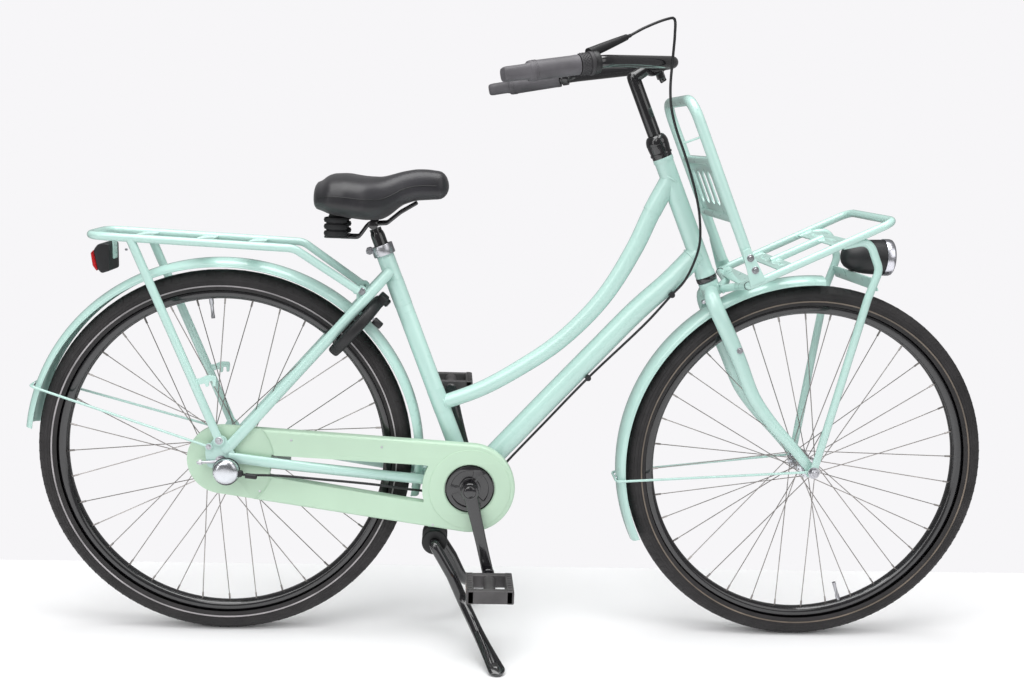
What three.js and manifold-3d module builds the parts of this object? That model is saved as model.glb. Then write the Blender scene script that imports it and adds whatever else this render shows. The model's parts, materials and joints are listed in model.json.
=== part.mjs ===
// Dutch city bike with a front carrier, rear rack, chaincase, ring lock and two-leg stand.
// Millimetres. +X points ahead, +Y to the rider's left, +Z up. The bike is drawn with its rear axle
// over X 0 and the ground at Z 0, and the last lines move the origin under the middle of its box.
import * as THREE from 'three';
import { mergeVertices } from 'three/addons/utils/BufferGeometryUtils.js';
import Module from 'manifold-3d';

const wasm = await Module();
wasm.setup();

// Clearances and shared shop sizes
const seatGap = 0.3;
const overrun = 3;
const weldDistance = 0.0005;
const turn = 2 * Math.PI;
const degree = Math.PI / 180;

// Wheels
const tyreRadius = 356;
const tyreWidth = 47;
const rimInsideDrop = 8;
const rimInnerRadius = tyreRadius - tyreWidth - rimInsideDrop;
const rimWidth = 26;
const rimNoseWidth = 10;
const rimShoulderDrop = 5;
const rimWellDepth = 6;
const wheelFacets = 32;
const spokeCount = 36;
const spokeRadius = 0.9;
const spokeOffset = 1.25;
const spokeCrossAngle = 60 * degree;
const spokeRimSpread = 2;
const valveLength = 40;
const valveRadius = 3;
const rearValveAngle = 95.4 * degree;
const frontValveAngle = -71.5 * degree;

// Mudguards' outer faces, and the axles, bracket and head tube that clear them
const rearGuardRise = 23;
const frontGuardRise = 19;
const rearGuardRadius = tyreRadius + rearGuardRise;
const frontGuardRadius = tyreRadius + frontGuardRise;
const bracketReach = 90;
const bracketDrop = 48;
const bracketX = rearGuardRadius + bracketReach;
const bracketZ = tyreRadius - bracketDrop;
const frontReach = 287.6;
const wheelbase = bracketX + frontReach + frontGuardRadius;
const headTilt = 23.4 * degree;
const crownClearance = 42.9;
const forkLength = frontGuardRadius + crownClearance;
const forkOffset = 54.2;

// Main frame tubes
const headTubeRadius = 18;
const headTubeBore = 14.6;
const headTubeBottom = 7;
const headTubeTop = 249;
const topTubeRadius = 17.5;
const topTubeEndRadius = 14.3;
const downTubeRadius = 21;
const seatTubeRadius = 16.5;
const seatTubeLean = 175;
const seatTubeRise = 449;
const seatTubeTopX = bracketX - seatTubeLean;
const seatTubeTopZ = bracketZ + seatTubeRise;
const seatPostRadius = 13.6;
const seatPostInsert = 110;
const postBoreSpare = 45;
const bracketShellRadius = 20;
const bracketShellHalf = 34;
const bracketBore = 16.5;
const stayRadius = 10;
const stayFlatHalf = 5;
const dropoutInner = 60;
const dropoutThickness = 5.5;
const dropoutCentre = 63;
const bridgeRadius = 8;
const tubeFacets = 8;
const smallFacets = 7;
const wireFacets = 5;

// Drive
const chainLine = 46;
const ringTeeth = 38;
const sprocketTeeth = 19;
const chainPitch = 12.7;
const toothHeight = 2.6;
const toothThickness = 2.4;
const chainWidth = 7;
const chainGroove = 3.4;
const chainHalfHeight = 4.3;
const chainBridge = 0.6;
const crankLength = 170;
const crankAngle = -76.4 * degree;
const spindleRadius = 8;
const spindleHalf = 74;
const crankInner = 63;
const crankOuter = 82;
const crankEyeInner = 77;
const crankEyeOuter = 91;

// Chaincase
const caseRingRoom = 10.1043;
const caseFrontRadius = pitchRadius(ringTeeth) + caseRingRoom;
const caseRearRadius = 66;
const caseOuterFace = 60;
const caseInnerFace = 38;
const caseParting = 46;
const caseWall = 1.8;
const caseBevel = 4;
const windowFrontRadius = 42;
const windowRearRadius = 16;
const windowFrontStop = 91;
const windowRearStop = 92;
const caseHoleRadius = 47.6;
const caseRecessRadius = 100;
const caseRecessFace = 54.6;

const v = (x, y, z) => new THREE.Vector3(x, y, z);
const p2 = (x, y) => new THREE.Vector2(x, y);
const polar = (radius, angle) => [radius * Math.cos(angle), radius * Math.sin(angle)];
const mix = (a, b, share) => a + (b - a) * share;
const circumscribe = (facets) => 1 / Math.cos(Math.PI / facets);

// Turning shapes into solids and back

function signedVolume(geometry) {
  const position = geometry.attributes.position;
  const index = geometry.index;
  const [a, b, c] = [v(0, 0, 0), v(0, 0, 0), v(0, 0, 0)];
  let sum = 0;
  for (let i = 0; i < index.count; i += 3) {
    a.fromBufferAttribute(position, index.getX(i));
    b.fromBufferAttribute(position, index.getX(i + 1));
    c.fromBufferAttribute(position, index.getX(i + 2));
    sum += a.dot(b.cross(c));
  }
  return sum;
}

function weld(geometry) {
  const plain = geometry.clone();
  plain.deleteAttribute('normal');
  plain.deleteAttribute('uv');
  const merged = mergeVertices(plain, weldDistance);
  if (signedVolume(merged) < 0) {
    const order = merged.index.array;
    for (let i = 0; i < order.length; i += 3) {
      [order[i], order[i + 1]] = [order[i + 1], order[i]];
    }
  }
  return merged;
}

function toSolid(shape) {
  if (!shape.isBufferGeometry) return shape;
  const merged = weld(shape);
  return new wasm.Manifold(new wasm.Mesh({
    numProp: 3,
    vertProperties: new Float32Array(merged.attributes.position.array),
    triVerts: new Uint32Array(merged.index.array),
  }));
}

function toGeometry(solid) {
  const mesh = solid.getMesh();
  const geometry = new THREE.BufferGeometry();
  geometry.setAttribute('position', new THREE.BufferAttribute(mesh.vertProperties, mesh.numProp));
  geometry.setIndex(new THREE.BufferAttribute(mesh.triVerts, 1));
  return geometry;
}

const join = (first, ...others) => others.reduce((sum, next) => sum.add(toSolid(next)), toSolid(first));
const cut = (first, ...others) => others.reduce((sum, next) => sum.subtract(toSolid(next)), toSolid(first));
const common = (first, second) => toSolid(first).intersect(toSolid(second));

// Paths and sections

class StationPath extends THREE.Curve {
  constructor(stations) {
    super();
    this.stations = stations;
  }
  get steps() {
    return this.stations.length - 1;
  }
  getSpacedPoints() {
    return this.stations;
  }
  getPoint(share) {
    const place = share * this.steps;
    const low = Math.min(Math.floor(place), this.steps - 1);
    return this.stations[low].clone().lerp(this.stations[low + 1], place - low);
  }
  getTangentAt(share, target = v(0, 0, 0)) {
    const here = Math.round(share * this.steps);
    const before = this.stations[Math.max(here - 1, 0)];
    const after = this.stations[Math.min(here + 1, this.steps)];
    const middle = this.stations[here];
    const inwards = middle.clone().sub(before);
    const outwards = after.clone().sub(middle);
    if (inwards.lengthSq() > 0) inwards.normalize();
    if (outwards.lengthSq() > 0) outwards.normalize();
    return target.copy(inwards).add(outwards).normalize();
  }
}

const smooth = (points, steps) => new StationPath(
  new THREE.CatmullRomCurve3(points, false, 'centripetal').getSpacedPoints(steps));

// Straight runs joined by round bends, of one size or of a size each
function bent(points, bend, bendSteps = 2) {
  const stations = [points[0]];
  for (let i = 1; i < points.length - 1; i += 1) {
    const corner = points[i];
    const back = points[i - 1].clone().sub(corner);
    const ahead = points[i + 1].clone().sub(corner);
    const half = back.angleTo(ahead) / 2;
    const radius = Array.isArray(bend) ? bend[i - 1] : bend;
    const reach = Math.min(radius / Math.tan(half), back.length() / 2, ahead.length() / 2);
    const start = corner.clone().addScaledVector(back.normalize(), reach);
    const end = corner.clone().addScaledVector(ahead.normalize(), reach);
    const curve = new THREE.QuadraticBezierCurve3(start, corner, end);
    stations.push(...curve.getPoints(bendSteps));
  }
  stations.push(points[points.length - 1]);
  return new StationPath(stations);
}

function circle(radius, facets) {
  const points = [];
  for (let i = 0; i < facets; i += 1) {
    points.push(p2(...polar(radius, turn * (i + 0.5) / facets)));
  }
  return points;
}

const tube = (path, radius, facets = smallFacets) => new THREE.ExtrudeGeometry(
  new THREE.Shape(circle(radius, facets)),
  { steps: path.steps, extrudePath: path, bevelEnabled: false });

const bar = (from, to, radius, facets = smallFacets) => tube(new StationPath([from, to]), radius, facets);

// A tube whose section changes: sizeAt(share) gives its half size across Y and in the plane of the path
function loft(path, facets, sizeAt, across = v(0, 1, 0)) {
  const points = [];
  path.stations.forEach((centre, i) => {
    const tangent = path.getTangentAt(i / path.steps);
    const side = across.clone().addScaledVector(tangent, -across.dot(tangent)).normalize();
    const inPlane = tangent.clone().cross(side);
    const [sideHalf, planeHalf] = sizeAt(i / path.steps, centre);
    circle(1, facets).forEach((corner) => {
      const point = centre.clone().addScaledVector(side, corner.x * sideHalf);
      points.push(point.addScaledVector(inPlane, corner.y * planeHalf));
    });
  });
  return closedRings(points, facets);
}

// Joins rings of as many points each into one closed skin with flat ends, whose outline is given for the ends
function closedRings(points, facets, outline = circle(1, facets)) {
  const rings = points.length / facets;
  const order = [];
  for (let ring = 0; ring < rings - 1; ring += 1) {
    for (let i = 0; i < facets; i += 1) {
      const a = ring * facets + i;
      const b = ring * facets + (i + 1) % facets;
      order.push(a, b, b + facets, a, b + facets, a + facets);
    }
  }
  const last = (rings - 1) * facets;
  THREE.ShapeUtils.triangulateShape(outline, []).forEach(([a, b, c]) => {
    order.push(a, c, b, last + a, last + b, last + c);
  });
  return new THREE.BufferGeometry().setFromPoints(points).setIndex(order);
}

// A flat outline in the side view, made solid between two places across the bike
function plate(outline, from, to, bevel = 0) {
  const shape = Array.isArray(outline) ? new THREE.Shape(outline) : outline;
  const depth = Math.abs(to - from) - 2 * bevel;
  const geometry = new THREE.ExtrudeGeometry(shape, {
    depth,
    bevelEnabled: bevel > 0,
    bevelThickness: bevel,
    bevelSize: bevel,
    bevelOffset: -bevel,
    bevelSegments: 1,
    curveSegments: 4,
  });
  geometry.rotateX(Math.PI / 2);
  return geometry.translate(0, Math.max(from, to) - bevel, 0);
}

const disc = (x, z, radius, from, to, facets = 24) => plate(
  circle(radius, facets).map((point) => p2(point.x + x, point.y + z)), from, to);

// The room that a round piece needs, wide enough between the facets
const discHole = (x, z, radius, from, to, facets = 12) => disc(
  x, z, (radius + seatGap) * circumscribe(facets), from, to, facets);
const barHole = (from, to, radius, facets = 12) => bar(
  from, to, (radius + seatGap) * circumscribe(facets), facets);

// A ring turned about an axle along Y, from points of radius and place along the axle
function turned(profile, facets = 24) {
  const closed = [...profile, profile[0]].map(([radius, along]) => p2(radius, along));
  return new THREE.LatheGeometry(closed, facets, Math.PI / facets);
}

// A solid turned about an axle along Y, from points that start and end on the axle
const spun = (profile, facets = 24) => new THREE.LatheGeometry(
  profile.map(([radius, along]) => p2(radius, along)), facets);

const box = (x0, x1, y0, y1, z0, z1) => new THREE.BoxGeometry(x1 - x0, y1 - y0, z1 - z0)
  .translate((x0 + x1) / 2, (y0 + y1) / 2, (z0 + z1) / 2);

const mirrored = (shape) => toSolid(shape).mirror([0, 1, 0]);
const bothSides = (make) => join(make(-1), make(1));

// Parts of the scene

const bike = new THREE.Group();

function paint(color, roughness, metalness = 0) {
  return new THREE.MeshStandardMaterial({ color, roughness, metalness });
}
const mint = () => paint(0xaee0d2, 0.35);
const caseMint = () => paint(0xb9dcc0, 0.4);
const black = () => paint(0x151516, 0.45);
const gloss = () => paint(0x0c0c0d, 0.2);
const rubber = () => paint(0x1c1c1e, 0.85);
const steel = () => paint(0xb8babd, 0.3, 1);
const chrome = () => paint(0x9a9ca0, 0.15, 1);
const greyGrip = () => paint(0x77777a, 0.7);

function piece(parent, name, shape, material) {
  const geometry = toGeometry(toSolid(shape)).toNonIndexed();
  geometry.computeVertexNormals();
  const mesh = new THREE.Mesh(geometry, material);
  mesh.name = name;
  parent.add(mesh);
  return mesh;
}

// Wheels, each in its own frame with the axle along Y

const hubs = {
  rear: { shell: 29, flange: 37, flangeAt: 27, end: 40, neck: 21, axle: 5 },
  front: { shell: 15, flange: 21, flangeAt: 31, end: 44, neck: 12, axle: 5 },
};
const flangeThickness = 3;
const hubFacets = 10;
const axleGap = 0.4;

function tyreShape() {
  const sectionRadius = tyreWidth / 2;
  const centre = tyreRadius - sectionRadius;
  const openAngle = 126 * degree;
  const sectionSteps = 6;
  const profile = [];
  for (let i = 0; i <= sectionSteps; i += 1) {
    const [out, along] = polar(sectionRadius, mix(-openAngle, openAngle, i / sectionSteps));
    profile.push([(centre + out) * circumscribe(wheelFacets), along]);
  }
  return turned(profile, wheelFacets);
}

function tyreSeatRadius() {
  const sectionRadius = tyreWidth / 2;
  return tyreRadius - sectionRadius + sectionRadius * Math.cos(126 * degree);
}

function rimShape(valveAngle) {
  const outer = tyreSeatRadius() - seatGap;
  const half = rimWidth / 2;
  const nose = rimNoseWidth / 2;
  const shoulder = rimInnerRadius + rimShoulderDrop;
  const profile = [
    [rimInnerRadius, -nose], [rimInnerRadius, nose], [shoulder, half], [outer, half],
    [outer - rimWellDepth, 0], [outer, -half], [shoulder, -half],
  ].map(([radius, along]) => [radius * circumscribe(wheelFacets), along]);
  const [fromX, fromZ] = polar(rimInnerRadius + rimShoulderDrop, valveAngle);
  const [toX, toZ] = polar(rimInnerRadius - valveLength, valveAngle);
  const valve = bar(v(fromX, 0, fromZ), v(toX, 0, toZ), valveRadius, wireFacets);
  return join(turned(profile, wheelFacets), valve);
}

function hubShape(hub, valveAngle) {
  const halfFlange = flangeThickness / 2;
  const bore = hub.axle + axleGap;
  const right = hub.flangeAt + halfFlange;
  const left = hub.flangeAt - halfFlange;
  const half = [
    [bore, hub.end], [hub.neck, hub.end], [hub.neck, right], [hub.flange, right], [hub.flange, left], [hub.shell, left - flangeThickness],
  ];
  const otherHalf = half.map(([radius, along]) => [radius, -along]).reverse();
  let hubSolid = toSolid(turned([...half, ...otherHalf], hubFacets));
  const spacing = turn / spokeCount;
  for (let i = 0; i < spokeCount; i += 1) {
    const side = i % 2 ? 1 : -1;
    const leads = Math.floor(i / 2) % 2 ? 1 : -1;
    const rimAngle = valveAngle + spacing * (i + 0.5);
    const [hubX, hubZ] = polar(hub.flange - flangeThickness, rimAngle + leads * spokeCrossAngle);
    const [rimX, rimZ] = polar(rimInnerRadius - seatGap, rimAngle);
    const from = v(hubX, side * (hub.flangeAt + leads * spokeOffset), hubZ);
    hubSolid = hubSolid.add(toSolid(bar(from, v(rimX, side * spokeRimSpread, rimZ), spokeRadius, 3)));
  }
  return hubSolid;
}

function addWheel(group, name, hub, valveAngle) {
  piece(group, `${name}_tyre`, tyreShape(), rubber());
  piece(group, `${name}_rim`, rimShape(valveAngle), gloss());
  piece(group, `${name}_hub`, hubShape(hub, valveAngle), steel());
}

// The loop round the two sprockets, which the chain and its case follow

const driveAngle = Math.atan2(bracketZ - tyreRadius, bracketX);
const driveLength = Math.hypot(bracketX, bracketZ - tyreRadius);

function loopOutline(frontRadius, rearRadius, facets = 12) {
  const lean = Math.acos((rearRadius - frontRadius) / driveLength);
  const points = [];
  for (let i = 0; i <= facets; i += 1) {
    const [x, z] = polar(frontRadius, driveAngle + mix(-lean, lean, i / facets));
    points.push(p2(bracketX + x, bracketZ + z));
  }
  for (let i = 0; i <= facets; i += 1) {
    const [x, z] = polar(rearRadius, driveAngle + mix(lean, turn - lean, i / facets));
    points.push(p2(x, tyreRadius + z));
  }
  return points;
}

function pitchRadius(teeth) {
  return chainPitch / 2 / Math.sin(Math.PI / teeth);
}

function toothedOutline(teeth) {
  const points = [];
  const root = pitchRadius(teeth) - toothHeight;
  const tip = pitchRadius(teeth) + toothHeight;
  for (let i = 0; i < teeth; i += 1) {
    const start = turn * i / teeth;
    const step = turn / teeth;
    points.push(p2(...polar(root, start)), p2(...polar(tip, start + step / 2)));
  }
  return points;
}

function chainShape() {
  const front = pitchRadius(ringTeeth);
  const rear = pitchRadius(sprocketTeeth);
  const outline = new THREE.Shape(loopOutline(front + chainHalfHeight, rear + chainHalfHeight));
  outline.holes.push(new THREE.Path(loopOutline(front - chainHalfHeight, rear - chainHalfHeight)));
  const roof = chainHalfHeight - chainBridge;
  const groove = plate(loopOutline(front + roof, rear + roof),
    -chainLine - chainGroove / 2, -chainLine + chainGroove / 2);
  return cut(plate(outline, -chainLine - chainWidth / 2, -chainLine + chainWidth / 2), groove);
}

function windowTool(grow) {
  const from = -caseOuterFace - overrun;
  const to = -caseInnerFace + overrun;
  return cut(
    plate(loopOutline(windowFrontRadius + grow, windowRearRadius + grow), from, to),
    disc(bracketX, bracketZ, windowFrontStop - grow, from - overrun, to + overrun, 24),
    disc(0, tyreRadius, windowRearStop - grow, from - overrun, to + overrun, 24));
}

function caseCavity(from, to) {
  const wall = loopOutline(caseFrontRadius - caseWall, caseRearRadius - caseWall);
  return cut(plate(wall, from, to, caseBevel), windowTool(caseWall));
}

function caseOuterShape() {
  const shellEnd = -caseInnerFace;
  const full = plate(loopOutline(caseFrontRadius, caseRearRadius), -caseOuterFace, shellEnd, caseBevel);
  const half = cut(full, box(-driveLength, driveLength * 2, -caseParting - seatGap / 2, 0, 0, driveLength * 2));
  const recess = spun([
    [0, -caseOuterFace - overrun], [caseRecessRadius, -caseOuterFace - overrun],
    [caseRecessRadius, -caseOuterFace], [caseRecessRadius - caseBevel, -caseRecessFace],
    [0, -caseRecessFace],
  ], 24).translate(0, 0, tyreRadius);
  const recessed = cut(half, recess);
  const deep = common(caseCavity(-caseOuterFace + caseWall, 0),
    disc(bracketX, bracketZ, driveLength - caseRecessRadius - caseWall, -caseOuterFace, 0, 36));
  return cut(recessed, deep, caseCavity(-caseRecessFace + caseWall, 0), windowTool(0),
    disc(bracketX, bracketZ, caseHoleRadius, -caseOuterFace - overrun, 0, 28),
    disc(0, tyreRadius, rearNutRadius + seatGap * 2, -caseOuterFace - overrun, 0, 12));
}

function caseInnerShape() {
  const full = plate(loopOutline(caseFrontRadius, caseRearRadius), -caseOuterFace, -caseInnerFace, caseBevel);
  const half = cut(full,
    box(-driveLength, driveLength * 2, -caseOuterFace - overrun, -caseParting + seatGap / 2, 0, driveLength * 2));
  return cut(half, caseCavity(-caseOuterFace - caseBevel, -caseInnerFace - caseWall), windowTool(0),
    disc(bracketX, bracketZ, bracketCupRadius + seatGap * 2, -caseOuterFace, 0, 16),
    disc(0, tyreRadius, hubs.rear.neck + caseWall, -caseOuterFace, 0, 16));
}

// Main frame

const rearNutRadius = 9;
const locknutRadius = 8.4;
const nutThickness = 8;
const bracketCupRadius = 20;
const bracketCupFlange = 3.6;
const stayFootLead = 6;
const stayFootRise = 18;
const stayTopHalf = 20;
const stayTopDrop = 41;
const stayFlatShare = 0.3;
const chainStayLead = 14;
const chainStayRise = 8;
const chainStayEndLead = 14;
const chainStayEndHalf = 24;
const topTubeHeadShare = 0.83;
const topTubeSeatShare = 0.342;
const downTubeHeadShare = 0.217;
const topTubeShares = [
  [0, 0], [0.1073, 0.0333], [0.2279, 0.0785], [0.4069, 0.1211], [0.5952, 0.1232], [0.7449, 0.0953],
  [0.8782, 0.0563], [1, 0],
];
const downTubeShares = [[0, 0], [0.1177, 0.0013], [0.2495, -0.0072], [0.4213, -0.007], [0.6846, -0.0048], [1, 0]];
const seatStayShares = [[0, 1], [0.485, 0.767], [0.85, 0.535], [1, 0]];
const chainStayShares = [
  [0, 1], [0.177, 0.974], [0.342, 0.82], [0.649, 0.436], [0.762, 0.256], [0.83, 0.18], [1, 0],
];
const chainStayHalfShares = [0.5, 0.5, 0.9, 0.9, 0.65, 0.65, 0.8];
const dropoutSize = 30;
const dropoutShares = [
  [-1, 0.73], [-0.9, -0.33], [-0.27, -0.57], [0.53, -0.3], [0.93, -0.13], [0.87, 0.53], [0.53, 1],
  [0.27, 1.6], [-0.33, 1.73], [-0.57, 1.27],
];
const seatBridgeAbove = 0.21125 * degree;
const seatBridgeHalf = 42;
const chainBridgeBelow = 0.35639 * degree;
const chainBridgeHalf = 32;
const standLead = 65;
const standDrop = 118;
const standPivotX = bracketX - standLead;
const standPivotZ = bracketZ - standDrop;
const standHousingHalf = 32;
const standHousingRadius = 25;
const standPostHalf = 14;
const standPostWidth = 30;
const rackTabHalf = 42;
const rackTabThickness = 4;
const rackTabRadius = 9;
const rackBoltBehind = 37;
const rackBoltBelow = 73;
const rackBoltX = seatTubeTopX - rackBoltBehind;
const rackBoltZ = seatTubeTopZ - rackBoltBelow;
const cableClipHalf = 6;
const cableClipShares = [[0.1457977, 0.0295833], [0.5074417, 0.0314423]];
const cableClipSides = [-18, -12];

const cableRadius = 2.5;
const cableRoute = [
  [716, -180, 1151], [746, -165, 1168], [785, -145, 1186], [801, -130, 1189], [806, -115, 1161], [806, -110, 1131],
  [808, -90, 1071], [815, -75, 1035], [828, -62, 1000], [853, -50, 944], [877, -42, 878], [887, -38, 835],
  [890, -35, 788], [882, -32, 752], [866, -28, 715], [846, -18, 688], [802, -14, 634], [693, -12, 521],
  [612, -11, 430], [540, -12, 349], [482, -28, 284], [430, -31, 285], [385, -32, 294], [340, -46, 303],
  [290, -60, 314], [184, -64, 324], [110, -69, 331], [66, -74, 333], [40, -82, 336],
];
const cableShape = (radius) => tube(smooth(cableRoute.map(([x, y, z]) => v(x, y, z)), 46), radius, 4);

const rearHub = v(0, 0, tyreRadius);
const bracket = v(bracketX, 0, bracketZ);
const headAxis = v(-Math.sin(headTilt), 0, Math.cos(headTilt));
const crown = v(
  wheelbase - forkOffset * Math.cos(headTilt) - forkLength * Math.sin(headTilt), 0,
  tyreRadius - forkOffset * Math.sin(headTilt) + forkLength * Math.cos(headTilt));
const onHead = (along) => crown.clone().addScaledVector(headAxis, along);
const seatTubeTop = v(seatTubeTopX, 0, seatTubeTopZ);
const seatAxis = seatTubeTop.clone().sub(bracket).normalize();
const seatTubeLength = seatTubeTop.distanceTo(bracket);
const onSeat = (along) => bracket.clone().addScaledVector(seatAxis, along);
const seatStayTop = onSeat(seatTubeLength - stayTopDrop);
const seatStayAngle = Math.atan2(seatStayTop.z - tyreRadius, seatStayTop.x);

// Points beside a straight line, as shares of its length along and above it
function beside(from, to, shares) {
  const chord = to.clone().sub(from);
  const up = v(-chord.z, 0, chord.x);
  return shares.map(([along, above]) => from.clone().addScaledVector(chord, along).addScaledVector(up, above));
}

const shaped = (shares, size, x = 0, z = 0) => shares.map(([a, b]) => p2(x + a * size, z + b * size));

function stayPath(foot, end, shares, steps = 0) {
  const points = shares.map(([along, share]) => {
    const point = foot.clone().lerp(end, along);
    point.y = mix(end.y, foot.y, share);
    return point;
  });
  return steps ? smooth(points, steps) : new StationPath(points);
}

function seatStay(side, grow = 0) {
  const foot = v(stayFootLead, side * dropoutCentre, tyreRadius + stayFootRise);
  const end = seatStayTop.clone();
  end.y = side * stayTopHalf;
  return loft(stayPath(foot, end, seatStayShares, 5), smallFacets, (share) => [
    (share < stayFlatShare ? stayFlatHalf : stayRadius) + grow, stayRadius + grow]);
}

function chainStay(side, grow = 0) {
  const foot = v(chainStayLead, side * dropoutCentre, tyreRadius + chainStayRise);
  const end = v(bracketX - chainStayEndLead, side * chainStayEndHalf, bracketZ);
  const path = stayPath(foot, end, chainStayShares);
  return loft(path, smallFacets, (share) => [
    chainStayHalfShares[Math.round(share * path.steps)] * stayRadius + grow, stayRadius + grow]);
}

function dropout(side) {
  const outline = shaped(dropoutShares, dropoutSize, 0, tyreRadius);
  const solid = plate(outline, side * dropoutInner, side * (dropoutInner + dropoutThickness));
  const reach = dropoutCentre + dropoutThickness * 2;
  const half = hubs.rear.axle + seatGap;
  return cut(solid, discHole(0, tyreRadius, hubs.rear.axle, -reach, reach),
    box(-dropoutSize * 2, 0, -reach, reach, tyreRadius - half, tyreRadius + half));
}

function guardBridge(angle, half) {
  const [x, z] = polar(rearGuardRadius + seatGap + bridgeRadius / circumscribe(smallFacets), angle);
  return bar(v(x, -half, tyreRadius + z), v(x, half, tyreRadius + z), bridgeRadius);
}

function rackTab(side) {
  const from = side * (rackTabHalf - rackTabThickness);
  const to = side * rackTabHalf;
  const spread = rackTabRadius / 2;
  const outline = [p2(rackBoltX - rackTabRadius, rackBoltZ), p2(rackBoltX - spread, rackBoltZ + rackTabRadius),
    p2(rackBoltX + spread, rackBoltZ + rackTabRadius), p2(rackBoltX + rackTabRadius * 2, rackBoltZ - rackTabRadius),
    p2(rackBoltX + rackTabRadius, rackBoltZ - rackTabRadius * 3), p2(rackBoltX - rackTabRadius, rackBoltZ - rackTabRadius * 2)];
  return plate(outline, from, to);
}

function standPost() {
  const bottom = standPivotZ + standHousingRadius + seatGap;
  return box(standPivotX - standPostHalf, standPivotX + standPostHalf, -standPostWidth / 2, standPostWidth / 2,
    bottom, bracketZ);
}

function standBeam() {
  return box(standPivotX - standPostHalf, bracketX, -standPostWidth / 2, standPostWidth / 2,
    bracketZ - bracketShellRadius, bracketZ - bracketShellRadius / 2);
}

// A clip on the down tube, round the gear cable
function cableClip(share, i) {
  const { x, z } = beside(onHead(headTubeTop * downTubeHeadShare), bracket, [share])[0];
  const y = cableClipSides[i];
  return cut(box(x - cableClipHalf, x + cableClipHalf, y - cableClipHalf, y + cableClipHalf, z - cableClipHalf,
    z + cableClipHalf), cableShape(cableRadius + seatGap));
}

function mainFrameShape() {
  const topFrom = onHead(headTubeTop * topTubeHeadShare);
  const topTo = onSeat(seatTubeLength * topTubeSeatShare);
  const topTube = loft(smooth(beside(topFrom, topTo, topTubeShares), 12), tubeFacets, (share) => {
    const radius = mix(topTubeRadius, topTubeEndRadius, share);
    return [radius, radius];
  });
  const downFrom = onHead(headTubeTop * downTubeHeadShare);
  const downTube = tube(smooth(beside(downFrom, bracket, downTubeShares), 8), downTubeRadius, tubeFacets);
  const headTube = bar(onHead(headTubeBottom), onHead(headTubeTop), headTubeRadius, 12);
  const seatTube = bar(bracket, seatTubeTop, seatTubeRadius, 12);
  const shell = disc(bracketX, bracketZ, bracketShellRadius, -bracketShellHalf, bracketShellHalf, 16);
  const frame = join(topTube, downTube, headTube, seatTube, shell, seatStay(1), seatStay(-1), chainStay(1),
    chainStay(-1), dropout(1), dropout(-1), guardBridge(seatStayAngle + seatBridgeAbove, seatBridgeHalf),
    guardBridge(driveAngle - chainBridgeBelow, chainBridgeHalf), rackTab(1), rackTab(-1), standPost(), standBeam(),
    ...cableClipShares.map(cableClip));
  return cut(frame,
    barHole(onHead(headTubeBottom - overrun), onHead(headTubeTop + overrun), headTubeBore, 12),
    barHole(onSeat(seatTubeLength - seatPostInsert - postBoreSpare), onSeat(seatTubeLength + overrun),
      seatPostRadius, 12),
    discHole(bracketX, bracketZ, bracketBore, -bracketShellHalf * 2, bracketShellHalf * 2, 16));
}

piece(bike, 'main_frame', mainFrameShape(), mint());
piece(bike, 'chaincase_outer', caseOuterShape(), caseMint());
piece(bike, 'chaincase_inner', caseInnerShape(), caseMint());
piece(bike, 'chain', chainShape(), steel());

// Rear axle, bracket cups and what hangs on the rear dropouts

const axleReach = 75;
const armPlateThickness = 3;
const armPlateInner = 50;
const armRadius = 15;
const armEndX = 100;
const armEndDrop = 32;
const armEndZ = tyreRadius - armEndDrop;
const armClipHalf = 8;
const gearBoxX = 12;
const gearBoxDrop = 15;
const gearBoxZ = tyreRadius - gearBoxDrop;
const gearBoxRadius = 26;
const gearBoxThickness = 14;
const gearCapThickness = 5;
const tensionerX = -30;
const tensionerRadius = 4;

function rearAxleShape() {
  const nut = (side, radius, from, to, facets) => disc(0, tyreRadius, radius, side * from, side * to, facets);
  const outer = dropoutInner + dropoutThickness + seatGap;
  const lock = (side, from) => nut(side, locknutRadius, from, dropoutInner - seatGap, 8);
  return join(nut(1, hubs.rear.axle, -axleReach, axleReach, 8),
    lock(-1, driverOuter + seatGap), lock(1, armPlateInner + armPlateThickness + seatGap),
    nut(1, rearNutRadius, outer, outer + nutThickness, 6), nut(-1, rearNutRadius, outer, outer + nutThickness, 6));
}

function bottomBracket() {
  const flange = bracketShellHalf + bracketCupFlange;
  const sleeve = disc(bracketX, bracketZ, bracketBore, -flange, flange, 16);
  const rim = (side) => disc(bracketX, bracketZ, bracketCupRadius, side * (bracketShellHalf + seatGap), side * flange, 16);
  return cut(join(sleeve, rim(1), rim(-1)), discHole(bracketX, bracketZ, spindleRadius, -flange * 2, flange * 2));
}

function brakeArmShape() {
  const from = armPlateInner;
  const to = armPlateInner + armPlateThickness;
  const arm = plate([p2(-armRadius, tyreRadius), p2(-armRadius / 2, tyreRadius - armRadius),
    p2(armEndX, armEndZ - armRadius / 2), p2(armEndX + armRadius, armEndZ), p2(armEndX + armRadius, armEndZ + armRadius),
    p2(armRadius, tyreRadius + armRadius), p2(-armRadius / 2, tyreRadius + armRadius)], from, to);
  const clip = box(armEndX - armClipHalf, armEndX + armClipHalf, from, dropoutCentre + stayRadius,
    armEndZ - armRadius / 2, tyreRadius + armRadius);
  return cut(join(arm, clip), chainStay(1, seatGap * 2),
    discHole(0, tyreRadius, hubs.rear.axle, 0, axleReach));
}

function gearBoxShape() {
  const from = -axleReach - seatGap;
  return disc(gearBoxX, gearBoxZ, gearBoxRadius, from, from - gearBoxThickness, 20);
}

function gearCapShape() {
  const from = -axleReach - gearBoxThickness - seatGap * 2;
  return spun([[0, from], [gearBoxRadius * 0.8, from], [gearBoxRadius * 0.6, from - gearCapThickness * 0.7],
    [0, from - gearCapThickness]], 20).translate(gearBoxX, 0, gearBoxZ);
}

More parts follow.
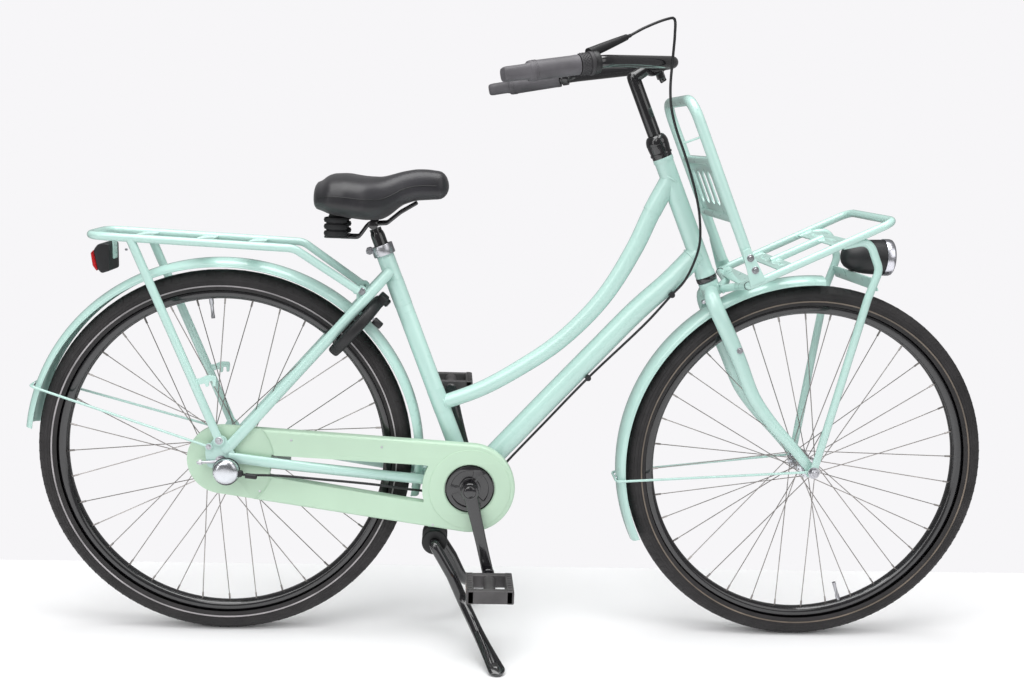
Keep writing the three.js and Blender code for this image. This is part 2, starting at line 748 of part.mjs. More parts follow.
const rackFootThickness = 4;
const driverOuter = 52.4;

piece(bike, 'rear_axle', rearAxleShape(), steel());
piece(bike, 'bottom_bracket', bottomBracket(), steel());
piece(bike, 'brake_arm', brakeArmShape(), steel());
piece(bike, 'gear_box', gearBoxShape(), black());
piece(bike, 'gear_box_cap', gearCapShape(), steel());

// Rear wheel and its sprocket

const rearWheel = new THREE.Group();
rearWheel.position.copy(rearHub);
bike.add(rearWheel);
addWheel(rearWheel, 'rear', hubs.rear, rearValveAngle);

const driverRadius = 18;

function sprocketShape() {
  const face = toothThickness / 2;
  const body = turned([
    [hubs.rear.axle + axleGap, -hubs.rear.end - seatGap], [driverRadius, -hubs.rear.end - seatGap],
    [driverRadius, -driverOuter], [hubs.rear.axle + axleGap, -driverOuter],
  ], hubFacets);
  return join(body, cut(plate(toothedOutline(sprocketTeeth), -chainLine - face, -chainLine + face),
    disc(0, 0, driverRadius - overrun, -chainLine * 2, 0, hubFacets)));
}

const driver = new THREE.Group();
driver.position.copy(rearHub);
bike.add(driver);
piece(driver, 'rear_sprocket', sprocketShape(), steel());

// Cranks, chainring and pedals

const ringBoltRadius = 25;
const discFace = 58;
const discThickness = 6;
const discRadius = 45;
const discRecessInner = 20;
const discRecessOuter = 37;
const discRecessDepth = 3;
const crankBossRadius = 17;
const crankEndRadius = 12;
const crankStart = 62;
const crankFace = 80;
const crankBack = 66;
const pedalAxleRadius = 5;
const pedalAxleReach = 186;
const pedalInner = 98;
const pedalOuter = 192;
const pedalHalfLength = 44;
const pedalHalfHeight = 13;
const pedalRailWidth = 14;
const pedalHubRadius = 12;
const reflectorLength = 40;
const reflectorHeight = 14;
const reflectorThickness = 2;

const cranks = new THREE.Group();
cranks.position.copy(bracket);
bike.add(cranks);

function chainringShape() {
  const face = toothThickness / 2;
  const ring = plate(toothedOutline(ringTeeth), -chainLine - face, -chainLine + face);
  const hub = disc(0, 0, ringBoltRadius, -discFace + overrun, -chainLine + face, 12);
  const cover = disc(0, 0, discRadius, -discFace, -discFace + discThickness, 20);
  let solid = join(ring, hub, cover);
  for (let i = 0; i < 3; i += 1) {
    const start = turn * i / 3 + crankAngle + Math.PI / 6 - turn / 12;
    const recess = new THREE.Shape();
    recess.absarc(0, 0, discRecessOuter, start, start + turn / 4, false);
    recess.absarc(0, 0, discRecessInner, start + turn / 4, start, true);
    solid = solid.subtract(toSolid(plate(recess, -discFace - overrun, -discFace + discRecessDepth)));
  }
  return cut(solid, discHole(0, 0, spindleRadius, -chainLine * 2, 0));
}

function crankShape(side, angle) {
  const [endX, endZ] = polar(crankLength, angle);
  const [acrossX, acrossZ] = polar(1, angle + Math.PI / 2);
  const edge = (x, z, half) => p2(x + acrossX * half, z + acrossZ * half);
  const arm = plate([edge(0, 0, crankBossRadius), edge(0, 0, -crankBossRadius),
    edge(endX, endZ, -crankEndRadius), edge(endX, endZ, crankEndRadius)], side * crankBack, side * crankFace);
  const boss = disc(0, 0, crankBossRadius, side * crankStart, side * crankFace, 12);
  const tip = disc(endX, endZ, crankEndRadius, side * crankBack, side * crankFace, 10);
  const axle = disc(endX, endZ, pedalAxleRadius, side * crankBack, side * pedalAxleReach, 8);
  return join(arm, boss, tip, axle);
}

function pedalShape(side) {
  const rail = (end) => box(end * pedalHalfLength - (end > 0 ? pedalRailWidth : 0),
    end * pedalHalfLength + (end > 0 ? 0 : pedalRailWidth),
    side < 0 ? -pedalOuter : pedalInner, side < 0 ? -pedalInner : pedalOuter, -pedalHalfHeight, pedalHalfHeight);
  const cheek = (from, to) => box(-pedalHalfLength, pedalHalfLength,
    side < 0 ? -to : from, side < 0 ? -from : to, -pedalHalfHeight, pedalHalfHeight);
  const hub = disc(0, 0, pedalHubRadius, side * pedalInner, side * pedalOuter, 8);
  const pocket = (end) => box(
    end > 0 ? pedalHalfLength - reflectorThickness - seatGap : -pedalHalfLength - overrun,
    end > 0 ? pedalHalfLength + overrun : -pedalHalfLength + reflectorThickness + seatGap,
    pedalMiddle(side) - reflectorLength / 2 - seatGap, pedalMiddle(side) + reflectorLength / 2 + seatGap,
    -reflectorHeight / 2 - seatGap, reflectorHeight / 2 + seatGap);
  return cut(join(rail(1), rail(-1), cheek(pedalInner, pedalInner + pedalRailWidth),
    cheek(pedalOuter - pedalRailWidth, pedalOuter), hub),
  discHole(0, 0, pedalAxleRadius, side * (pedalInner - overrun), side * (pedalAxleReach + seatGap), 12),
  pocket(1), pocket(-1));
}

const pedalMiddle = (side) => side * (pedalInner + pedalOuter) / 2;

function reflectorShape(side, end) {
  const outer = end * pedalHalfLength;
  const inner = end * (pedalHalfLength - reflectorThickness);
  return box(Math.min(inner, outer), Math.max(inner, outer), pedalMiddle(side) - reflectorLength / 2,
    pedalMiddle(side) + reflectorLength / 2, -reflectorHeight / 2, reflectorHeight / 2);
}

function addPedal(side, angle, name) {
  const [x, z] = polar(crankLength, angle);
  const pedal = new THREE.Group();
  pedal.position.set(x, 0, z);
  cranks.add(pedal);
  piece(pedal, `${name}_pedal`, pedalShape(side), black());
  piece(pedal, `${name}_pedal_reflector`, reflectorShape(side, -1), paint(0xe08a10, 0.3));
}

piece(cranks, 'chainring', chainringShape(), gloss());
piece(cranks, 'right_crank', cut(crankShape(-1, crankAngle),
  discHole(0, 0, spindleRadius, -crankFace * 2, 0)), black());
piece(cranks, 'left_crank', join(crankShape(1, crankAngle + Math.PI),
  disc(0, 0, spindleRadius, -spindleHalf, crankFace, 16)), black());
addPedal(-1, crankAngle, 'right');
addPedal(1, crankAngle + Math.PI, 'left');

// Mudguards

const guardSideRoom = 5.5;
const guardHalf = tyreWidth / 2 + guardSideRoom;
const guardDepth = 15;
const guardWall = 1.5;
const rearGuardFrom = -11.5 * degree;
const rearGuardTo = 172.5 * degree;
const frontGuardFrom = 88.5 * degree;
const frontGuardTo = 205.5 * degree;
const guardStep = 9.4 * degree;
const guardStayRadius = 2.5;
const guardStayGap = 0.4;
const guardEyeRadius = 7;
const guardEyeThickness = 3;
const guardStaySpread = 35;
const rearStayGuardAngle = 160 * degree;
const rearStayFootX = -22;
const rearStayFootRise = 29;
const rearStayFootZ = tyreRadius + rearStayFootRise;
const frontStayGuardAngle = 185.4 * degree;
const frontEyeInner = 63.2;
const guardSectionShares = [[0, -1], [0.72, -0.84], [1, -0.3], [1, 0.3], [0.72, 0.84], [0, 1]];

function guardShape(centreX, radius, from, to) {
  const outer = guardSectionShares.map(([rise, side]) => p2(radius - guardDepth * (1 - rise), side * guardHalf));
  const inner = guardSectionShares.map(([rise, side]) => p2(
    radius - guardDepth * (1 - rise) - guardWall * (rise > 0 ? 1 : 0),
    side * guardHalf - Math.sign(side) * guardWall * (rise < 1 ? 1 : 0.5))).reverse();
  const outline = [...outer, ...inner];
  const steps = Math.round((to - from) / guardStep);
  const points = [];
  for (let i = 0; i <= steps; i += 1) {
    const angle = mix(from, to, i / steps);
    outline.forEach((corner) => {
      const [x, z] = polar(corner.x, angle);
      points.push(v(centreX + x, corner.y, tyreRadius + z));
    });
  }
  return closedRings(points, outline.length, outline);
}

function guardStay(centreX, radius, guardAngle, foot, eyeHole) {
  const [x, z] = polar(radius + guardStayRadius + guardStayGap, guardAngle);
  const back = (side) => v(centreX + x, side * guardStaySpread, tyreRadius + z);
  const wire = tube(bent([foot(-1), back(-1), back(1), foot(1)], guardStaySpread / 3, 1), guardStayRadius, wireFacets);
  const eye = (side) => disc(foot(side).x, foot(side).z, guardEyeRadius,
    foot(side).y - guardEyeThickness / 2, foot(side).y + guardEyeThickness / 2, 8);
  const solid = join(wire, eye(1), eye(-1));
  return eyeHole ? cut(solid, eyeHole) : solid;
}

function rearGuardShape() {
  return cut(guardShape(0, rearGuardRadius, rearGuardFrom, rearGuardTo),
    chainStay(1, overrun), chainStay(-1, overrun));
}

const rearEyeMiddle = dropoutInner + dropoutThickness + seatGap + guardStayRadius;
piece(bike, 'rear_mudguard', rearGuardShape(), mint());
piece(bike, 'rear_mudguard_stay', guardStay(0, rearGuardRadius, rearStayGuardAngle,
  (side) => v(rearStayFootX, side * rearEyeMiddle, rearStayFootZ)), mint());

// Rear rack with its light

const rackRadius = 7.5;
const railFacets = 6;
const rackLegRadius = 8;
const rackHalf = 69;
const rackRearX = -236;
const rackRearClearance = 40;
const rackRearRise = rearGuardRadius + rackRearClearance;
const rackKneeX = 136;
const rackKneeClearance = 26.5;
const rackKneeRise = rearGuardRadius + rackKneeClearance;
const rackBend = 38;
const rackLegTopX = -159;
const rackLegFootX = -3;
const rackLegFootRise = 41;
const rackPlateWidth = 28;
const rackPlateThickness = 3;
const rackPlateShares = [0.23, 0.53, 0.785];
const rackEyeShares = [[-2, 0], [-0.7, 1], [0.9, 0.5], [0.9, -0.3], [-0.2, -0.7], [-1.6, -0.8]];
const rackEyeRadius = 10;
const hookRadius = 2.5;
const hookHeight = 104;
const hookReach = 44;
const hookDrop = 20;
const lightPlateWidth = 26;
const lightPlateThickness = 2;

const rackRail = (share) => v(mix(rackRearX, rackKneeX, share), 0,
  tyreRadius + mix(rackRearRise, rackKneeRise, share));

function crossPlate(from, to, share) {
  const middle = from.clone().lerp(to, share);
  const slope = Math.atan2(to.z - from.z, to.x - from.x);
  const geometry = new THREE.BoxGeometry(rackPlateWidth, rackHalf * 2, rackPlateThickness);
  return geometry.rotateY(-slope).translate(middle.x, 0, middle.z);
}

function rackLeg(side) {
  const footZ = tyreRadius + rackLegFootRise;
  const footY = side * (dropoutInner + dropoutThickness + seatGap + rackFootThickness / 2);
  const top = v(rackLegTopX, side * rackHalf, rackRail(0.2).z);
  const foot = v(rackLegFootX, footY, footZ);
  const path = new StationPath([top, top.clone().lerp(foot, 0.9), top.clone().lerp(foot, 0.96), foot]);
  const leg = loft(path, railFacets, (share) => [share < 0.5 ? rackLegRadius : rackFootThickness / 2, rackLegRadius]);
  const eye = disc(foot.x, foot.z, rackEyeRadius, footY - rackFootThickness / 2, footY + rackFootThickness / 2, 12);
  const hookTop = top.clone().lerp(foot, 1 - hookHeight / (top.z - foot.z));
  const hook = tube(bent([hookTop, v(hookTop.x + hookReach, hookTop.y, hookTop.z - hookDrop),
    v(hookTop.x + hookReach, hookTop.y, hookTop.z)], hookRadius * 2, 2), hookRadius, wireFacets);
  return join(leg, eye, hook);
}

function rackFrontEye(side) {
  const from = side * (rackTabHalf + seatGap);
  return plate(shaped(rackEyeShares, rackTabRadius,
    rackBoltX, rackBoltZ), from, from + side * rackPlateThickness);
}

function rackShape() {
  const rear = (side) => v(rackRearX, side * rackHalf, tyreRadius + rackRearRise);
  const knee = (side) => v(rackKneeX, side * rackHalf, tyreRadius + rackKneeRise);
  const front = (side) => v(rackBoltX - rackTabRadius / 2, side * (rackTabHalf + rackRadius + seatGap), rackBoltZ);
  const rails = tube(bent([front(-1), knee(-1), rear(-1), rear(1), knee(1), front(1)], rackBend), rackRadius, railFacets);
  const plates = rackPlateShares.map((share) => crossPlate(rackRail(0), rackRail(1), share));
  const tongue = box(rackRearX, rackLightX, -lightPlateWidth / 2, lightPlateWidth / 2,
    rackRail(0).z - rackPlateThickness, rackRail(0).z);
  const hanger = box(rackLightX - lightPlateThickness, rackLightX, -lightPlateWidth / 2, lightPlateWidth / 2,
    rackRail(0).z - lightDrop, rackRail(0).z);
  return join(rails, ...plates, rackLeg(1), rackLeg(-1), rackFrontEye(1), rackFrontEye(-1), tongue, hanger);
}

const rackLightX = -204;
const lightDrop = 48;
const tailLightHeight = 54;
const tailLightHalf = 32;
const tailLightTop = 17;
const tailBodyShares = [[-0.55, -0.25], [-0.4, -0.05], [-0.15, 0], [0, -0.05], [0, -0.95], [-0.3, -1.05], [-0.42, -0.9]];
const tailLensShares = [[-0.66, -0.36], [-0.556, -0.25], [-0.426, -0.9], [-0.47, -0.98], [-0.6, -0.8]];

const tailLight = (shares, half) => plate(shaped(shares, tailLightHeight,
  rackLightX - lightPlateThickness - seatGap, rackRail(0).z - tailLightTop), -half, half);

piece(bike, 'rear_rack', rackShape(), mint());
piece(bike, 'tail_light_body', cut(tailLight(tailBodyShares, tailLightHalf),
  tailLight(tailLensShares, tailLightHalf * 2)), black());
piece(bike, 'tail_light_lens', tailLight(tailLensShares, tailLightHalf - overrun), paint(0xb01018, 0.2));

// Ring lock

const lockBelowStay = 0.78875 * degree;
const lockAngle = seatStayAngle - lockBelowStay;
const lockDepth = 6;
const lockDistance = tyreRadius - lockDepth;
const lockForward = 17;
const lockOuter = 75;
const lockInner = 47;
const lockHalfThickness = 11;
const lockHalfArc = 150 * degree;
const shackleRing = 61;
const shackleRadius = 4;
const shackleGap = 0.6;
const shackleFrom = -146 * degree;
const shackleTo = -44 * degree;
const shackleLeverAngle = -48 * degree;
const shackleTravel = 70 * degree;
const shackleLeverRadius = 3;
const shackleLeverReach = 22;
const shackleKnobRadius = 7;
const slotMargin = 5 * degree;
const lockBodyOut = 84;
const lockBodyHalf = 22;
const lockKeyRadius = 8;
const lockKeyLength = 6;
const lockLugRadius = 5;
const lockLugX = 23;
const lockLugHalf = 46;
const lockLugRise = 12;

const lock = new THREE.Group();
lock.position.set(
  lockDistance * Math.cos(lockAngle) + lockForward * Math.sin(lockAngle), 0,
  tyreRadius + lockDistance * Math.sin(lockAngle) - lockForward * Math.cos(lockAngle));
lock.rotation.y = -lockAngle;
bike.add(lock);

function arcPath(radius, from, to, steps) {
  const points = [];
  for (let i = 0; i <= steps; i += 1) {
    const [x, y] = polar(radius, mix(from, to, i / steps));
    points.push(v(x, y, 0));
  }
  return new StationPath(points);
}

function arcBand(inner, outer, from, to, low, high, curveSegments = 6) {
  const shape = new THREE.Shape();
  shape.absarc(0, 0, outer, from, to, false);
  shape.absarc(0, 0, inner, to, from, true);
  const geometry = new THREE.ExtrudeGeometry(shape, { depth: high - low, bevelEnabled: false, curveSegments });
  return geometry.translate(0, 0, low);
}

// A lug that the lock is clamped to a seat stay by
function lockLug(side) {
  lock.updateMatrix();
  const stay = seatStay(side, seatGap).applyMatrix4(lock.matrix.clone().invert());
  const lug = bar(v(lockLugX, side * lockLugHalf, lockHalfThickness - overrun),
    v(lockLugX, side * lockLugHalf, lockHalfThickness + lockLugRise), lockLugRadius, 6);
  return cut(lug, stay);
}

function lockBodyShape() {
  const ring = arcBand(lockInner, lockOuter, -lockHalfArc, lockHalfArc, -lockHalfThickness, lockHalfThickness, 12);
  const head = box((lockInner + lockOuter) / 2, lockBodyOut, -lockBodyHalf, lockBodyHalf,
    -lockHalfThickness, lockHalfThickness - shackleRadius);
  const key = bar(v(lockOuter, 0, -lockHalfThickness - lockKeyLength), v(lockOuter, 0, 0), lockKeyRadius, 8);
  const tunnel = new THREE.TorusGeometry(shackleRing, (shackleRadius + shackleGap * 2) * circumscribe(4), 4, 20);
  const slotHalf = shackleLeverRadius + shackleGap;
  const slot = arcBand(shackleRing - slotHalf, shackleRing + slotHalf, shackleLeverAngle - shackleTravel - slotMargin,
    shackleLeverAngle + slotMargin, -lockHalfThickness - overrun, 0);
  return cut(join(ring, head, key, lockLug(1), lockLug(-1)), tunnel, slot);
}

function shackleShape() {
  const arc = tube(arcPath(shackleRing, shackleFrom, shackleTo, 10), shackleRadius, 6);
  const [x, y] = polar(shackleRing, shackleLeverAngle);
  const reach = lockHalfThickness + shackleLeverReach;
  return join(arc, bar(v(x, y, 0), v(x, y, -reach), shackleLeverRadius),
    bar(v(x, y, -lockHalfThickness - overrun), v(x, y, -reach), shackleKnobRadius, 10));
}

piece(lock, 'ring_lock_body', lockBodyShape(), black());
piece(lock, 'ring_lock_shackle', shackleShape(), steel());

// Seat post and saddle, in the place that the seat tube's top gives

const clampRadius = 21;
const clampHalf = 10;
const clampStep = 0.5;
const saddleLength = 250;
const saddleHalf = 104;
const saddleLead = -128;
const saddleRise = 149;
const saddleHeight = 91;
const saddleShares = [
  [0, 0.44, 0.47, 0.28], [0.045, 0.73, 0.69, 0.14], [0.14, 0.94, 0.86, 0.1], [0.25, 1, 0.91, 0.055],
  [0.37, 0.92, 0.86, 0.05], [0.5, 0.67, 0.82, 0.1], [0.64, 0.42, 0.91, 0.27], [0.79, 0.29, 1, 0.46],
  [0.92, 0.23, 0.9, 0.54], [1, 0.12, 0.69, 0.65],
];
const saddleSectionShares = [[0, 1], [-0.55, 0.93], [-0.9, 0.62], [-1, 0.3], [-0.8, 0], [0.8, 0], [1, 0.3],
  [0.9, 0.62], [0.55, 0.93]];
const railRadius = 3.5;
const railHalf = 20;
const railDrop = 9;
const saddleClampRadius = 9;
const saddleClampShare = [0.44, -0.1];
const springRadius = 22;
const springHalf = 42;
const springHeight = 36;
const springPlate = 4;
const springProfileShares = [[0, 0], [1, 0], [1, 0.3], [0.8, 0.4], [0.8, 0.6], [1, 0.7], [1, 1], [0, 1]];

const saddleGroup = new THREE.Group();
saddleGroup.position.copy(seatTubeTop);
bike.add(saddleGroup);
const saddleAt = (along, rise) => v(saddleLead + along * saddleLength, 0,
  saddleRise - saddleHeight + rise * saddleHeight);

function saddleShape() {
  const points = [];
  saddleShares.forEach(([along, width, top, bottom]) => {
    saddleSectionShares.forEach(([side, rise]) => {
      const point = saddleAt(along, mix(bottom, top, rise));
      point.y = side * width * saddleHalf;
      points.push(point);
    });
  });
  return closedRings(points, saddleSectionShares.length, saddleSectionShares.map(([a, b]) => p2(a, b)));
}

function railPath(side) {
  const at = (along, rise, half) => {
    const point = saddleAt(along, rise);
    point.y = side * half;
    point.z -= railRadius + seatGap;
    return point;
  };
  return bent([at(0.76, 0.4, railHalf * 0.6), at(0.64, 0.2, railHalf), at(0.54, -0.03, railHalf),
    at(0.4, -0.06, railHalf), at(0.33, -0.332, railHalf), at(0.2, -0.332, railHalf)], railDrop, 1);
}

function saddleRailsShape() {
  const clampAt = saddleAt(...saddleClampShare);
  const clamp = disc(clampAt.x, clampAt.z, saddleClampRadius, -railHalf - railDrop, railHalf + railDrop, 12);
  const plateTop = springBase().z - seatGap;
  const bed = box(springBase().x - springRadius, springBase().x + springRadius, -springHalf, springHalf,
    plateTop - springPlate, plateTop);
  return join(tube(railPath(1), railRadius, wireFacets), tube(railPath(-1), railRadius, wireFacets), clamp, bed);
}

const springTop = () => saddleAt(0.17, 0.055);
const springBase = () => springTop().sub(v(0, 0, springHeight));

function springShape(side) {
  const top = springHeight - seatGap * 2;
  const profile = springProfileShares.map(([r, z]) => [r * springRadius, z * top]);
  const at = springBase();
  return spun(profile, 10).rotateX(Math.PI / 2).translate(at.x, side * springHalf, at.z);
}

function seatClampShape() {
  const profile = [[seatTubeRadius + seatGap, -clampHalf], [clampRadius, -clampHalf], [clampRadius, clampHalf],
    [seatPostRadius + seatGap, clampHalf], [seatPostRadius + seatGap, clampStep],
    [seatTubeRadius + seatGap, clampStep]].map(([radius, along]) => [radius * circumscribe(16), along]);
  const lean = Math.atan2(seatAxis.x, seatAxis.z);
  return turned(profile, 16).rotateX(Math.PI / 2).rotateY(lean);
}

function seatPostShape() {
  const rise = saddleAt(...saddleClampShare).dot(seatAxis) - saddleClampRadius - seatGap;
  return bar(seatAxis.clone().multiplyScalar(-seatPostInsert), seatAxis.clone().multiplyScalar(rise),
    seatPostRadius, 16);
}

const clampSpace = new THREE.Group();
clampSpace.position.copy(seatTubeTop);
bike.add(clampSpace);
piece(clampSpace, 'seat_clamp', seatClampShape(), steel());
piece(saddleGroup, 'seat_post', seatPostShape(), black());
piece(saddleGroup, 'saddle', saddleShape(), rubber());
piece(saddleGroup, 'saddle_rails', saddleRailsShape(), black());
piece(saddleGroup, 'saddle_spring_right', springShape(-1), black());
piece(saddleGroup, 'saddle_spring_left', springShape(1), black());

// Stand with two legs

const standLegRadius = 11;
const standPinRadius = 9;
const standKneeHalf = 46;
const standSpread = 217;
const standReach = 125;
const standFootWide = 15;
const standFootThin = 5;
const standShares = [[0.301, -0.0146, 0.055], [0.5408, -0.0533, 0.085], [0.7549, -0.0409, 0.44], [1, 0, 1]];
const standFlatFrom = 0.42;

const standGroup = new THREE.Group();
standGroup.position.set(standPivotX, 0, standPivotZ);
bike.add(standGroup);

function standShape() {
  const foot = v(standReach, 0, standFootThin * 0.7 - standPivotZ);
  const spread = (side) => beside(v(0, 0, 0), foot, standShares.map(([a, b]) => [a, b])).map((point, i) => {
    point.y = side * mix(standKneeHalf, standSpread, standShares[i][2]);
    return point;
  });
  const corner = (side) => v(0, side * standKneeHalf, 0);
  const path = bent([...spread(-1).reverse(), corner(-1), corner(1), ...spread(1)], standLegRadius, 2);
  const legs = loft(path, smallFacets, (share, centre) => {
    const out = (Math.abs(centre.y) - standKneeHalf) / (standSpread - standKneeHalf);
    if (Math.abs(centre.y) < standKneeHalf * 0.85) return [standPinRadius, standPinRadius];
    const flat = Math.max(0, (out - standFlatFrom) / (1 - standFlatFrom));
    return [mix(standLegRadius, standFootWide, flat), mix(standLegRadius, standFootThin, flat)];
  }, v(1, 0, 0));
  return cut(legs, box(-standReach * 2, standReach * 2, -standSpread * 2, standSpread * 2,
    -standPivotZ * 2, -standPivotZ));
}

function standHousingShape() {
  const from = -standHousingHalf;
  const body = disc(standPivotX, standPivotZ, standHousingRadius, from, standHousingHalf, 20);
  return cut(body, discHole(standPivotX, standPivotZ, standPinRadius, from * 2, standHousingHalf * 2, 12));
}

piece(standGroup, 'stand_legs', standShape(), black());
piece(bike, 'stand_housing', standHousingShape(), black());

// Headset, whose frame side stays with the frame

const cupRadius = 20;
const cupLowerBottom = -3;
const cupUpperTop = 275;
const capTop = 293;
const capRadius = 21;
const capShoulderRadius = 20;
const capTopRadius = 15;
const steererRadius = 13.4;

const headSpace = new THREE.Group();
headSpace.position.copy(crown);
headSpace.rotation.y = -headTilt;
bike.add(headSpace);

const around = (profile, facets = 12) => turned(profile, facets).rotateX(Math.PI / 2);

piece(headSpace, 'headset_lower_cup', around([
  [headTubeBore, cupLowerBottom], [cupRadius, cupLowerBottom], [cupRadius, headTubeBottom - seatGap],
  [headTubeBore, headTubeBottom - seatGap]]), black());
piece(headSpace, 'headset_upper_cup', around([
  [headTubeBore, headTubeTop + seatGap], [cupRadius, headTubeTop + seatGap], [capRadius, cupUpperTop - overrun],
  [capRadius, cupUpperTop], [headTubeBore, cupUpperTop]]), black());

// Steering: everything below turns about the head tube's axis

const steering = new THREE.Group();
steering.position.copy(crown);
steering.rotation.y = -headTilt;
bike.add(steering);

const forkHalf = 59;
const forkTopHalf = 15;
const forkEndHalf = 9.5;
const forkEndFlat = 4;
const forkPlateInner = 56;
const forkPlateOuter = 62;
const forkPlateRadius = 13;
const crownHalf = 16;
const crownTop = -12;
const crownBottom = -34;
const crownRaceTop = -4;
const raceRadius = 19;
const guardTabHalf = 8;
const steererTop = 285;
const forkBladeShares = [
  [0, 0.1, 0.05], [-0.148, 0.6, 0.075], [-0.185, 0.85, 0.125], [-0.111, 0.915, 0.273], [-0.074, 0.93, 0.39],
  [-0.037, 0.95, 0.57], [0.24, 0.98, 0.715], [0.61, 1, 0.845], [0.867, 1, 0.943], [0.96, 1, 0.98],
];

function forkBlade(side) {
  const points = forkBladeShares.map(([x, y, z]) => v(x * forkOffset, side * y * forkHalf, -z * forkLength));
  return loft(new StationPath(points), smallFacets, (share) => {
    const low = Math.max(0, (share - 0.3) / 0.7);
    const half = mix(forkTopHalf, forkEndHalf, low);
    return [share > 0.95 ? forkEndFlat : mix(forkTopHalf - overrun, forkEndHalf - overrun, low), half];
  });
}

function forkShape() {
  const plateOf = (side) => disc(forkOffset, -forkLength, forkPlateRadius, side * forkPlateInner,
    side * forkPlateOuter, 12);
  const half = hubs.front.axle + seatGap;
  const slot = box(forkOffset - half, forkOffset + half, -forkPlateOuter * 2, forkPlateOuter * 2,
    -forkLength - forkPlateRadius * 2, -forkLength);
  const hole = discHole(forkOffset, -forkLength, hubs.front.axle, -forkPlateOuter * 2, forkPlateOuter * 2);
  const guardTop = -forkLength + Math.sqrt(frontGuardRadius ** 2 - (forkOffset - guardTabHalf) ** 2);
  const tab = box(-guardTabHalf, guardTabHalf, -guardTabHalf, guardTabHalf, guardTop + seatGap * 2, crownBottom + overrun);
  const block = box(-crownHalf, crownHalf, -crownHalf, crownHalf, crownBottom, crownTop);
  const race = bar(v(0, 0, crownTop - overrun), v(0, 0, crownRaceTop), raceRadius, 12);
  const steerer = bar(v(0, 0, crownTop - overrun), v(0, 0, steererTop), steererRadius, 12);
  return cut(join(forkBlade(1), forkBlade(-1), plateOf(1), plateOf(-1), tab, block, race, steerer), slot, hole,
    bar(v(0, 0, steererTop - quillInsert), v(0, 0, steererTop + overrun), quillRadius + seatGap * circumscribe(8), 8));
}

const quillRadius = 10.5;
const quillInsert = 90;
const quillLift = 5;
const stemRadius = 12.5;
const stemBase = 293.6;
const stemTop = 414;
const stemReach = 40.4;
const stemClampZ = 412.8;
const stemClampRadius = 17;
const stemClampHalf = 11;
const stemBoltRadius = 6;
const stemBoltDrop = 24;
const barRadius = 11;
const housingTo = 166;
const barEndRoom = 11.6015;
const barShares = [[0, 0.09, 0], [0.109, 0.187, -0.025], [-0.387, 0.823, 0.131], [-0.937, 1, 0.26]];
const straightShare = v(...barShares[3]).distanceTo(v(...barShares[2]));
const barHalf = (housingTo + barEndRoom) / straightShare;
const barBends = [55, 25, 28];

function stemShape() {
  const clampAt = v(stemReach, 0, stemClampZ);
  const post = bar(v(0, 0, stemBase), v(0, 0, stemTop), stemRadius, 12);
  const quill = bar(v(0, 0, steererTop - quillInsert + quillLift), v(0, 0, stemBase + overrun), quillRadius, 8);
  const arm = bar(v(0, 0, stemClampZ - stemRadius / 2), clampAt, stemRadius, 8);
  const clamp = bar(v(clampAt.x, -stemClampHalf, clampAt.z), v(clampAt.x, stemClampHalf, clampAt.z), stemClampRadius, 12);
  const bolt = bar(clampAt, v(clampAt.x + stemBoltDrop / 2, 0, clampAt.z - stemBoltDrop), stemBoltRadius, 6);
  return cut(join(post, quill, arm, clamp, bolt),
    barHole(v(clampAt.x, -stemClampHalf * 2, clampAt.z), v(clampAt.x, stemClampHalf * 2, clampAt.z), barRadius, 12));
}

const barPoint = (share, side) => v(stemReach + share[0] * barHalf, side * share[1] * barHalf,
  stemClampZ + share[2] * barHalf);

function handlebarShape() {
  const right = barShares.map((share) => barPoint(share, -1)).reverse();
  const left = barShares.map((share) => barPoint(share, 1));
  const bends = [...barBends, ...barBends.slice().reverse()];
  return tube(bent([...right, ...left], bends, 3), barRadius, smallFacets);
}

// Places along the straight end of the bar, measured from its tip
function onGrip(along, side) {
  const tip = barPoint(barShares[3], side);
  const inner = barPoint(barShares[2], side);
  return tip.add(inner.sub(tip).normalize().multiplyScalar(along));
}

const gripEnd = -4;
const gripNeck = 40;
const gripStop = 130;
const gripNeckRadius = 14.5;
const gripRadius = 16.5;
const twistFrom = 131;
const twistTo = 155;
const twistRadius = 18;
const twistFlangeRadius = 20;
const twistFlange = 7;
const housingRadius = 19;
const barrelRadius = 6;
const barrelLengthX = 42;
const barrelRise = 20;
const barrelInward = 42;

const sleeve = (from, to, radius, side, facets = 12) => bar(onGrip(from, side), onGrip(to, side), radius, facets);
const barRoom = (from, to, side) => barHole(onGrip(from, side), onGrip(to, side), barRadius);

function gripShape(side, stop) {
  return cut(join(sleeve(gripEnd, gripNeck + overrun, gripNeckRadius, side, 8), sleeve(gripNeck, stop, gripRadius, side)),
    barRoom(-seatGap, stop + overrun, side));
}

function twistShape() {
  return cut(join(sleeve(twistFrom, twistTo, twistRadius, -1), sleeve(twistTo - twistFlange, twistTo, twistFlangeRadius, -1)),
    barRoom(twistFrom - overrun, twistTo + overrun, -1));
}

function housingShape() {
  const from = twistTo + seatGap;
  const start = onGrip(housingTo, -1).add(v(0, 0, barRadius + barrelRadius + seatGap * 2));
  const end = start.clone().add(v(barrelLengthX, barrelInward, barrelRise));
  return cut(join(sleeve(from, housingTo, housingRadius, -1), bar(start, end, barrelRadius, 6)),
    barHole(onGrip(from - overrun, -1), onGrip(housingTo + overrun, -1), barRadius + seatGap * 2));
}

const bellRadius = 24;
const bellAlong = 160;
const leftGripStop = 150;
const bellHeight = 16;
const bellRise = 20;
const bellBandHalf = 6;
const bellBandRadius = 15;
const bellLeverLength = 26;
const bellLeverWidth = 10;
const bellLeverThickness = 3;

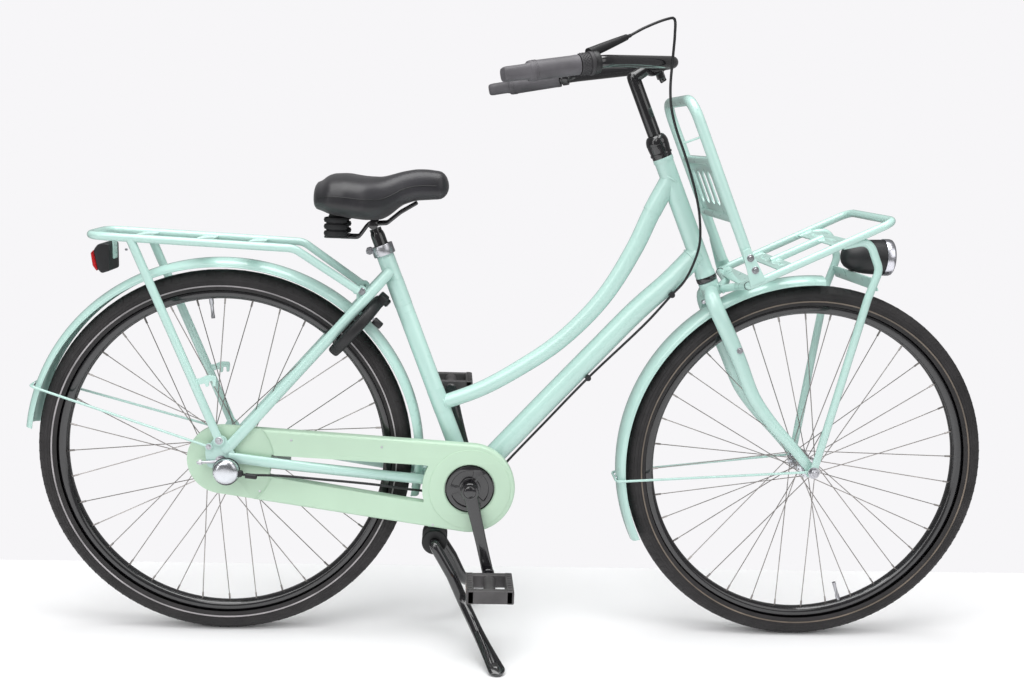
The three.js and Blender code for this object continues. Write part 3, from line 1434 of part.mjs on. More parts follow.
const bellSpace = new THREE.Group();
bellSpace.position.copy(onGrip(bellAlong, 1));
bellSpace.rotation.y = headTilt;
steering.add(bellSpace);
const bellLever = new THREE.Group();
bellLever.position.set(0, 0, bellRise - bellLeverThickness - seatGap);
bellSpace.add(bellLever);

function bellShape() {
  const inward = onGrip(bellBandHalf, 1).sub(onGrip(0, 1)).applyAxisAngle(v(0, 1, 0), -headTilt);
  const reach = inward.clone().multiplyScalar(2);
  const band = bar(inward.clone().negate(), inward, bellBandRadius, 10);
  const post = bar(v(0, 0, barRadius + overrun), v(0, 0, bellRise + overrun), bellBandHalf, 8);
  const dome = spun([[0, 0], [bellRadius, 0], [bellRadius, bellHeight * 0.3], [bellRadius * 0.8, bellHeight * 0.8],
    [bellRadius * 0.3, bellHeight], [0, bellHeight]], 12).rotateX(Math.PI / 2).translate(0, 0, bellRise);
  return cut(join(band, post, dome), barHole(reach.clone().negate(), reach, barRadius + seatGap));
}

function bellLeverShape() {
  const ring = bar(v(0, 0, 0), v(0, 0, bellLeverThickness), bellLeverWidth, 12);
  const tongue = box(-bellRadius - bellLeverLength / 2, 0, -bellLeverWidth / 2, bellLeverWidth / 2, 0, bellLeverThickness);
  return cut(join(ring, tongue), barHole(v(0, 0, -overrun), v(0, 0, bellLeverThickness + overrun), bellBandHalf, 12));
}

const twist = new THREE.Group();
steering.add(twist);

piece(steering, 'headset_cap', around([
  [steererRadius + seatGap, cupUpperTop + seatGap], [capRadius, cupUpperTop + seatGap],
  [capShoulderRadius, capTop - overrun * 2], [capTopRadius, capTop], [steererRadius + seatGap, capTop],
].map(([r, z]) => [r === steererRadius + seatGap ? r * circumscribe(12) : r, z])), black());
piece(steering, 'fork', forkShape(), mint());
piece(steering, 'stem', stemShape(), gloss());
piece(steering, 'handlebar', handlebarShape(), gloss());
piece(steering, 'right_grip', gripShape(-1, gripStop), greyGrip());
piece(steering, 'left_grip', gripShape(1, leftGripStop), greyGrip());
piece(twist, 'shifter_twist', twistShape(), greyGrip());
piece(steering, 'shifter_housing', housingShape(), black());
piece(bellSpace, 'bell', bellShape(), black());
piece(bellLever, 'bell_lever', bellLeverShape(), black());

// Front wheel, axle and mudguard

const frontWheel = new THREE.Group();
frontWheel.position.set(forkOffset, 0, -forkLength);
frontWheel.rotation.y = headTilt;
steering.add(frontWheel);
addWheel(frontWheel, 'front', hubs.front, frontValveAngle);

const frontSpace = new THREE.Group();
frontSpace.position.copy(frontWheel.position);
frontSpace.rotation.y = headTilt;
steering.add(frontSpace);

const frontAxleReach = 82;
const frontNutFrom = 73;
const legEyeInner = 68;
const legEyeThickness = 4;
const legEyeRadius = 11;

function frontAxleShape() {
  const lock = (side) => disc(0, 0, locknutRadius, side * (hubs.front.end + seatGap),
    side * (forkPlateInner - seatGap), 8);
  const nut = (side) => disc(0, 0, rearNutRadius, side * frontNutFrom, side * (frontNutFrom + nutThickness), 6);
  return join(disc(0, 0, hubs.front.axle, -frontAxleReach, frontAxleReach, 8), lock(1), lock(-1), nut(1), nut(-1));
}

piece(frontSpace, 'front_axle', frontAxleShape(), steel());
piece(frontSpace, 'front_mudguard', toSolid(guardShape(0, frontGuardRadius, frontGuardFrom, frontGuardTo))
  .translate([0, 0, -tyreRadius]), mint());
piece(frontSpace, 'front_mudguard_stay', toSolid(guardStay(0, frontGuardRadius, frontStayGuardAngle,
  (side) => v(0, side * (frontEyeInner + guardStayRadius), tyreRadius),
  discHole(0, tyreRadius, hubs.front.axle, -frontAxleReach, frontAxleReach, 8))).translate([0, 0, -tyreRadius]), mint());

// Front carrier

const deckRadius = 7.5;
const deckHalf = 125;
const deckRear = 50;
const deckFront = 338;
const deckRearZ = -17;
const deckFrontZ = -5;
const deckBend = 30;
const deckRearBend = 12;
const deckRootX = 20;
const deckRootHalf = 13;
const deckRootZ = -26;
const deckKneeX = 42;
const deckKneeHalf = 44;
const rootPlateThickness = 4;
const rootPlateHalf = 22;
const deckPlateWidth = 28;
const deckPlateThickness = 3;
const deckPlateShares = [0.02, 0.27, 0.65];
const midRailShares = [0.27, 0.65];
const legRadius = 7.5;
const legHalfTop = 118;
const legFlatShares = [0.87, 0.935];
const legTopX = 236;
const legTopDrop = 4;
const legArchX = 284;
const legArchZ = -22;
const legKneeZ = -80;
const legStraightX = 246;
const legStraightZ = -124;
const legBend = 26;
const strapX = 267.5;
const strapZ = -104;
const strapHeight = 25;
const strapThickness = 3;
const gussetThickness = 4;
const gussetX = 63;
const gussetHalf = 15;
const gussetTop = 51;

const deckZ = (share) => mix(deckRearZ, deckFrontZ, share);
const deckX = (share) => mix(deckRear, deckFront, share);

function deckPlate(share) {
  const slope = Math.atan2(deckFrontZ - deckRearZ, deckFront - deckRear);
  return new THREE.BoxGeometry(deckPlateWidth, deckHalf * 2, deckPlateThickness).rotateY(-slope)
    .translate(deckX(share), 0, deckZ(share));
}

function carrierLeg(side) {
  const footY = side * (legEyeInner + legEyeThickness / 2);
  const topY = side * legHalfTop;
  const eye = v(forkOffset, footY, -forkLength);
  const knee = v(legStraightX, 0, legStraightZ);
  knee.y = topY;
  const { stations } = bent([
    v(legTopX, topY, deckZ((legTopX - deckRear) / (deckFront - deckRear)) - legTopDrop),
    v(legArchX, topY, legArchZ), v(legArchX, topY, legKneeZ), knee, eye,
  ], legBend, 2);
  stations.splice(-1, 0, ...legFlatShares.map((share) => knee.clone().lerp(eye, share)));
  const path = new StationPath(stations);
  const leg = loft(path, railFacets, (share) => [
    share * path.steps > path.steps - 2.5 ? legEyeThickness / 2 : legRadius, legRadius]);
  return join(leg, disc(eye.x, eye.z, legEyeRadius, footY - legEyeThickness / 2, footY + legEyeThickness / 2, 12));
}

function gusset(side) {
  const gussetInner = deckHalf + panelRadius / circumscribe(tubeFacets) + seatGap;
  const outer = side * (gussetInner + gussetThickness);
  const plateSolid = plate([p2(gussetX - gussetHalf, deckRearZ), p2(gussetX + gussetHalf, deckRearZ),
    p2(gussetX + gussetHalf / 2, gussetTop), p2(gussetX - gussetHalf / 2, gussetTop)], side * gussetInner, outer);
  const shelf = box(gussetX - gussetHalf, gussetX + gussetHalf, side < 0 ? outer : deckHalf, side < 0 ? -deckHalf : outer,
    deckRearZ - gussetThickness / 2, deckRearZ + gussetThickness / 2);
  return join(plateSolid, shelf);
}

function carrierShape() {
  const root = (side) => v(deckRootX, side * deckRootHalf, deckRootZ);
  const knee = (side) => v(deckKneeX, side * deckKneeHalf, deckRootZ);
  const rear = (side) => v(deckRear, side * deckHalf, deckRearZ);
  const front = (side) => v(deckFront, side * deckHalf, deckFrontZ);
  const bends = [deckRearBend, deckRearBend, deckBend, deckBend, deckRearBend, deckRearBend];
  const rails = tube(bent([root(-1), knee(-1), rear(-1), front(-1), front(1), rear(1), knee(1), root(1)], bends),
    deckRadius, railFacets);
  const rootPlate = box(crownHalf + seatGap, crownHalf + seatGap + rootPlateThickness, -rootPlateHalf, rootPlateHalf,
    crownBottom, crownTop - overrun - seatGap * 2);
  const [midFrom, midTo] = midRailShares;
  const midRail = bar(v(deckX(midFrom), 0, deckZ(midFrom)), v(deckX(midTo), 0, deckZ(midTo)), deckRadius, railFacets);
  const strap = box(strapX, strapX + strapThickness, -legHalfTop, legHalfTop, strapZ - strapHeight / 2,
    strapZ + strapHeight / 2);
  const solid = join(rails, rootPlate, midRail, ...deckPlateShares.map(deckPlate), carrierLeg(1), carrierLeg(-1),
    strap, gusset(1), gusset(-1));
  return cut(solid, discHole(forkOffset, -forkLength, hubs.front.axle + seatGap, -frontAxleReach, frontAxleReach, 8),
    box(-crownHalf, crownHalf + seatGap, -crownHalf * 2, crownHalf * 2, crownBottom * 2, crownTop + overrun));
}

const panelX = 64;
const panelRadius = 10;
const panelTop = 335;
const panelBend = 45;
const panelFoot = 1;
const panelUpperBar = 219;
const panelLowerBar = 108;
const panelBarRadius = 8;
const panelThickness = 3;
const panelSlots = 5;
const panelSlotWidth = 26;
const panelSlotMargin = 22;
const panelHookRadius = 2;
const panelHookZ = 268;
const panelHookReach = 36;

function panelSlot(middle) {
  const low = panelLowerBar + panelSlotMargin;
  const high = panelUpperBar - panelSlotMargin;
  return new THREE.CylinderGeometry(panelSlotWidth / 2, panelSlotWidth / 2, panelRadius * 4, 8)
    .rotateZ(Math.PI / 2).scale(1, 1, (high - low) / panelSlotWidth).translate(panelX, middle, (low + high) / 2);
}

function panelShape() {
  const foot = (side) => v(panelX, side * deckHalf, panelFoot);
  const top = (side) => v(panelX, side * deckHalf, panelTop);
  const hoop = tube(bent([foot(-1), top(-1), top(1), foot(1)], panelBend, 3), panelRadius, tubeFacets);
  const cross = (z) => bar(v(panelX, -deckHalf, z), v(panelX, deckHalf, z), panelBarRadius, 6);
  const sheet = box(panelX - panelThickness / 2, panelX + panelThickness / 2, -deckHalf, deckHalf, panelLowerBar, panelUpperBar);
  const slots = [];
  for (let i = 0; i < panelSlots; i += 1) {
    const share = (i + 0.5) / panelSlots;
    slots.push(panelSlot(mix(-deckHalf + panelRadius, deckHalf - panelRadius, share)));
  }
  const hook = bar(v(panelX, -deckHalf, panelHookZ), v(panelX - panelHookReach, -deckHalf + panelRadius, panelHookZ),
    panelHookRadius, wireFacets);
  return join(hoop, cross(panelUpperBar), cross(panelLowerBar), cut(sheet, ...slots), hook);
}

piece(steering, 'front_carrier', carrierShape(), mint());
piece(steering, 'carrier_back_panel', panelShape(), mint());

// Headlight, level with the ground

const lightX = 304.3;
const lightZ = -75.1;
const lightRadius = 34;
const lightLength = 79;
const lightWall = 1.6;
const lightRingLength = 17;
const lightRingGrow = 1.5;
const lensThickness = 4;
const bellOuterShares = [[0, 0], [0.42, 0.03], [0.71, 0.17], [0.92, 0.44], [0.985, 0.75], [1, 1]];
const reflectorShares = [[0, 0.36], [0.45, 0.44], [0.78, 0.72], [0.943, 0.99]];
const studHalf = 8;
const studBackShare = 0.28;
const studDrop = 28.4;
const lightBack = 49;

const lightSpace = new THREE.Group();
lightSpace.position.set(lightX, 0, lightZ);
lightSpace.rotation.y = headTilt;
steering.add(lightSpace);

const along = (geometry) => geometry.rotateZ(-Math.PI / 2);

function lightBellShape() {
  const outer = bellOuterShares.map(([r, x]) => [r * lightRadius, x * lightLength - lightBack]);
  const inner = bellOuterShares.map(([r, x]) => [
    Math.max(0, r * lightRadius - lightWall), x * lightLength - lightBack + (r < 1 ? lightWall : 0)]).reverse();
  const shell = toSolid(along(spun([...outer, ...inner], 12)));
  const stud = box(studBackShare * lightLength - lightBack - studHalf / 2, studBackShare * lightLength - lightBack + studHalf / 2,
    -studHalf, studHalf, -studDrop, -lightRadius * 0.74);
  return join(shell, stud);
}

function lightRingShape() {
  const from = lightLength - lightBack + seatGap;
  const to = from + lightRingLength;
  const outer = lightRadius + lightRingGrow;
  const inner = lightRadius - lightWall;
  return along(turned([[inner, from], [outer, from], [outer, to - overrun], [outer - overrun, to],
    [inner - overrun, to], [inner - overrun, to - overrun], [inner, to - overrun]], 12));
}

function lensShape() {
  const to = lightLength - lightBack + lightRingLength - overrun;
  const radius = lightRadius - lightWall - seatGap * 5;
  return along(spun([[0, to - lensThickness], [radius, to - lensThickness], [radius, to - seatGap], [0, to - seatGap]], 12));
}

function reflectorDishShape() {
  const face = reflectorShares.map(([r, x]) => [r * lightRadius, x * lightLength - lightBack]);
  const back = face.map(([r, x]) => [r - lightWall / 4, x - lightWall * 2]).slice(1).reverse();
  return along(spun([...face, ...back, [0, face[0][1] - lightWall * 2]], 12));
}

piece(lightSpace, 'headlight_bell', lightBellShape(), black());
piece(lightSpace, 'headlight_ring', lightRingShape(), chrome());
piece(lightSpace, 'headlight_lens', lensShape(), paint(0xe8eef0, 0.05));
piece(lightSpace, 'headlight_reflector', reflectorDishShape(), chrome());

// Gear cable, along the way it was led past the stem, down the frame and back to the hub

piece(bike, 'gear_cable', cableShape(cableRadius), black());

// The origin goes under the middle of the whole bike
const whole = new THREE.Group();
whole.add(bike);
const extent = new THREE.Box3().setFromObject(whole, true);
bike.position.set(-(extent.min.x + extent.max.x) / 2, -(extent.min.y + extent.max.y) / 2, -extent.min.z);

export default whole;
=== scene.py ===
"""Step-through city bicycle, dressed for a studio picture.

Sizes are in millimetres in the bicycle's own side view: X ahead of the rear axle, Y to the rider's left,
Z above the ground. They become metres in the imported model's frame when a mesh is made.
"""

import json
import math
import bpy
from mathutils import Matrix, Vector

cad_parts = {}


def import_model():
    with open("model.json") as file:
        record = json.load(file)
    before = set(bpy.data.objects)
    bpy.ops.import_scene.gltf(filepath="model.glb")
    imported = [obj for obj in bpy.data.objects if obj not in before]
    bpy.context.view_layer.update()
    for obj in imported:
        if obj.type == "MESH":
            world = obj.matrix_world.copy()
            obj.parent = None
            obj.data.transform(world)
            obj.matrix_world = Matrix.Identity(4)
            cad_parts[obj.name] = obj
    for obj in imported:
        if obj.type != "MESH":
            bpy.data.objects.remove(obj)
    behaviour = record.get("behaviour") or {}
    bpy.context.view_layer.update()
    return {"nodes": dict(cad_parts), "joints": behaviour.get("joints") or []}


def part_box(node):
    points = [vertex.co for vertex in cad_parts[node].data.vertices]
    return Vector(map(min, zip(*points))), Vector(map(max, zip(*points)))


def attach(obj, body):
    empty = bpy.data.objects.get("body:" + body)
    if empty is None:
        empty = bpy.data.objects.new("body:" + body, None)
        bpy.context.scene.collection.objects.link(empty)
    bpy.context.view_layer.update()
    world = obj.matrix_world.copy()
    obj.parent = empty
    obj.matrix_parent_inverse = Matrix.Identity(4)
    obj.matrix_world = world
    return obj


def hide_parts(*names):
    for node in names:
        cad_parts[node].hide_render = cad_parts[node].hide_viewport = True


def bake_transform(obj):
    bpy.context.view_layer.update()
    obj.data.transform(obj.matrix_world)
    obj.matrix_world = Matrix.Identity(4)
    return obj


bl_info = {
    "name": "City bicycle",
    "version": (1, 0, 0),
    "blender": (4, 5, 0),
    "location": "3D View > Sidebar > Bicycle",
    "description": "Builds the pieces, finishes and studio of a step-through city bicycle",
    "category": "Object",
}

import bmesh
import bpy
import numpy as np
from bpy.props import FloatProperty, FloatVectorProperty, IntProperty, PointerProperty
from mathutils import Matrix, Vector

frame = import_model()
MM = 0.001
TURN = 2 * math.pi
REAR_LOW, REAR_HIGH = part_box("rear_tyre")
FRONT_LOW, FRONT_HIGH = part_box("front_tyre")
REAR_X = (REAR_LOW.x + REAR_HIGH.x) / 2

# Main lines of the bicycle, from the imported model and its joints
JOINTS = {joint["name"]: joint for joint in frame["joints"]}


def to_mm(point):
    """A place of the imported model, in the bicycle's side view"""
    return Vector(((point[0] - REAR_X) / MM, point[1] / MM, point[2] / MM))


def to_row(x, y, z):
    """A place of the side view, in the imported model's metres"""
    return Vector((x * MM + REAR_X, y * MM, z * MM))


WHEELBASE = ((FRONT_LOW.x + FRONT_HIGH.x) / 2 - REAR_X) / MM
HUB_Z = (REAR_LOW.z + REAR_HIGH.z) / 2 / MM
CROWN = to_mm(JOINTS["steering"]["pos_m"])
HEAD_AXIS = Vector(JOINTS["steering"]["axis"])
HEAD_TILT = math.atan2(-HEAD_AXIS.x, HEAD_AXIS.z)
BRACKET = to_mm(JOINTS["crankset"]["pos_m"])
SEAT_AXIS = Vector(JOINTS["seat_height"]["axis"])
SEAT_TOP = Vector((294, 0, 757))
SEAT_TUBE_LENGTH = (SEAT_TOP - BRACKET).length
PEDAL_RIGHT = to_mm(JOINTS["pedal_right"]["pos_m"])
PEDAL_LEFT = to_mm(JOINTS["pedal_left"]["pos_m"])
CRANK_ANGLE = math.atan2(PEDAL_RIGHT.z - BRACKET.z, PEDAL_RIGHT.x - BRACKET.x)
LOCK_AT = to_mm(JOINTS["shackle"]["pos_m"])
LOCK_AXIS = Vector(JOINTS["shackle"]["axis"])
STAND_AT = to_mm(JOINTS["stand"]["pos_m"])

STEER = Matrix.Translation(CROWN) @ Matrix.Rotation(-HEAD_TILT, 4, "Y")
FORK_LENGTH = 417.9
FORK_OFFSET = 54.2
REAR_HUB = Vector((0, 0, HUB_Z))
FRONT_HUB = Vector((WHEELBASE, 0, HUB_Z))
ORIGIN = (0, 0, 0)
AHEAD, ACROSS, UPWARD = (1, 0, 0), (0, 1, 0), (0, 0, 1)
SIDES = (-1, 1)


class BicycleSizes(bpy.types.PropertyGroup):
    """Sizes in millimetres that a user would change"""
    tyre_width: FloatProperty(name="Tyre width", description="Width of both tyres, mm", default=47, min=30,
                              max=60)
    spokes: IntProperty(name="Spokes", description="Spokes in each wheel", default=36, min=20, max=48)
    spoke_gauge: FloatProperty(name="Spoke gauge", description="Thickness of a spoke, mm", default=1.9,
                               min=1, max=3)
    top_tube: FloatProperty(name="Top tube radius", description="Radius at the head tube, mm", default=17.5,
                            min=10, max=25)
    down_tube: FloatProperty(name="Down tube radius", description="Radius of the down tube, mm", default=21,
                             min=12, max=28)
    rack_tube: FloatProperty(name="Rack tube radius", description="Radius of the racks' rails, mm",
                             default=7.5, min=4, max=10)
    tread_blocks: IntProperty(name="Tread blocks", description="Blocks round each shoulder of a tyre",
                              default=132, min=20, max=240)
    grip_dots: IntProperty(name="Grip dots", description="Dots in each row round the shifter ring",
                           default=22, min=8, max=40)


def colour_property(name, words, rgb):
    return FloatVectorProperty(name=name, description=words, subtype="COLOR_GAMMA", size=3, min=0, max=1,
                               default=tuple(value / 255 for value in rgb))


class BicycleColours(bpy.types.PropertyGroup):
    """Colours as they look on a screen"""
    enamel: colour_property("Enamel", "Pale green enamel of the frame", (181, 214, 206))
    case: colour_property("Chaincase", "Moulded chaincase", (183, 210, 187))
    tyre: colour_property("Tyre", "Tyre rubber", (37, 35, 36))
    stripe: colour_property("Front line", "Line round the front tyre", (104, 94, 84))
    pale_stripe: colour_property("Rear line", "Line round the rear tyre", (150, 146, 148))
    black: colour_property("Black lacquer", "Stem, bar, rims and cranks", (20, 19, 22))
    plastic: colour_property("Black plastic", "Moulded small parts", (26, 26, 28))
    grip: colour_property("Grip", "Rubber of the grips", (84, 82, 86))
    saddle: colour_property("Saddle", "Saddle cover", (32, 31, 35))
    amber: colour_property("Reflector", "Pedal reflectors", (226, 128, 30))
    red: colour_property("Tail lens", "Rear light lens", (176, 20, 24))
    floor: colour_property("Floor", "Paper sheet under the bicycle", (248, 248, 249))
    pedal: colour_property("Pedals", "Worn plastic of the pedals", (72, 70, 71))
    wall: colour_property("Backdrop", "Wall behind the bicycle", (247, 246, 248))


# Small geometry


def vec(x, y, z):
    return Vector((x, y, z))


def mix(a, b, share):
    return a + (b - a) * share


def polar(radius, angle):
    return radius * math.cos(angle), radius * math.sin(angle)


def swung(radius, angle, across=0):
    """A place on a circle in the side view"""
    x, z = polar(radius, angle)
    return vec(x, across, z)


def both_sides(half):
    """A lathe's profile from one end to the middle, and back from there"""
    return half + [(radius, -along) for radius, along in half[::-1]]


def spread(centre, half):
    return centre - half, centre + half


def on_head(along):
    return CROWN + HEAD_AXIS * along


def on_seat(along):
    return BRACKET + SEAT_AXIS * along


def beside(start, end, shares):
    """Points along a chord, with shares of its length along it and across it"""
    chord = end - start
    across = vec(-chord.z, 0, chord.x)
    return [start + chord * along + across * above for along, above in shares]


def curved(points, steps):
    """An even centripetal curve through points"""
    pts = [np.array(point, float) for point in points]
    pts = [2 * pts[0] - pts[1], *pts, 2 * pts[-1] - pts[-2]]
    found = []
    for i in range(1, len(pts) - 2):
        stations = pts[i - 1:i + 3]
        knots = [0.0]
        for a, b in zip(stations, stations[1:]):
            knots.append(knots[-1] + max(np.linalg.norm(b - a), 1e-6) ** 0.5)
        for t in np.linspace(knots[1], knots[2], 16, endpoint=False):
            row = stations
            for reach in (1, 2):
                row = [drawn(row[k], row[k + 1], knots[k], knots[k + reach], t) for k in range(len(row) - 1)]
            found.append(drawn(row[0], row[1], knots[1], knots[2], t))
    found.append(pts[-2])
    found = np.array(found)
    lengths = np.r_[0, np.cumsum(np.linalg.norm(np.diff(found, axis=0), axis=1))]
    wanted = np.linspace(0, lengths[-1], steps + 1)
    return [Vector([np.interp(w, lengths, found[:, k]) for k in range(3)]) for w in wanted]


def drawn(a, b, start, end, t):
    """The place at t on the line that is at a at its start and at b at its end"""
    return (end - t) / (end - start) * a + (t - start) / (end - start) * b


def bent(points, bends, steps=8):
    """Straight runs joined by round bends"""
    stations = [points[0]]
    for i in range(1, len(points) - 1):
        corner = points[i]
        back, ahead = points[i - 1] - corner, points[i + 1] - corner
        half = back.angle(ahead) / 2
        radius = bends[i - 1] if isinstance(bends, (list, tuple)) else bends
        reach = min(radius / math.tan(half), back.length / 2, ahead.length / 2)
        start, end = corner + back.normalized() * reach, corner + ahead.normalized() * reach
        for k in range(steps + 1):
            t = k / steps
            stations.append((1 - t) ** 2 * start + 2 * t * (1 - t) * corner + t * t * end)
    stations.append(points[-1])
    clean = [stations[0]]
    for station in stations[1:]:
        if (station - clean[-1]).length > 0.05:
            clean.append(station)
    return clean


def heading(path, k):
    """The way that a path runs at one of its points"""
    return (path[min(k + 1, len(path) - 1)] - path[max(k - 1, 0)]).normalized()


def domed(ring, centre, push):
    """Rings that draw an end in to a round tip"""
    made = []
    for angle in (30, 60, 80):
        shrink, reach = polar(1, math.radians(angle))
        made.append([centre + push * reach + (point - centre) * shrink for point in ring])
    return made


def ring_of(count, start=0.0):
    return [polar(1, start + TURN * i / count) for i in range(count)]


ON_AXIS = 1e-6


class Form:
    """Points and faces that grow into one mesh, each closed solid with its own finish"""

    def __init__(self, into=None):
        self.points, self.faces, self.finishes = [], [], []
        self.into = into or Matrix.Identity(4)

    def add(self, points, faces, finish=0):
        first = len(self.points)
        self.points += [self.into @ Vector(point) for point in points]
        self.faces += [[first + i for i in face] for face in faces]
        self.finishes += [finish] * len(faces)
        return self

    def loop(self, rings, finish=0):
        """Skins rings of as many points each and closes both ends"""
        count = len(rings[0])
        points = [point for ring in rings for point in ring]
        faces = []
        for r in range(len(rings) - 1):
            for i in range(count):
                j = (i + 1) % count
                a, b = r * count, (r + 1) * count
                faces.append((a + i, a + j, b + j, b + i))
        faces.append(tuple(range(count))[::-1])
        faces.append(tuple((len(rings) - 1) * count + i for i in range(count)))
        return self.add(points, faces, finish)

    def loft(self, path, halves, sides=20, across=ACROSS, power=1.0):
        """A tube whose half sizes across and in its plane are given for each station"""
        across = Vector(across)
        corners = ring_of(sides, math.pi / sides)
        rings = []
        for k, centre in enumerate(path):
            tangent = heading(path, k)
            side = (across - tangent * across.dot(tangent)).normalized()
            plane = tangent.cross(side)
            a, b = halves(k / (len(path) - 1)) if callable(halves) else halves
            ring = []
            for u, w in corners:
                u, w = (math.copysign(abs(value) ** power, value) for value in (u, w))
                ring.append(centre + side * (u * a) + plane * (w * b))
            rings.append(ring)
        return self.loop(rings)

    def tube(self, path, radius, sides=18, finish=0, round_ends=False):
        """A round tube along any path, carried without twist"""
        tangents = [heading(path, k) for k in range(len(path))]
        side = tangents[0].orthogonal().normalized()
        corners = ring_of(sides)
        rings = []
        radii = [radius(k / (len(path) - 1)) if callable(radius) else radius for k in range(len(path))]
        for k, centre in enumerate(path):
            if k:
                side = tangents[k - 1].rotation_difference(tangents[k]) @ side
                side = (side - tangents[k] * side.dot(tangents[k])).normalized()
            plane = tangents[k].cross(side)
            rings.append([centre + side * (u * radii[k]) + plane * (w * radii[k]) for u, w in corners])
        if round_ends:
            tail = domed(rings[0], path[0], -tangents[0] * radii[0])
            tip = domed(rings[-1], path[-1], tangents[-1] * radii[-1])
            rings = tail[::-1] + rings + tip
        return self.loop(rings, finish)

    def bar(self, start, end, radius, sides=20, finish=0):
        return self.tube([start, end], radius, sides, finish)

    def lathe(self, profile, centre=ORIGIN, sides=48, axis=ACROSS, finish=0, ring=False):
        """Turns (radius, along) points about an axis: closed on the axis, or a closed ring"""
        centre, axis = Vector(centre), Vector(axis).normalized()
        side = Vector(AHEAD) if abs(axis.y) > 0.99 else axis.orthogonal().normalized()
        other = axis.cross(side)
        points, starts = [], []
        for radius, along in profile:
            starts.append(len(points))
            if radius < ON_AXIS:
                points.append(centre + axis * along)
            else:
                points += [centre + axis * along + side * (radius * u) + other * (radius * w)
                           for u, w in ring_of(sides)]
        faces = []
        pairs = list(zip(range(len(profile)), range(1, len(profile))))
        if ring:
            pairs.append((len(profile) - 1, 0))
        for a, b in pairs:
            flat_a, flat_b = profile[a][0] < ON_AXIS, profile[b][0] < ON_AXIS
            if flat_a and flat_b:
                continue
            for i in range(sides):
                j = (i + 1) % sides
                if flat_a:
                    faces.append((starts[a], starts[b] + j, starts[b] + i))
                elif flat_b:
                    faces.append((starts[a] + i, starts[a] + j, starts[b]))
                else:
                    faces.append((starts[a] + i, starts[a] + j, starts[b] + j, starts[b] + i))
        return self.add(points, faces, finish)

    def hoop(self, profile, centre, sides, axis=ACROSS):
        """Turns a closed profile about an axis that it stays clear of"""
        return self.lathe(profile, centre, sides, axis, ring=True)

    def pair(self, profile, centre, sides):
        """The same hoop on both sides of the bicycle, its places along Y counted from the middle"""
        for side in SIDES:
            self.hoop([(radius, side * along) for radius, along in profile], centre, sides)
        return self

    def slab(self, outlines, low, high, bevel=0.6, finish=0, plane="XZ", steps=2):
        """A flat outline with any holes, made solid between two places across it, with rounded edges"""
        curve = bpy.data.curves.new("slab", "CURVE")
        curve.dimensions = "2D"
        curve.fill_mode = "BOTH"
        curve.extrude = max((high - low) / 2 - bevel, 0.01)
        curve.bevel_depth = bevel
        curve.bevel_resolution = steps
        curve.offset = -bevel
        for outline in outlines:
            spline = curve.splines.new("POLY")
            spline.points.add(len(outline) - 1)
            for place, (x, z) in zip(spline.points, outline):
                place.co = (x, z, 0, 1)
            spline.use_cyclic_u = True
        holder = bpy.data.objects.new("slab", curve)
        mesh = bpy.data.meshes.new_from_object(holder)
        middle = (low + high) / 2
        turns = {"XZ": lambda p: (p.x, middle - p.z, p.y), "XY": lambda p: (p.x, p.y, middle + p.z),
                 "YZ": lambda p: (middle + p.z, p.x, p.y)}
        points = [turns[plane](vertex.co) for vertex in mesh.vertices]
        faces = [list(polygon.vertices) for polygon in mesh.polygons]
        bpy.data.objects.remove(holder)
        bpy.data.meshes.remove(mesh)
        bpy.data.curves.remove(curve)
        return self.add(points, faces, finish)

    def block(self, x, y, z, bevel=1.0, plane="XZ"):
        """A box with rounded edges between pairs of places"""
        spans = {"XZ": (x, z, y), "XY": (x, y, z), "YZ": (y, z, x)}[plane]
        (a0, a1), (b0, b1), (low, high) = spans
        return self.slab([rounded(a0, a1, b0, b1, bevel)], low, high, bevel * 0.7, plane=plane)

    def bolt(self, at, out, radius=4.0, height=3.0, washer=True):
        """A six-sided head on its washer"""
        out = Vector(out).normalized()
        if washer:
            wide = radius * 1.7
            self.lathe([(0, -0.5), (wide, -0.5), (wide, 0.5), (radius * 1.6, 0.9), (0, 0.9)], at, 20, out)
        head = radius * 1.1
        bevelled = (radius * 0.95, height)
        self.lathe([(0, 0), (head, 0), (head, height * 0.8), bevelled, (0, height)], at, 6, out)
        return self


def rounded(a0, a1, b0, b1, radius, steps=4):
    radius = min(radius, (a1 - a0) / 2 - 0.01, (b1 - b0) / 2 - 0.01)
    points = []
    for (cx, cy), start in (((a1 - radius, b1 - radius), 0), ((a0 + radius, b1 - radius), 90),
                            ((a0 + radius, b0 + radius), 180), ((a1 - radius, b0 + radius), 270)):
        for k in range(steps + 1):
            angle = math.radians(start + 90 * k / steps)
            points.append((cx + radius * math.cos(angle), cy + radius * math.sin(angle)))
    return points


def circle_outline(x, z, radius, count=32):
    return [(x + radius * u, z + radius * w) for u, w in ring_of(count)]


def soft_outline(points, radius, steps=4):
    """A closed outline with its corners rounded"""
    made = []
    count = len(points)
    for i in range(count):
        corner = Vector((*points[i], 0))
        back = Vector((*points[i - 1], 0)) - corner
        ahead = Vector((*points[(i + 1) % count], 0)) - corner
        reach = min(radius, back.length * 0.45, ahead.length * 0.45)
        start, end = corner + back.normalized() * reach, corner + ahead.normalized() * reach
        for k in range(steps + 1):
            t = k / steps
            place = (1 - t) ** 2 * start + 2 * t * (1 - t) * corner + t * t * end
            made.append((place.x, place.y))
    return made


def outward(mesh):
    """Turns every face outwards after equal points are merged"""
    work = bmesh.new()
    work.from_mesh(mesh)
    bmesh.ops.remove_doubles(work, verts=work.verts, dist=1e-6)
    bmesh.ops.dissolve_degenerate(work, edges=work.edges, dist=1e-7)
    bmesh.ops.recalc_face_normals(work, faces=work.faces)
    work.to_mesh(mesh)
    work.free()


def listed(names):
    return (names,) if isinstance(names, str) else names


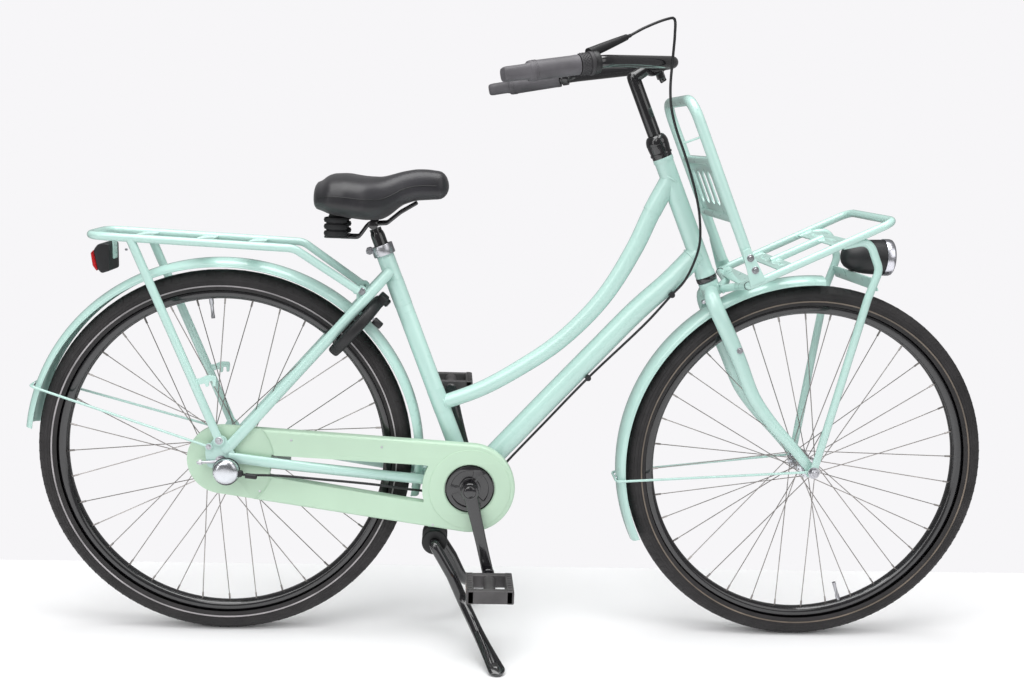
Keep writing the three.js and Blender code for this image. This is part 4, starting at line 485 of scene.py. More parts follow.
def finished(mesh, name, finishes, angle):
    for finish in listed(finishes):
        mesh.materials.append(FINISHES[finish])
    mesh.shade_smooth()
    mesh.set_sharp_from_angle(angle=math.radians(angle))
    thing = bpy.data.objects.new(name, mesh)
    bpy.context.scene.collection.objects.link(thing)
    return thing


def mesh_of(form, name):
    """A form as a mesh in metres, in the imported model's frame"""
    mesh = bpy.data.meshes.new(name)
    mesh.from_pydata([to_row(*point) for point in form.points], [], form.faces)
    mesh.polygons.foreach_set("material_index", form.finishes)
    outward(mesh)
    return mesh


def settle(thing, body, node):
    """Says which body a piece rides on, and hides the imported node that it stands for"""
    if body:
        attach(thing, body)
    if node:
        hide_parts(node)
    return thing


def make(form, name, body, finishes, node=None, angle=38):
    """Makes a form one piece, with its finishes as its materials in order"""
    thing = finished(mesh_of(form, name), name, finishes, angle)
    return settle(thing, body, node)


def from_node(node, name, body, finish, angle, soften):
    """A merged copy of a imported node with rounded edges, standing for it"""
    mesh = frame["nodes"][node].data.copy()
    mesh.name = name
    mesh.materials.clear()
    work = bmesh.new()
    work.from_mesh(mesh)
    bmesh.ops.remove_doubles(work, verts=work.verts, dist=2e-5)
    bmesh.ops.dissolve_limit(work, angle_limit=math.radians(1), verts=work.verts, edges=work.edges)
    edges = [edge for edge in work.edges if len(edge.link_faces) == 2
             and edge.calc_face_angle(0) > math.radians(angle)]
    bmesh.ops.bevel(work, geom=edges, offset=soften * MM, segments=2, profile=0.6, affect="EDGES",
                    clamp_overlap=True)
    work.to_mesh(mesh)
    work.free()
    return settle(finished(mesh, name, finish, angle), body, node)


# Finishes


def linear(rgb):
    made = []
    for value in rgb:
        made.append(value / 12.92 if value <= 0.04045 else ((value + 0.055) / 1.055) ** 2.4)
    return (*made, 1.0)


def shade(rgb, factor):
    return tuple(min(1.0, max(0.0, value * factor)) for value in rgb)


class Finish:
    """A material under way, with the few nodes that the finishes share"""

    def __init__(self, name, metallic=0.0, **sockets):
        self.material = bpy.data.materials.new(name)
        self.material.use_nodes = True
        self.nodes, self.links = self.material.node_tree.nodes, self.material.node_tree.links
        self.shader = self.nodes["Principled BSDF"]
        self.shader.inputs["Metallic"].default_value = metallic
        for key, value in sockets.items():
            self.shader.inputs[key.replace("_", " ")].default_value = value
        self.coords = self.nodes.new("ShaderNodeTexCoord")

    def noise(self, scale, detail=4.0, rough=0.5, vector=None):
        node = self.nodes.new("ShaderNodeTexNoise")
        node.inputs["Scale"].default_value = scale
        node.inputs["Detail"].default_value = detail
        node.inputs["Roughness"].default_value = rough
        self.links.new(vector or self.coords.outputs["Object"], node.inputs["Vector"])
        return node.outputs["Fac"]

    def cells(self, scale, feature="F1"):
        node = self.nodes.new("ShaderNodeTexVoronoi")
        node.feature = feature
        node.inputs["Scale"].default_value = scale
        self.links.new(self.coords.outputs["Object"], node.inputs["Vector"])
        return node.outputs["Distance"]

    def stretched(self, scale):
        node = self.nodes.new("ShaderNodeMapping")
        node.inputs["Scale"].default_value = scale
        self.links.new(self.coords.outputs["Object"], node.inputs["Vector"])
        return node.outputs["Vector"]

    def ramp(self, value, stops):
        node = self.nodes.new("ShaderNodeValToRGB")
        ramp = node.color_ramp
        ramp.elements[0].position, ramp.elements[0].color = stops[0][0], stops[0][1]
        ramp.elements[1].position, ramp.elements[1].color = stops[-1][0], stops[-1][1]
        for place, colour in stops[1:-1]:
            ramp.elements.new(place).color = colour
        self.links.new(value, node.inputs["Fac"])
        return node.outputs["Color"]

    def span(self, value, low, high):
        node = self.nodes.new("ShaderNodeMapRange")
        node.inputs["To Min"].default_value = low
        node.inputs["To Max"].default_value = high
        self.links.new(value, node.inputs["Value"])
        return node.outputs["Result"]

    def colour(self, value, darker, lighter):
        colours = self.ramp(value, [(0.3, linear(darker)), (0.7, linear(lighter))])
        self.links.new(colours, self.shader.inputs["Base Color"])
        return self

    def rough(self, value, low, high):
        self.links.new(self.span(value, low, high), self.shader.inputs["Roughness"])
        return self

    def bump(self, height, strength, distance=0.001):
        node = self.nodes.new("ShaderNodeBump")
        node.inputs["Strength"].default_value = strength
        node.inputs["Distance"].default_value = distance
        self.links.new(height, node.inputs["Height"])
        self.links.new(node.outputs["Normal"], self.shader.inputs["Normal"])
        return self


FINISHES = {}
STEEL_TONE, ALLOY_TONE, CHROME_TONE = (0.78, 0.78, 0.8), (0.83, 0.84, 0.86), (0.93, 0.93, 0.95)
SPOKE_TONE, BEZEL_TONE = (0.66, 0.64, 0.63), (0.86, 0.86, 0.89)
TWIST_SHADE = 0.62


def enamel(colours):
    finish = Finish("mint_enamel", Coat_Weight=0.8, Coat_Roughness=0.07)
    finish.colour(finish.noise(7, 3), shade(colours.enamel, 0.985), shade(colours.enamel, 1.01))
    finish.rough(finish.noise(60, 2), 0.24, 0.34)
    return finish.bump(finish.noise(16, 1), 0.02, 0.0002).material


def case_finish(colours):
    finish = Finish("chaincase_plastic", Coat_Weight=0.15, Coat_Roughness=0.3)
    finish.colour(finish.noise(9, 3), shade(colours.case, 0.985), shade(colours.case, 1.012))
    finish.rough(finish.noise(90, 3), 0.36, 0.48)
    return finish.bump(finish.noise(1900, 3), 0.16, 0.0003).material


def tyre_finish(colours):
    finish = Finish("tyre_rubber")
    finish.colour(finish.noise(26, 5), shade(colours.tyre, 0.86), shade(colours.tyre, 1.2))
    finish.rough(finish.noise(140, 4), 0.62, 0.82)
    return finish.bump(finish.noise(1400, 4), 0.25, 0.0004).material


def lacquer(colours):
    finish = Finish("black_lacquer", Coat_Weight=1.0, Coat_Roughness=0.04)
    finish.colour(finish.noise(12, 3), shade(colours.black, 0.8), shade(colours.black, 1.25))
    finish.rough(finish.noise(50, 3), 0.16, 0.28)
    return finish.bump(finish.noise(380, 2), 0.05, 0.0004).material


def moulded(colours, name="black_plastic", tone=None, low=0.38, high=0.55, grain=1500):
    tone = tone or colours.plastic
    finish = Finish(name)
    finish.colour(finish.noise(18, 3), shade(tone, 0.85), shade(tone, 1.18))
    finish.rough(finish.noise(120, 3), low, high)
    return finish.bump(finish.noise(grain, 3), 0.2, 0.0003).material


def saddle_finish(colours):
    finish = Finish("saddle_cover")
    finish.shader.inputs["Sheen Weight"].default_value = 0.12
    finish.shader.inputs["Sheen Roughness"].default_value = 0.5
    finish.colour(finish.noise(14, 4), shade(colours.saddle, 0.82), shade(colours.saddle, 1.25))
    finish.rough(finish.cells(520), 0.3, 0.44)
    return finish.bump(finish.cells(620, "DISTANCE_TO_EDGE"), 0.35, 0.0004).material


def metal(name, tone, low, high, brush=None):
    finish = Finish(name, metallic=1.0)
    finish.colour(finish.noise(30, 4), shade(tone, 0.9), shade(tone, 1.06))
    vector = finish.stretched(brush) if brush else None
    grain = finish.noise(220, 5, 0.6, vector)
    finish.rough(grain, low, high)
    return finish.bump(grain, 0.05, 0.0003).material


def lens_finish(name, tone):
    finish = Finish(name, Coat_Weight=0.6, Coat_Roughness=0.05, Transmission_Weight=0.0)
    finish.colour(finish.cells(900), shade(tone, 0.75), shade(tone, 1.15))
    finish.rough(finish.noise(80, 2), 0.08, 0.16)
    return finish.bump(finish.cells(700), 0.3, 0.0006).material


def glass_finish():
    finish = Finish("lamp_glass", Transmission_Weight=1.0, IOR=1.45)
    finish.colour(finish.noise(20, 2), (0.95, 0.97, 0.98), (0.99, 0.99, 1.0))
    finish.rough(finish.noise(60, 2), 0.0, 0.03)
    return finish.bump(finish.noise(30, 2), 0.02, 0.0004).material


def make_finishes(colours):
    FINISHES.update({
        "mint": enamel(colours),
        "case": case_finish(colours),
        "tyre": tyre_finish(colours),
        "stripe": moulded(colours, "front_tyre_stripe", colours.stripe, 0.3, 0.5, 900),
        "pale_stripe": moulded(colours, "rear_tyre_stripe", colours.pale_stripe, 0.25, 0.45, 900),
        "pedal": moulded(colours, "pedal_plastic", colours.pedal, 0.45, 0.7, 700),
        "spoke": metal("spoke_steel", SPOKE_TONE, 0.3, 0.45),
        "bezel": metal("lamp_bezel", BEZEL_TONE, 0.2, 0.32),
        "black": lacquer(colours),
        "plastic": moulded(colours),
        "grip": moulded(colours, "grip_rubber", colours.grip, 0.45, 0.62, 1100),
        "twist": moulded(colours, "twist_rubber", shade(colours.grip, TWIST_SHADE), 0.5, 0.7, 1100),
        "bumper": moulded(colours, "spring_rubber", colours.plastic, 0.6, 0.8, 800),
        "saddle": saddle_finish(colours),
        "steel": metal("brushed_steel", STEEL_TONE, 0.22, 0.4, (1, 12, 1)),
        "alloy": metal("hub_alloy", ALLOY_TONE, 0.18, 0.32, (1, 20, 1)),
        "chrome": metal("chrome_plate", CHROME_TONE, 0.03, 0.1),
        "amber": lens_finish("amber_reflector", colours.amber),
        "red": lens_finish("red_lens", colours.red),
        "glass": glass_finish(),
    })


# Geometry node trees for what repeats


class Tree:
    """A geometry node tree with named inputs"""

    def __init__(self, name, inputs):
        self.tree = bpy.data.node_groups.new(name, "GeometryNodeTree")
        self.tree.interface.new_socket("Geometry", in_out="OUTPUT", socket_type="NodeSocketGeometry")
        self.identifiers = {}
        for key, kind, value in inputs:
            socket = self.tree.interface.new_socket(key, in_out="INPUT", socket_type=f"NodeSocket{kind}")
            if kind != "Material":
                socket.default_value = value
            self.identifiers[key] = socket.identifier
        self.entry = self.tree.nodes.new("NodeGroupInput")
        self.leave = self.tree.nodes.new("NodeGroupOutput")

    def node(self, kind, settings=None, **inputs):
        node = self.tree.nodes.new(kind)
        for key, value in (settings or {}).items():
            setattr(node, key, value)
        for key, value in inputs.items():
            socket = node.inputs[int(key[1:])] if key[0] == "i" and key[1:].isdigit() else node.inputs[
                key.replace("_", " ")]
            if isinstance(value, bpy.types.NodeSocket):
                self.tree.links.new(value, socket)
            else:
                socket.default_value = value
        return node

    def take(self, key):
        return self.entry.outputs[key]

    def finish(self, geometry):
        realized = self.node("GeometryNodeRealizeInstances", Geometry=geometry)
        painted = self.node("GeometryNodeSetMaterial", Geometry=realized.outputs[0],
                            Material=self.take("Finish"))
        self.tree.links.new(painted.outputs[0], self.leave.inputs[0])
        return self

    def grow(self, values):
        """The mesh that the tree makes for these values"""
        holder = bpy.data.objects.new("growing", bpy.data.meshes.new("growing"))
        bpy.context.scene.collection.objects.link(holder)
        modifier = holder.modifiers.new("growing", "NODES")
        modifier.node_group = self.tree
        for key, value in values.items():
            modifier[self.identifiers[key]] = value
        bpy.context.view_layer.update()
        graph = bpy.context.evaluated_depsgraph_get()
        mesh = bpy.data.meshes.new_from_object(holder.evaluated_get(graph), preserve_all_data_layers=True,
                                               depsgraph=graph)
        holder.modifiers.clear()
        bpy.data.objects.remove(holder)
        return mesh


def spoke_tree():
    """A rod between two points and its nipple, repeated round the wheel's axle"""
    tree = Tree("laced_spokes", [
        ("Count", "Int", 9), ("From", "Vector", (0, 0, 0)), ("To", "Vector", (0, 0, 1)),
        ("Gauge", "Float", 0.001),
        ("Nipple", "Vector", (0, 0, 1)), ("Nipple gauge", "Float", 0.002), ("Finish", "Material", None)])

    def rod(start, gauge, sides):
        section = tree.node("GeometryNodeCurvePrimitiveCircle", Resolution=sides, Radius=tree.take(gauge))
        line = tree.node("GeometryNodeCurvePrimitiveLine", Start=tree.take(start), End=tree.take("To"))
        return tree.node("GeometryNodeCurveToMesh", Curve=line.outputs[0], Profile_Curve=section.outputs[0],
                         Fill_Caps=True)

    rods = [rod("From", "Gauge", 8), rod("Nipple", "Nipple gauge", 6)]
    both = tree.node("GeometryNodeJoinGeometry")
    for made in rods:
        tree.tree.links.new(made.outputs[0], both.inputs[0])
    return repeat_round(tree, both.outputs[0])


def repeat_round(tree, geometry):
    """Copies of a geometry, evenly round an axle along Y"""
    points = tree.node("GeometryNodePoints", Count=tree.take("Count"))
    index = tree.node("GeometryNodeInputIndex")
    step = tree.node("ShaderNodeMath", {"operation": "DIVIDE"}, i0=TURN, i1=tree.take("Count"))
    angle = tree.node("ShaderNodeMath", {"operation": "MULTIPLY"}, i0=index.outputs[0], i1=step.outputs[0])
    turning = tree.node("ShaderNodeCombineXYZ", Y=angle.outputs[0])
    spread = tree.node("GeometryNodeInstanceOnPoints", Points=points.outputs[0], Instance=geometry,
                       Rotation=turning.outputs[0])
    return tree.finish(spread.outputs[0])


def block_tree():
    """A small bevelled block set on a ring, turned a little, repeated round an axle along Y"""
    tree = Tree("ring_of_blocks", [
        ("Count", "Int", 60), ("Size", "Vector", (0.01, 0.002, 0.001)), ("At", "Vector", (0, 0, 0.3)),
        ("Turn", "Vector", (0, 0, 0)), ("Finish", "Material", None)])
    cube = tree.node("GeometryNodeMeshCube", Size=tree.take("Size"))
    placed = tree.node("GeometryNodeTransform", Geometry=cube.outputs[0], Translation=tree.take("At"),
                       Rotation=tree.take("Turn"))
    return repeat_round(tree, placed.outputs[0])


def dot_tree():
    """A round dot on a ring, repeated round an axle along Y"""
    tree = Tree("ring_of_dots", [
        ("Count", "Int", 20), ("Radius", "Float", 0.001), ("At", "Vector", (0, 0, 0.02)),
        ("Finish", "Material", None)])
    dot = tree.node("GeometryNodeMeshIcoSphere", Radius=tree.take("Radius"), Subdivisions=1)
    placed = tree.node("GeometryNodeTransform", Geometry=dot.outputs[0], Translation=tree.take("At"))
    return repeat_round(tree, placed.outputs[0])


TREES = {}


def grown(name, values):
    """The mesh that a named tree, made once, gives for these values"""
    if name not in TREES:
        TREES[name] = {"spokes": spoke_tree, "blocks": block_tree, "dots": dot_tree}[name]()
    return TREES[name].grow(values)


def joined(meshes, name, finish, into, body, angle=38):
    """Puts grown meshes, in metres about their own centre, together as one piece"""
    work = bmesh.new()
    for mesh in meshes:
        mesh.transform(into)
        work.from_mesh(mesh)
        bpy.data.meshes.remove(mesh)
    bmesh.ops.recalc_face_normals(work, faces=work.faces)
    for face in work.faces:
        face.material_index = 0
    mesh = bpy.data.meshes.new(name)
    work.to_mesh(mesh)
    work.free()
    return settle(finished(mesh, name, finish, angle), body, None)


# Wheels

WHEEL_SIDES = 144
RIM_INNER = 301.0
TYRE_OPEN = math.radians(126)
TYRE_WALL = 3
TYRE_RIBS = ((68, 0.5, 1.6), (84, 0.45, 1.2), (95, 0.4, 1.2))
TREAD_ROWS = ((52, (2.2, 7.5, 1.6), 28, 1), (30, (3.4, 4.6, 1.5), -24, 1), (10, (5.6, 2.8, 1.4), 14, 2))
TREAD_SINK = 0.62
LINE_EDGES = ((106.6, 0.5), (100.2, 0.5), (103.4, -0.8))
VALVES = {"rear": math.radians(95.4), "front": math.radians(-71.5)}
VALVE_STATIONS = ((0, 4.2), (14, 4.2), (15, 3.1), (34, 3.1), (36, 3.6), (41, 3.6))
HUBS = {
    "rear": {"shell": 29, "flange": 37, "flange_at": 27, "end": 40, "neck": 21},
    "front": {"shell": 15, "flange": 21, "flange_at": 31, "end": 44, "neck": 12},
}
HUB_BORE = 5.4
SPOKE_INSET = 3.0
SPOKE_OFFSET = 1.25
SPOKE_CROSS = math.radians(60)
NIPPLE_LENGTH = 13
SPOKE_HEAD = [(0, -1.0), (1.9, -0.6), (1.9, 0.2), (0, 1.0)]


def wheel_place(centre):
    return Matrix.Translation(to_row(*centre))


TYRE_STEPS = 30


def tyre_profile(width, tyre_radius):
    """(radius, along) points of the open carcass, outside and then back inside"""
    centre = tyre_radius - width / 2
    outer, inner = [], []
    for i in range(TYRE_STEPS + 1):
        angle = mix(-TYRE_OPEN, TYRE_OPEN, i / TYRE_STEPS)
        out, along = polar(width / 2, angle)
        outer.append((centre + out, along * 0.995))
        out, along = polar(width / 2 - TYRE_WALL, angle)
        inner.append((centre + out, along))
    return outer + inner[::-1]


def build_wheel(name, centre, sizes):
    tyre(name, centre, sizes)
    rim(name, centre, sizes)
    lace(name, HUBS[name], centre, sizes)


def tyre(name, centre, sizes):
    """The carcass with ribs on its walls, the tread of two shoulders and the line on each wall"""
    body = f"{name}_wheel"
    half = sizes.tyre_width / 2

    def at(rise, angle, side):
        out, along = polar(half + rise, math.radians(angle))
        return HUB_Z - half + out, side * along

    form = Form().hoop(tyre_profile(sizes.tyre_width, HUB_Z), centre, WHEEL_SIDES)
    line = Form()
    blocks = []
    for side in SIDES:
        for angle, rise, width in TYRE_RIBS:
            form.hoop([at(-1, angle + width * 2.2, side), at(rise, angle, side),
                       at(-1, angle - width * 2.2, side)], centre, WHEEL_SIDES)
        for angle, size, twist, every in TREAD_ROWS:
            out, along = at(-TREAD_SINK, angle, side)
            blocks.append(grown("blocks", {
                "Count": sizes.tread_blocks // every, "Size": tuple(value * MM for value in size),
                "At": (0, along * MM, out * MM),
                "Turn": (-side * math.radians(angle), 0, side * math.radians(twist)),
                "Finish": FINISHES["tyre"]}))
        line.hoop([at(rise, angle, side) for angle, rise in LINE_EDGES], centre, WHEEL_SIDES)
    make(form, f"{name}_tyre_carcass", body, "tyre", f"{name}_tyre", 50)
    joined(blocks, f"{name}_tyre_tread", "tyre", wheel_place(centre), body)
    make(line, f"{name}_tyre_line", body, "stripe" if name == "front" else "pale_stripe", angle=60)


def rim(name, centre, sizes):
    """The rim and the valve that stands in it"""
    half = sizes.tyre_width / 2
    outer = HUB_Z - half + half * math.cos(TYRE_OPEN) - 0.4
    wall = [(RIM_INNER, 4.5), (RIM_INNER + 1.6, 7.5), (RIM_INNER + 4.4, 11.2), (RIM_INNER + 8, 12.8),
            (outer - 3, 13), (outer, 12.6), (outer + 1.2, 11.6), (outer - 1.5, 9.6)]
    profile = [(RIM_INNER, -4.5), *wall, (outer - 6, 0), *both_sides(wall)[len(wall):-1]]
    form = Form().hoop(profile, centre, WHEEL_SIDES)
    out = swung(1, VALVES[name])
    foot = centre + out * (RIM_INNER + 3)
    radii = [radius for _, radius in VALVE_STATIONS]
    form.tube([foot - out * along for along, _ in VALVE_STATIONS],
              lambda share: radii[round(share * (len(radii) - 1))], 14, 1)
    make(form, f"{name}_rim_ring", f"{name}_wheel", ("black", "steel"), f"{name}_rim", 50)


def spoke_foot(name, hub, index, lead, count):
    """Where a spoke meets its flange in the wheel's plane, and its angle at the rim"""
    angle = VALVES[name] + TURN / count * (index + 0.5)
    return swung(hub["flange"] - SPOKE_INSET, angle + lead * SPOKE_CROSS), angle


def lace(name, hub, centre, sizes):
    """The hub's shell, the laced spokes with their nipples and the spokes' heads"""
    body = f"{name}_wheel"
    shell, flange, place, end, neck = (hub[key] for key in ("shell", "flange", "flange_at", "end", "neck"))
    half = [(HUB_BORE, end), (neck - 2, end), (neck, end - 2), (neck + 1, place + 4),
            (flange - 4, place + 1.7), (flange, place + 1.3), (flange + 0.5, place), (flange, place - 1.3),
            (flange - 4, place - 1.7), (shell + 1.5, place - 4), (shell, place - 8)]
    form = Form().hoop(both_sides(half), centre, 56)
    form.pair([(shell * 0.62, end - 0.5), (shell * 0.62, end), (neck - 1, end), (neck - 1, end - 1)],
              centre, 40)
    make(form, f"{name}_hub_shell", body, "alloy", f"{name}_hub", 40)
    gauge = sizes.spoke_gauge / 2 * MM
    spokes, heads = [], Form()
    for i in range(4):
        side, lead = SIDES[i % 2], SIDES[i // 2]
        foot, angle = spoke_foot(name, hub, i, lead, sizes.spokes)
        start = foot + vec(0, side * (place + lead * SPOKE_OFFSET), 0)
        tip = swung(RIM_INNER + 1.5, angle, side * 2)
        nipple = tip + (start - tip).normalized() * NIPPLE_LENGTH
        spokes.append(grown("spokes", {
            "Count": sizes.spokes // 4, "From": tuple(start * MM), "To": tuple(tip * MM), "Gauge": gauge,
            "Nipple": tuple(nipple * MM), "Nipple gauge": gauge * 1.9, "Finish": FINISHES["spoke"]}))
    joined(spokes, f"{name}_spokes", "spoke", wheel_place(centre), body, 30)
    for i in range(sizes.spokes):
        side, lead = SIDES[i % 2], SIDES[i // 2 % 2]
        foot, _ = spoke_foot(name, hub, i, lead, sizes.spokes)
        heads.lathe(SPOKE_HEAD, centre + foot + vec(0, side * (place - lead * 1.6), 0), 8, (0, side, 0))
    make(heads, f"{name}_spoke_heads", body, "spoke", angle=40)


# Main frame

TOP_TUBE_SHARES = [(0, 0), (0.1073, 0.0333), (0.2279, 0.0785), (0.4069, 0.1211), (0.5952, 0.1232),
                   (0.7449, 0.0953), (0.8782, 0.0563), (1, 0)]
DOWN_TUBE_SHARES = [(0, 0), (0.1177, 0.0013), (0.2495, -0.0072), (0.4213, -0.007), (0.6846, -0.0048),
                    (1, 0)]
SEAT_STAY_SHARES = [(0, 1), (0.485, 0.767), (0.85, 0.535), (1, 0)]
CHAIN_STAY_SHARES = [(0, 1), (0.177, 0.974), (0.342, 0.82), (0.649, 0.436), (0.762, 0.256), (0.83, 0.18),
                     (1, 0)]
CHAIN_STAY_HALVES = [5, 5, 9, 9, 6.5, 6.5, 8]
DROPOUT_SHARES = [(-1, 0.73), (-0.9, -0.33), (-0.27, -0.57), (0.53, -0.3), (0.93, -0.13), (0.87, 0.53),
                  (0.53, 1), (0.27, 1.6), (-0.33, 1.73), (-0.57, 1.27)]
HEAD_TUBE = (7, 249)
DROPOUT_Y = 63
SEAT_EYE = (258, 683)
EYE_TAB = [(248, 684), (252.5, 693), (261.5, 693), (275, 675), (266, 657), (248, 666)]
GUARD_BRIDGES = ((49.8, 42), (-6.2, 32))
CABLE_CLIPS = ((846, -18, 688), (693, -12, 521))
GUARD_REAR_RADIUS = 379
GUARD_FRONT_RADIUS = 375


def stay_path(foot, end, shares, steps):
    points = []
    for along, share in shares:
        point = foot.lerp(end, along)
        point.y = mix(end.y, foot.y, share)
        points.append(point)
    return curved(points, steps)


def frame_tubes(sizes):
    form = Form()
    length = SEAT_TUBE_LENGTH
    top = curved(beside(on_head(242 * 0.83 + 5.8), on_seat(length * 0.342), TOP_TUBE_SHARES), 72)
    form.loft(top, lambda share: (mix(sizes.top_tube, 14.3, share),) * 2, 28)
    form.loft(top[:9], lambda share: (sizes.top_tube + 0.5 * (1 - share * 0.2),) * 2, 28)
    down = curved(beside(on_head(249 * 0.217), BRACKET, DOWN_TUBE_SHARES), 48)
    form.loft(down, (sizes.down_tube,) * 2, 32)
    low, high = HEAD_TUBE
    form.hoop([(14.6, low), (19, low), (19.3, low + 0.8), (19.3, low + 7), (18.2, low + 9), (18, low + 12),
               (18, high - 12), (18.2, high - 9), (19.3, high - 7), (19.3, high - 0.8), (19, high),
               (14.6, high)], CROWN, 40, HEAD_AXIS)
    form.hoop([(13.9, 20), (16.5, 20), (16.5, length - 1), (16, length), (13.9, length)], BRACKET, 36,
              SEAT_AXIS)
    for low, high in ((150, 196), (length - 112, length - 60)):
        form.hoop([(15, low), (16.9, low + 0.5), (16.9, high - 0.5), (15, high)], BRACKET, 36, SEAT_AXIS)
    form.hoop([(16.5, -34), (19.4, -34), (20, -33.2), (20, 33.2), (19.4, 34), (16.5, 34)], BRACKET, 48)
    for side in SIDES:
        stays(form, side)
    for angle, half in GUARD_BRIDGES:
        ends = [REAR_HUB + swung(GUARD_REAR_RADIUS + 8, math.radians(angle), across)
                for across in (-half, half)]
        form.bar(*ends, 7.6, 24)
    form.block((390, 418), (-15, 15), (STAND_AT.z + 25.4, 300), 2)
    form.block((390, BRACKET.x), (-15, 15), (288, 298), 2)
    make(form, "frame_tubes", "frame", "mint", "main_frame", 40)
    frame_details(top, down, sizes)


def stays(form, side):
    """The seat stay, chain stay, dropout and upper eye of one side"""
    foot = vec(6, side * DROPOUT_Y, HUB_Z + 18)
    end = on_seat(SEAT_TUBE_LENGTH - 41)
    end.y = side * 20
    form.loft(stay_path(foot, end, SEAT_STAY_SHARES, 36),
              lambda share: (mix(4.2, 10, min(1, max(0, share - 0.1) / 0.22)), 10), 20)
    foot = vec(14, side * DROPOUT_Y, HUB_Z + 8)
    end = vec(BRACKET.x - 14, side * 24, BRACKET.z)
    alongs = [along for along, _ in CHAIN_STAY_SHARES]
    form.loft(stay_path(foot, end, CHAIN_STAY_SHARES, 44),
              lambda share: (float(np.interp(share, alongs, CHAIN_STAY_HALVES)), 10), 20)
    outline = soft_outline([(a * 30, HUB_Z + b * 30) for a, b in DROPOUT_SHARES], 7)
    form.slab([outline], *spread(side * 62.75, 2.75), 0.8)
    form.slab([soft_outline(EYE_TAB, 4), circle_outline(*SEAT_EYE, 2.6, 16)], *spread(side * 40, 2), 0.5)


def frame_details(top, down, sizes):
    """Weld beads, bolts and the cable's clips"""
    welds = Form()
    for centre, axis, radius in ((top[0], top[2] - top[0], sizes.top_tube + 1.2),
                                 (down[1], down[3] - down[0], sizes.down_tube + 0.4),
                                 (top[-2], top[-1] - top[-3], 15.2)):
        welds.hoop([(radius + 1.7 * u, 1.7 * w) for u, w in ring_of(10)], centre, 40, axis)
    make(welds, "frame_weld_beads", "frame", "mint", angle=60)
    bolts = Form()
    for side in SIDES:
        bolts.bolt(vec(SEAT_EYE[0], side * 47.5, SEAT_EYE[1]), (0, side, 0), 4)
    bolts.bolt(vec(404, 15, 262), ACROSS, 4)
    make(bolts, "frame_bolts", "frame", "steel", angle=40)
    clips = Form()
    for place in CABLE_CLIPS:
        clips.tube([vec(*place) + vec(0, along, 0) for along in (-5.4, 5.4)], 5.6, 20)
    make(clips, "cable_clips", "frame", "plastic", angle=40)


# Rear axle, bracket cups and gear box

GEAR_BOX_AT = vec(12, 0, 341)
WASHER_LOW, WASHER_HIGH = 65.8, 67.4


def axle_rod(half, centre):
    return Form().lathe([(0, -half), (4.2, -half), (5, 1 - half), (5, half - 1), (4.2, half), (0, half)],
                        centre, 24)


def axle_ring(low, high, radius):
    """The profile of a ring that sits on an axle"""
    return [(5, low), (radius, low), (radius, high), (5, high)]


def axle_nut(low, shoulder, high):
    return [(5, low), (8.9, low), (8.9, shoulder), (7.6, high), (5, high)]


def rear_ends():
    axle = axle_rod(75, REAR_HUB)
    axle.pair(axle_ring(WASHER_LOW, WASHER_HIGH, 11.5), REAR_HUB, 28)
    axle.pair(axle_nut(WASHER_HIGH, 73.2, 74.1), REAR_HUB, 6)
    axle.hoop(axle_ring(-53, -59.6, 8.2), REAR_HUB, 24)
    axle.hoop(axle_ring(53.5, 59.6, 8.2), REAR_HUB, 24)
    make(axle, "rear_axle_and_nuts", "frame", "steel", "rear_axle", 40)
    cups = Form().pair([(8.4, 30), (16.4, 30), (16.4, 34.3), (20, 34.3), (20, 36.8), (19, 37.6),
                        (8.4, 37.6)], BRACKET, 40)
    make(cups, "bracket_cups", "frame", "steel", "bottom_bracket", 40)
    from_node("brake_arm", "coaster_brake_arm", "frame", "steel", 40, 0.6)
    gear_box()
    tensioner = Form().bar(vec(-44, -69.5, 354), vec(-4, -69.5, 357), 3, 16)
    tensioner.lathe([(0, 0), (5.6, 0), (5.6, 5), (0, 5)], vec(-40, -69.5, 354.3), 6, (1, 0, 0.07))
    make(tensioner, "chain_tensioner", "frame", "steel", angle=40)


def gear_box():
    """The black housing with its band and cable outlet, under a bright dome"""
    housing = Form().lathe([(0, -75.3), (23, -75.3), (25.6, -76.5), (26, -78), (25.6, -80), (0, -80)],
                           GEAR_BOX_AT, 56)
    band = [GEAR_BOX_AT + swung(19.8, math.radians(angle), -84.4) for angle in np.linspace(196, 352, 30)]
    housing.loft(band, lambda share: (4.9, 2 + 4 * math.sin(math.pi * share) ** 0.5), 20)
    housing.slab([rounded(18, 44, 332, 344, 5)], -88, -78, 2)
    housing.lathe([(0, 36), (4.6, 36), (5, 37), (5, 56), (3, 58), (0, 58)], vec(12, -83, 338), 24,
                  (1, 0, -0.1))
    make(housing, "gear_box_housing", "frame", "plastic", "gear_box", 40)
    dome = Form().lathe([(0, -79), (24.6, -79), (25, -80), (24.8, -84), (23.4, -88), (20.4, -91),
                         (15.5, -93.4), (9, -94.4), (0, -94.6)], GEAR_BOX_AT, 56)
    make(dome, "gear_box_dome", "frame", "alloy", "gear_box_cap", 60)


# Chaincase

CASE_FRONT, CASE_REAR = 87, 66
CASE_OUT, CASE_PART, CASE_IN = -60, -46, -38
CASE_WALL, CASE_JOINT, CASE_LAP = 1.8, 0.15, 6
CASE_TRIM = ((-90, 600), (180, 460))
RECESS_RADIUS, RECESS_FLOOR = 100, -54.6
DISC_HOLE = 49.4
WINDOW_NEAR, WINDOW_FAR = 91.0, 92.0
WINDOW_HALVES = (16, 42)
CASE_SCREWS = ((130, 398, -59.7), (300, 388, -59.7), (400, 236, -59.7), (70, 296, -54.4))
DRIVE_ANGLE = math.atan2(BRACKET.z - HUB_Z, BRACKET.x)
DRIVE_LENGTH = math.hypot(BRACKET.x, BRACKET.z - HUB_Z)
LOOP_STEPS = 48


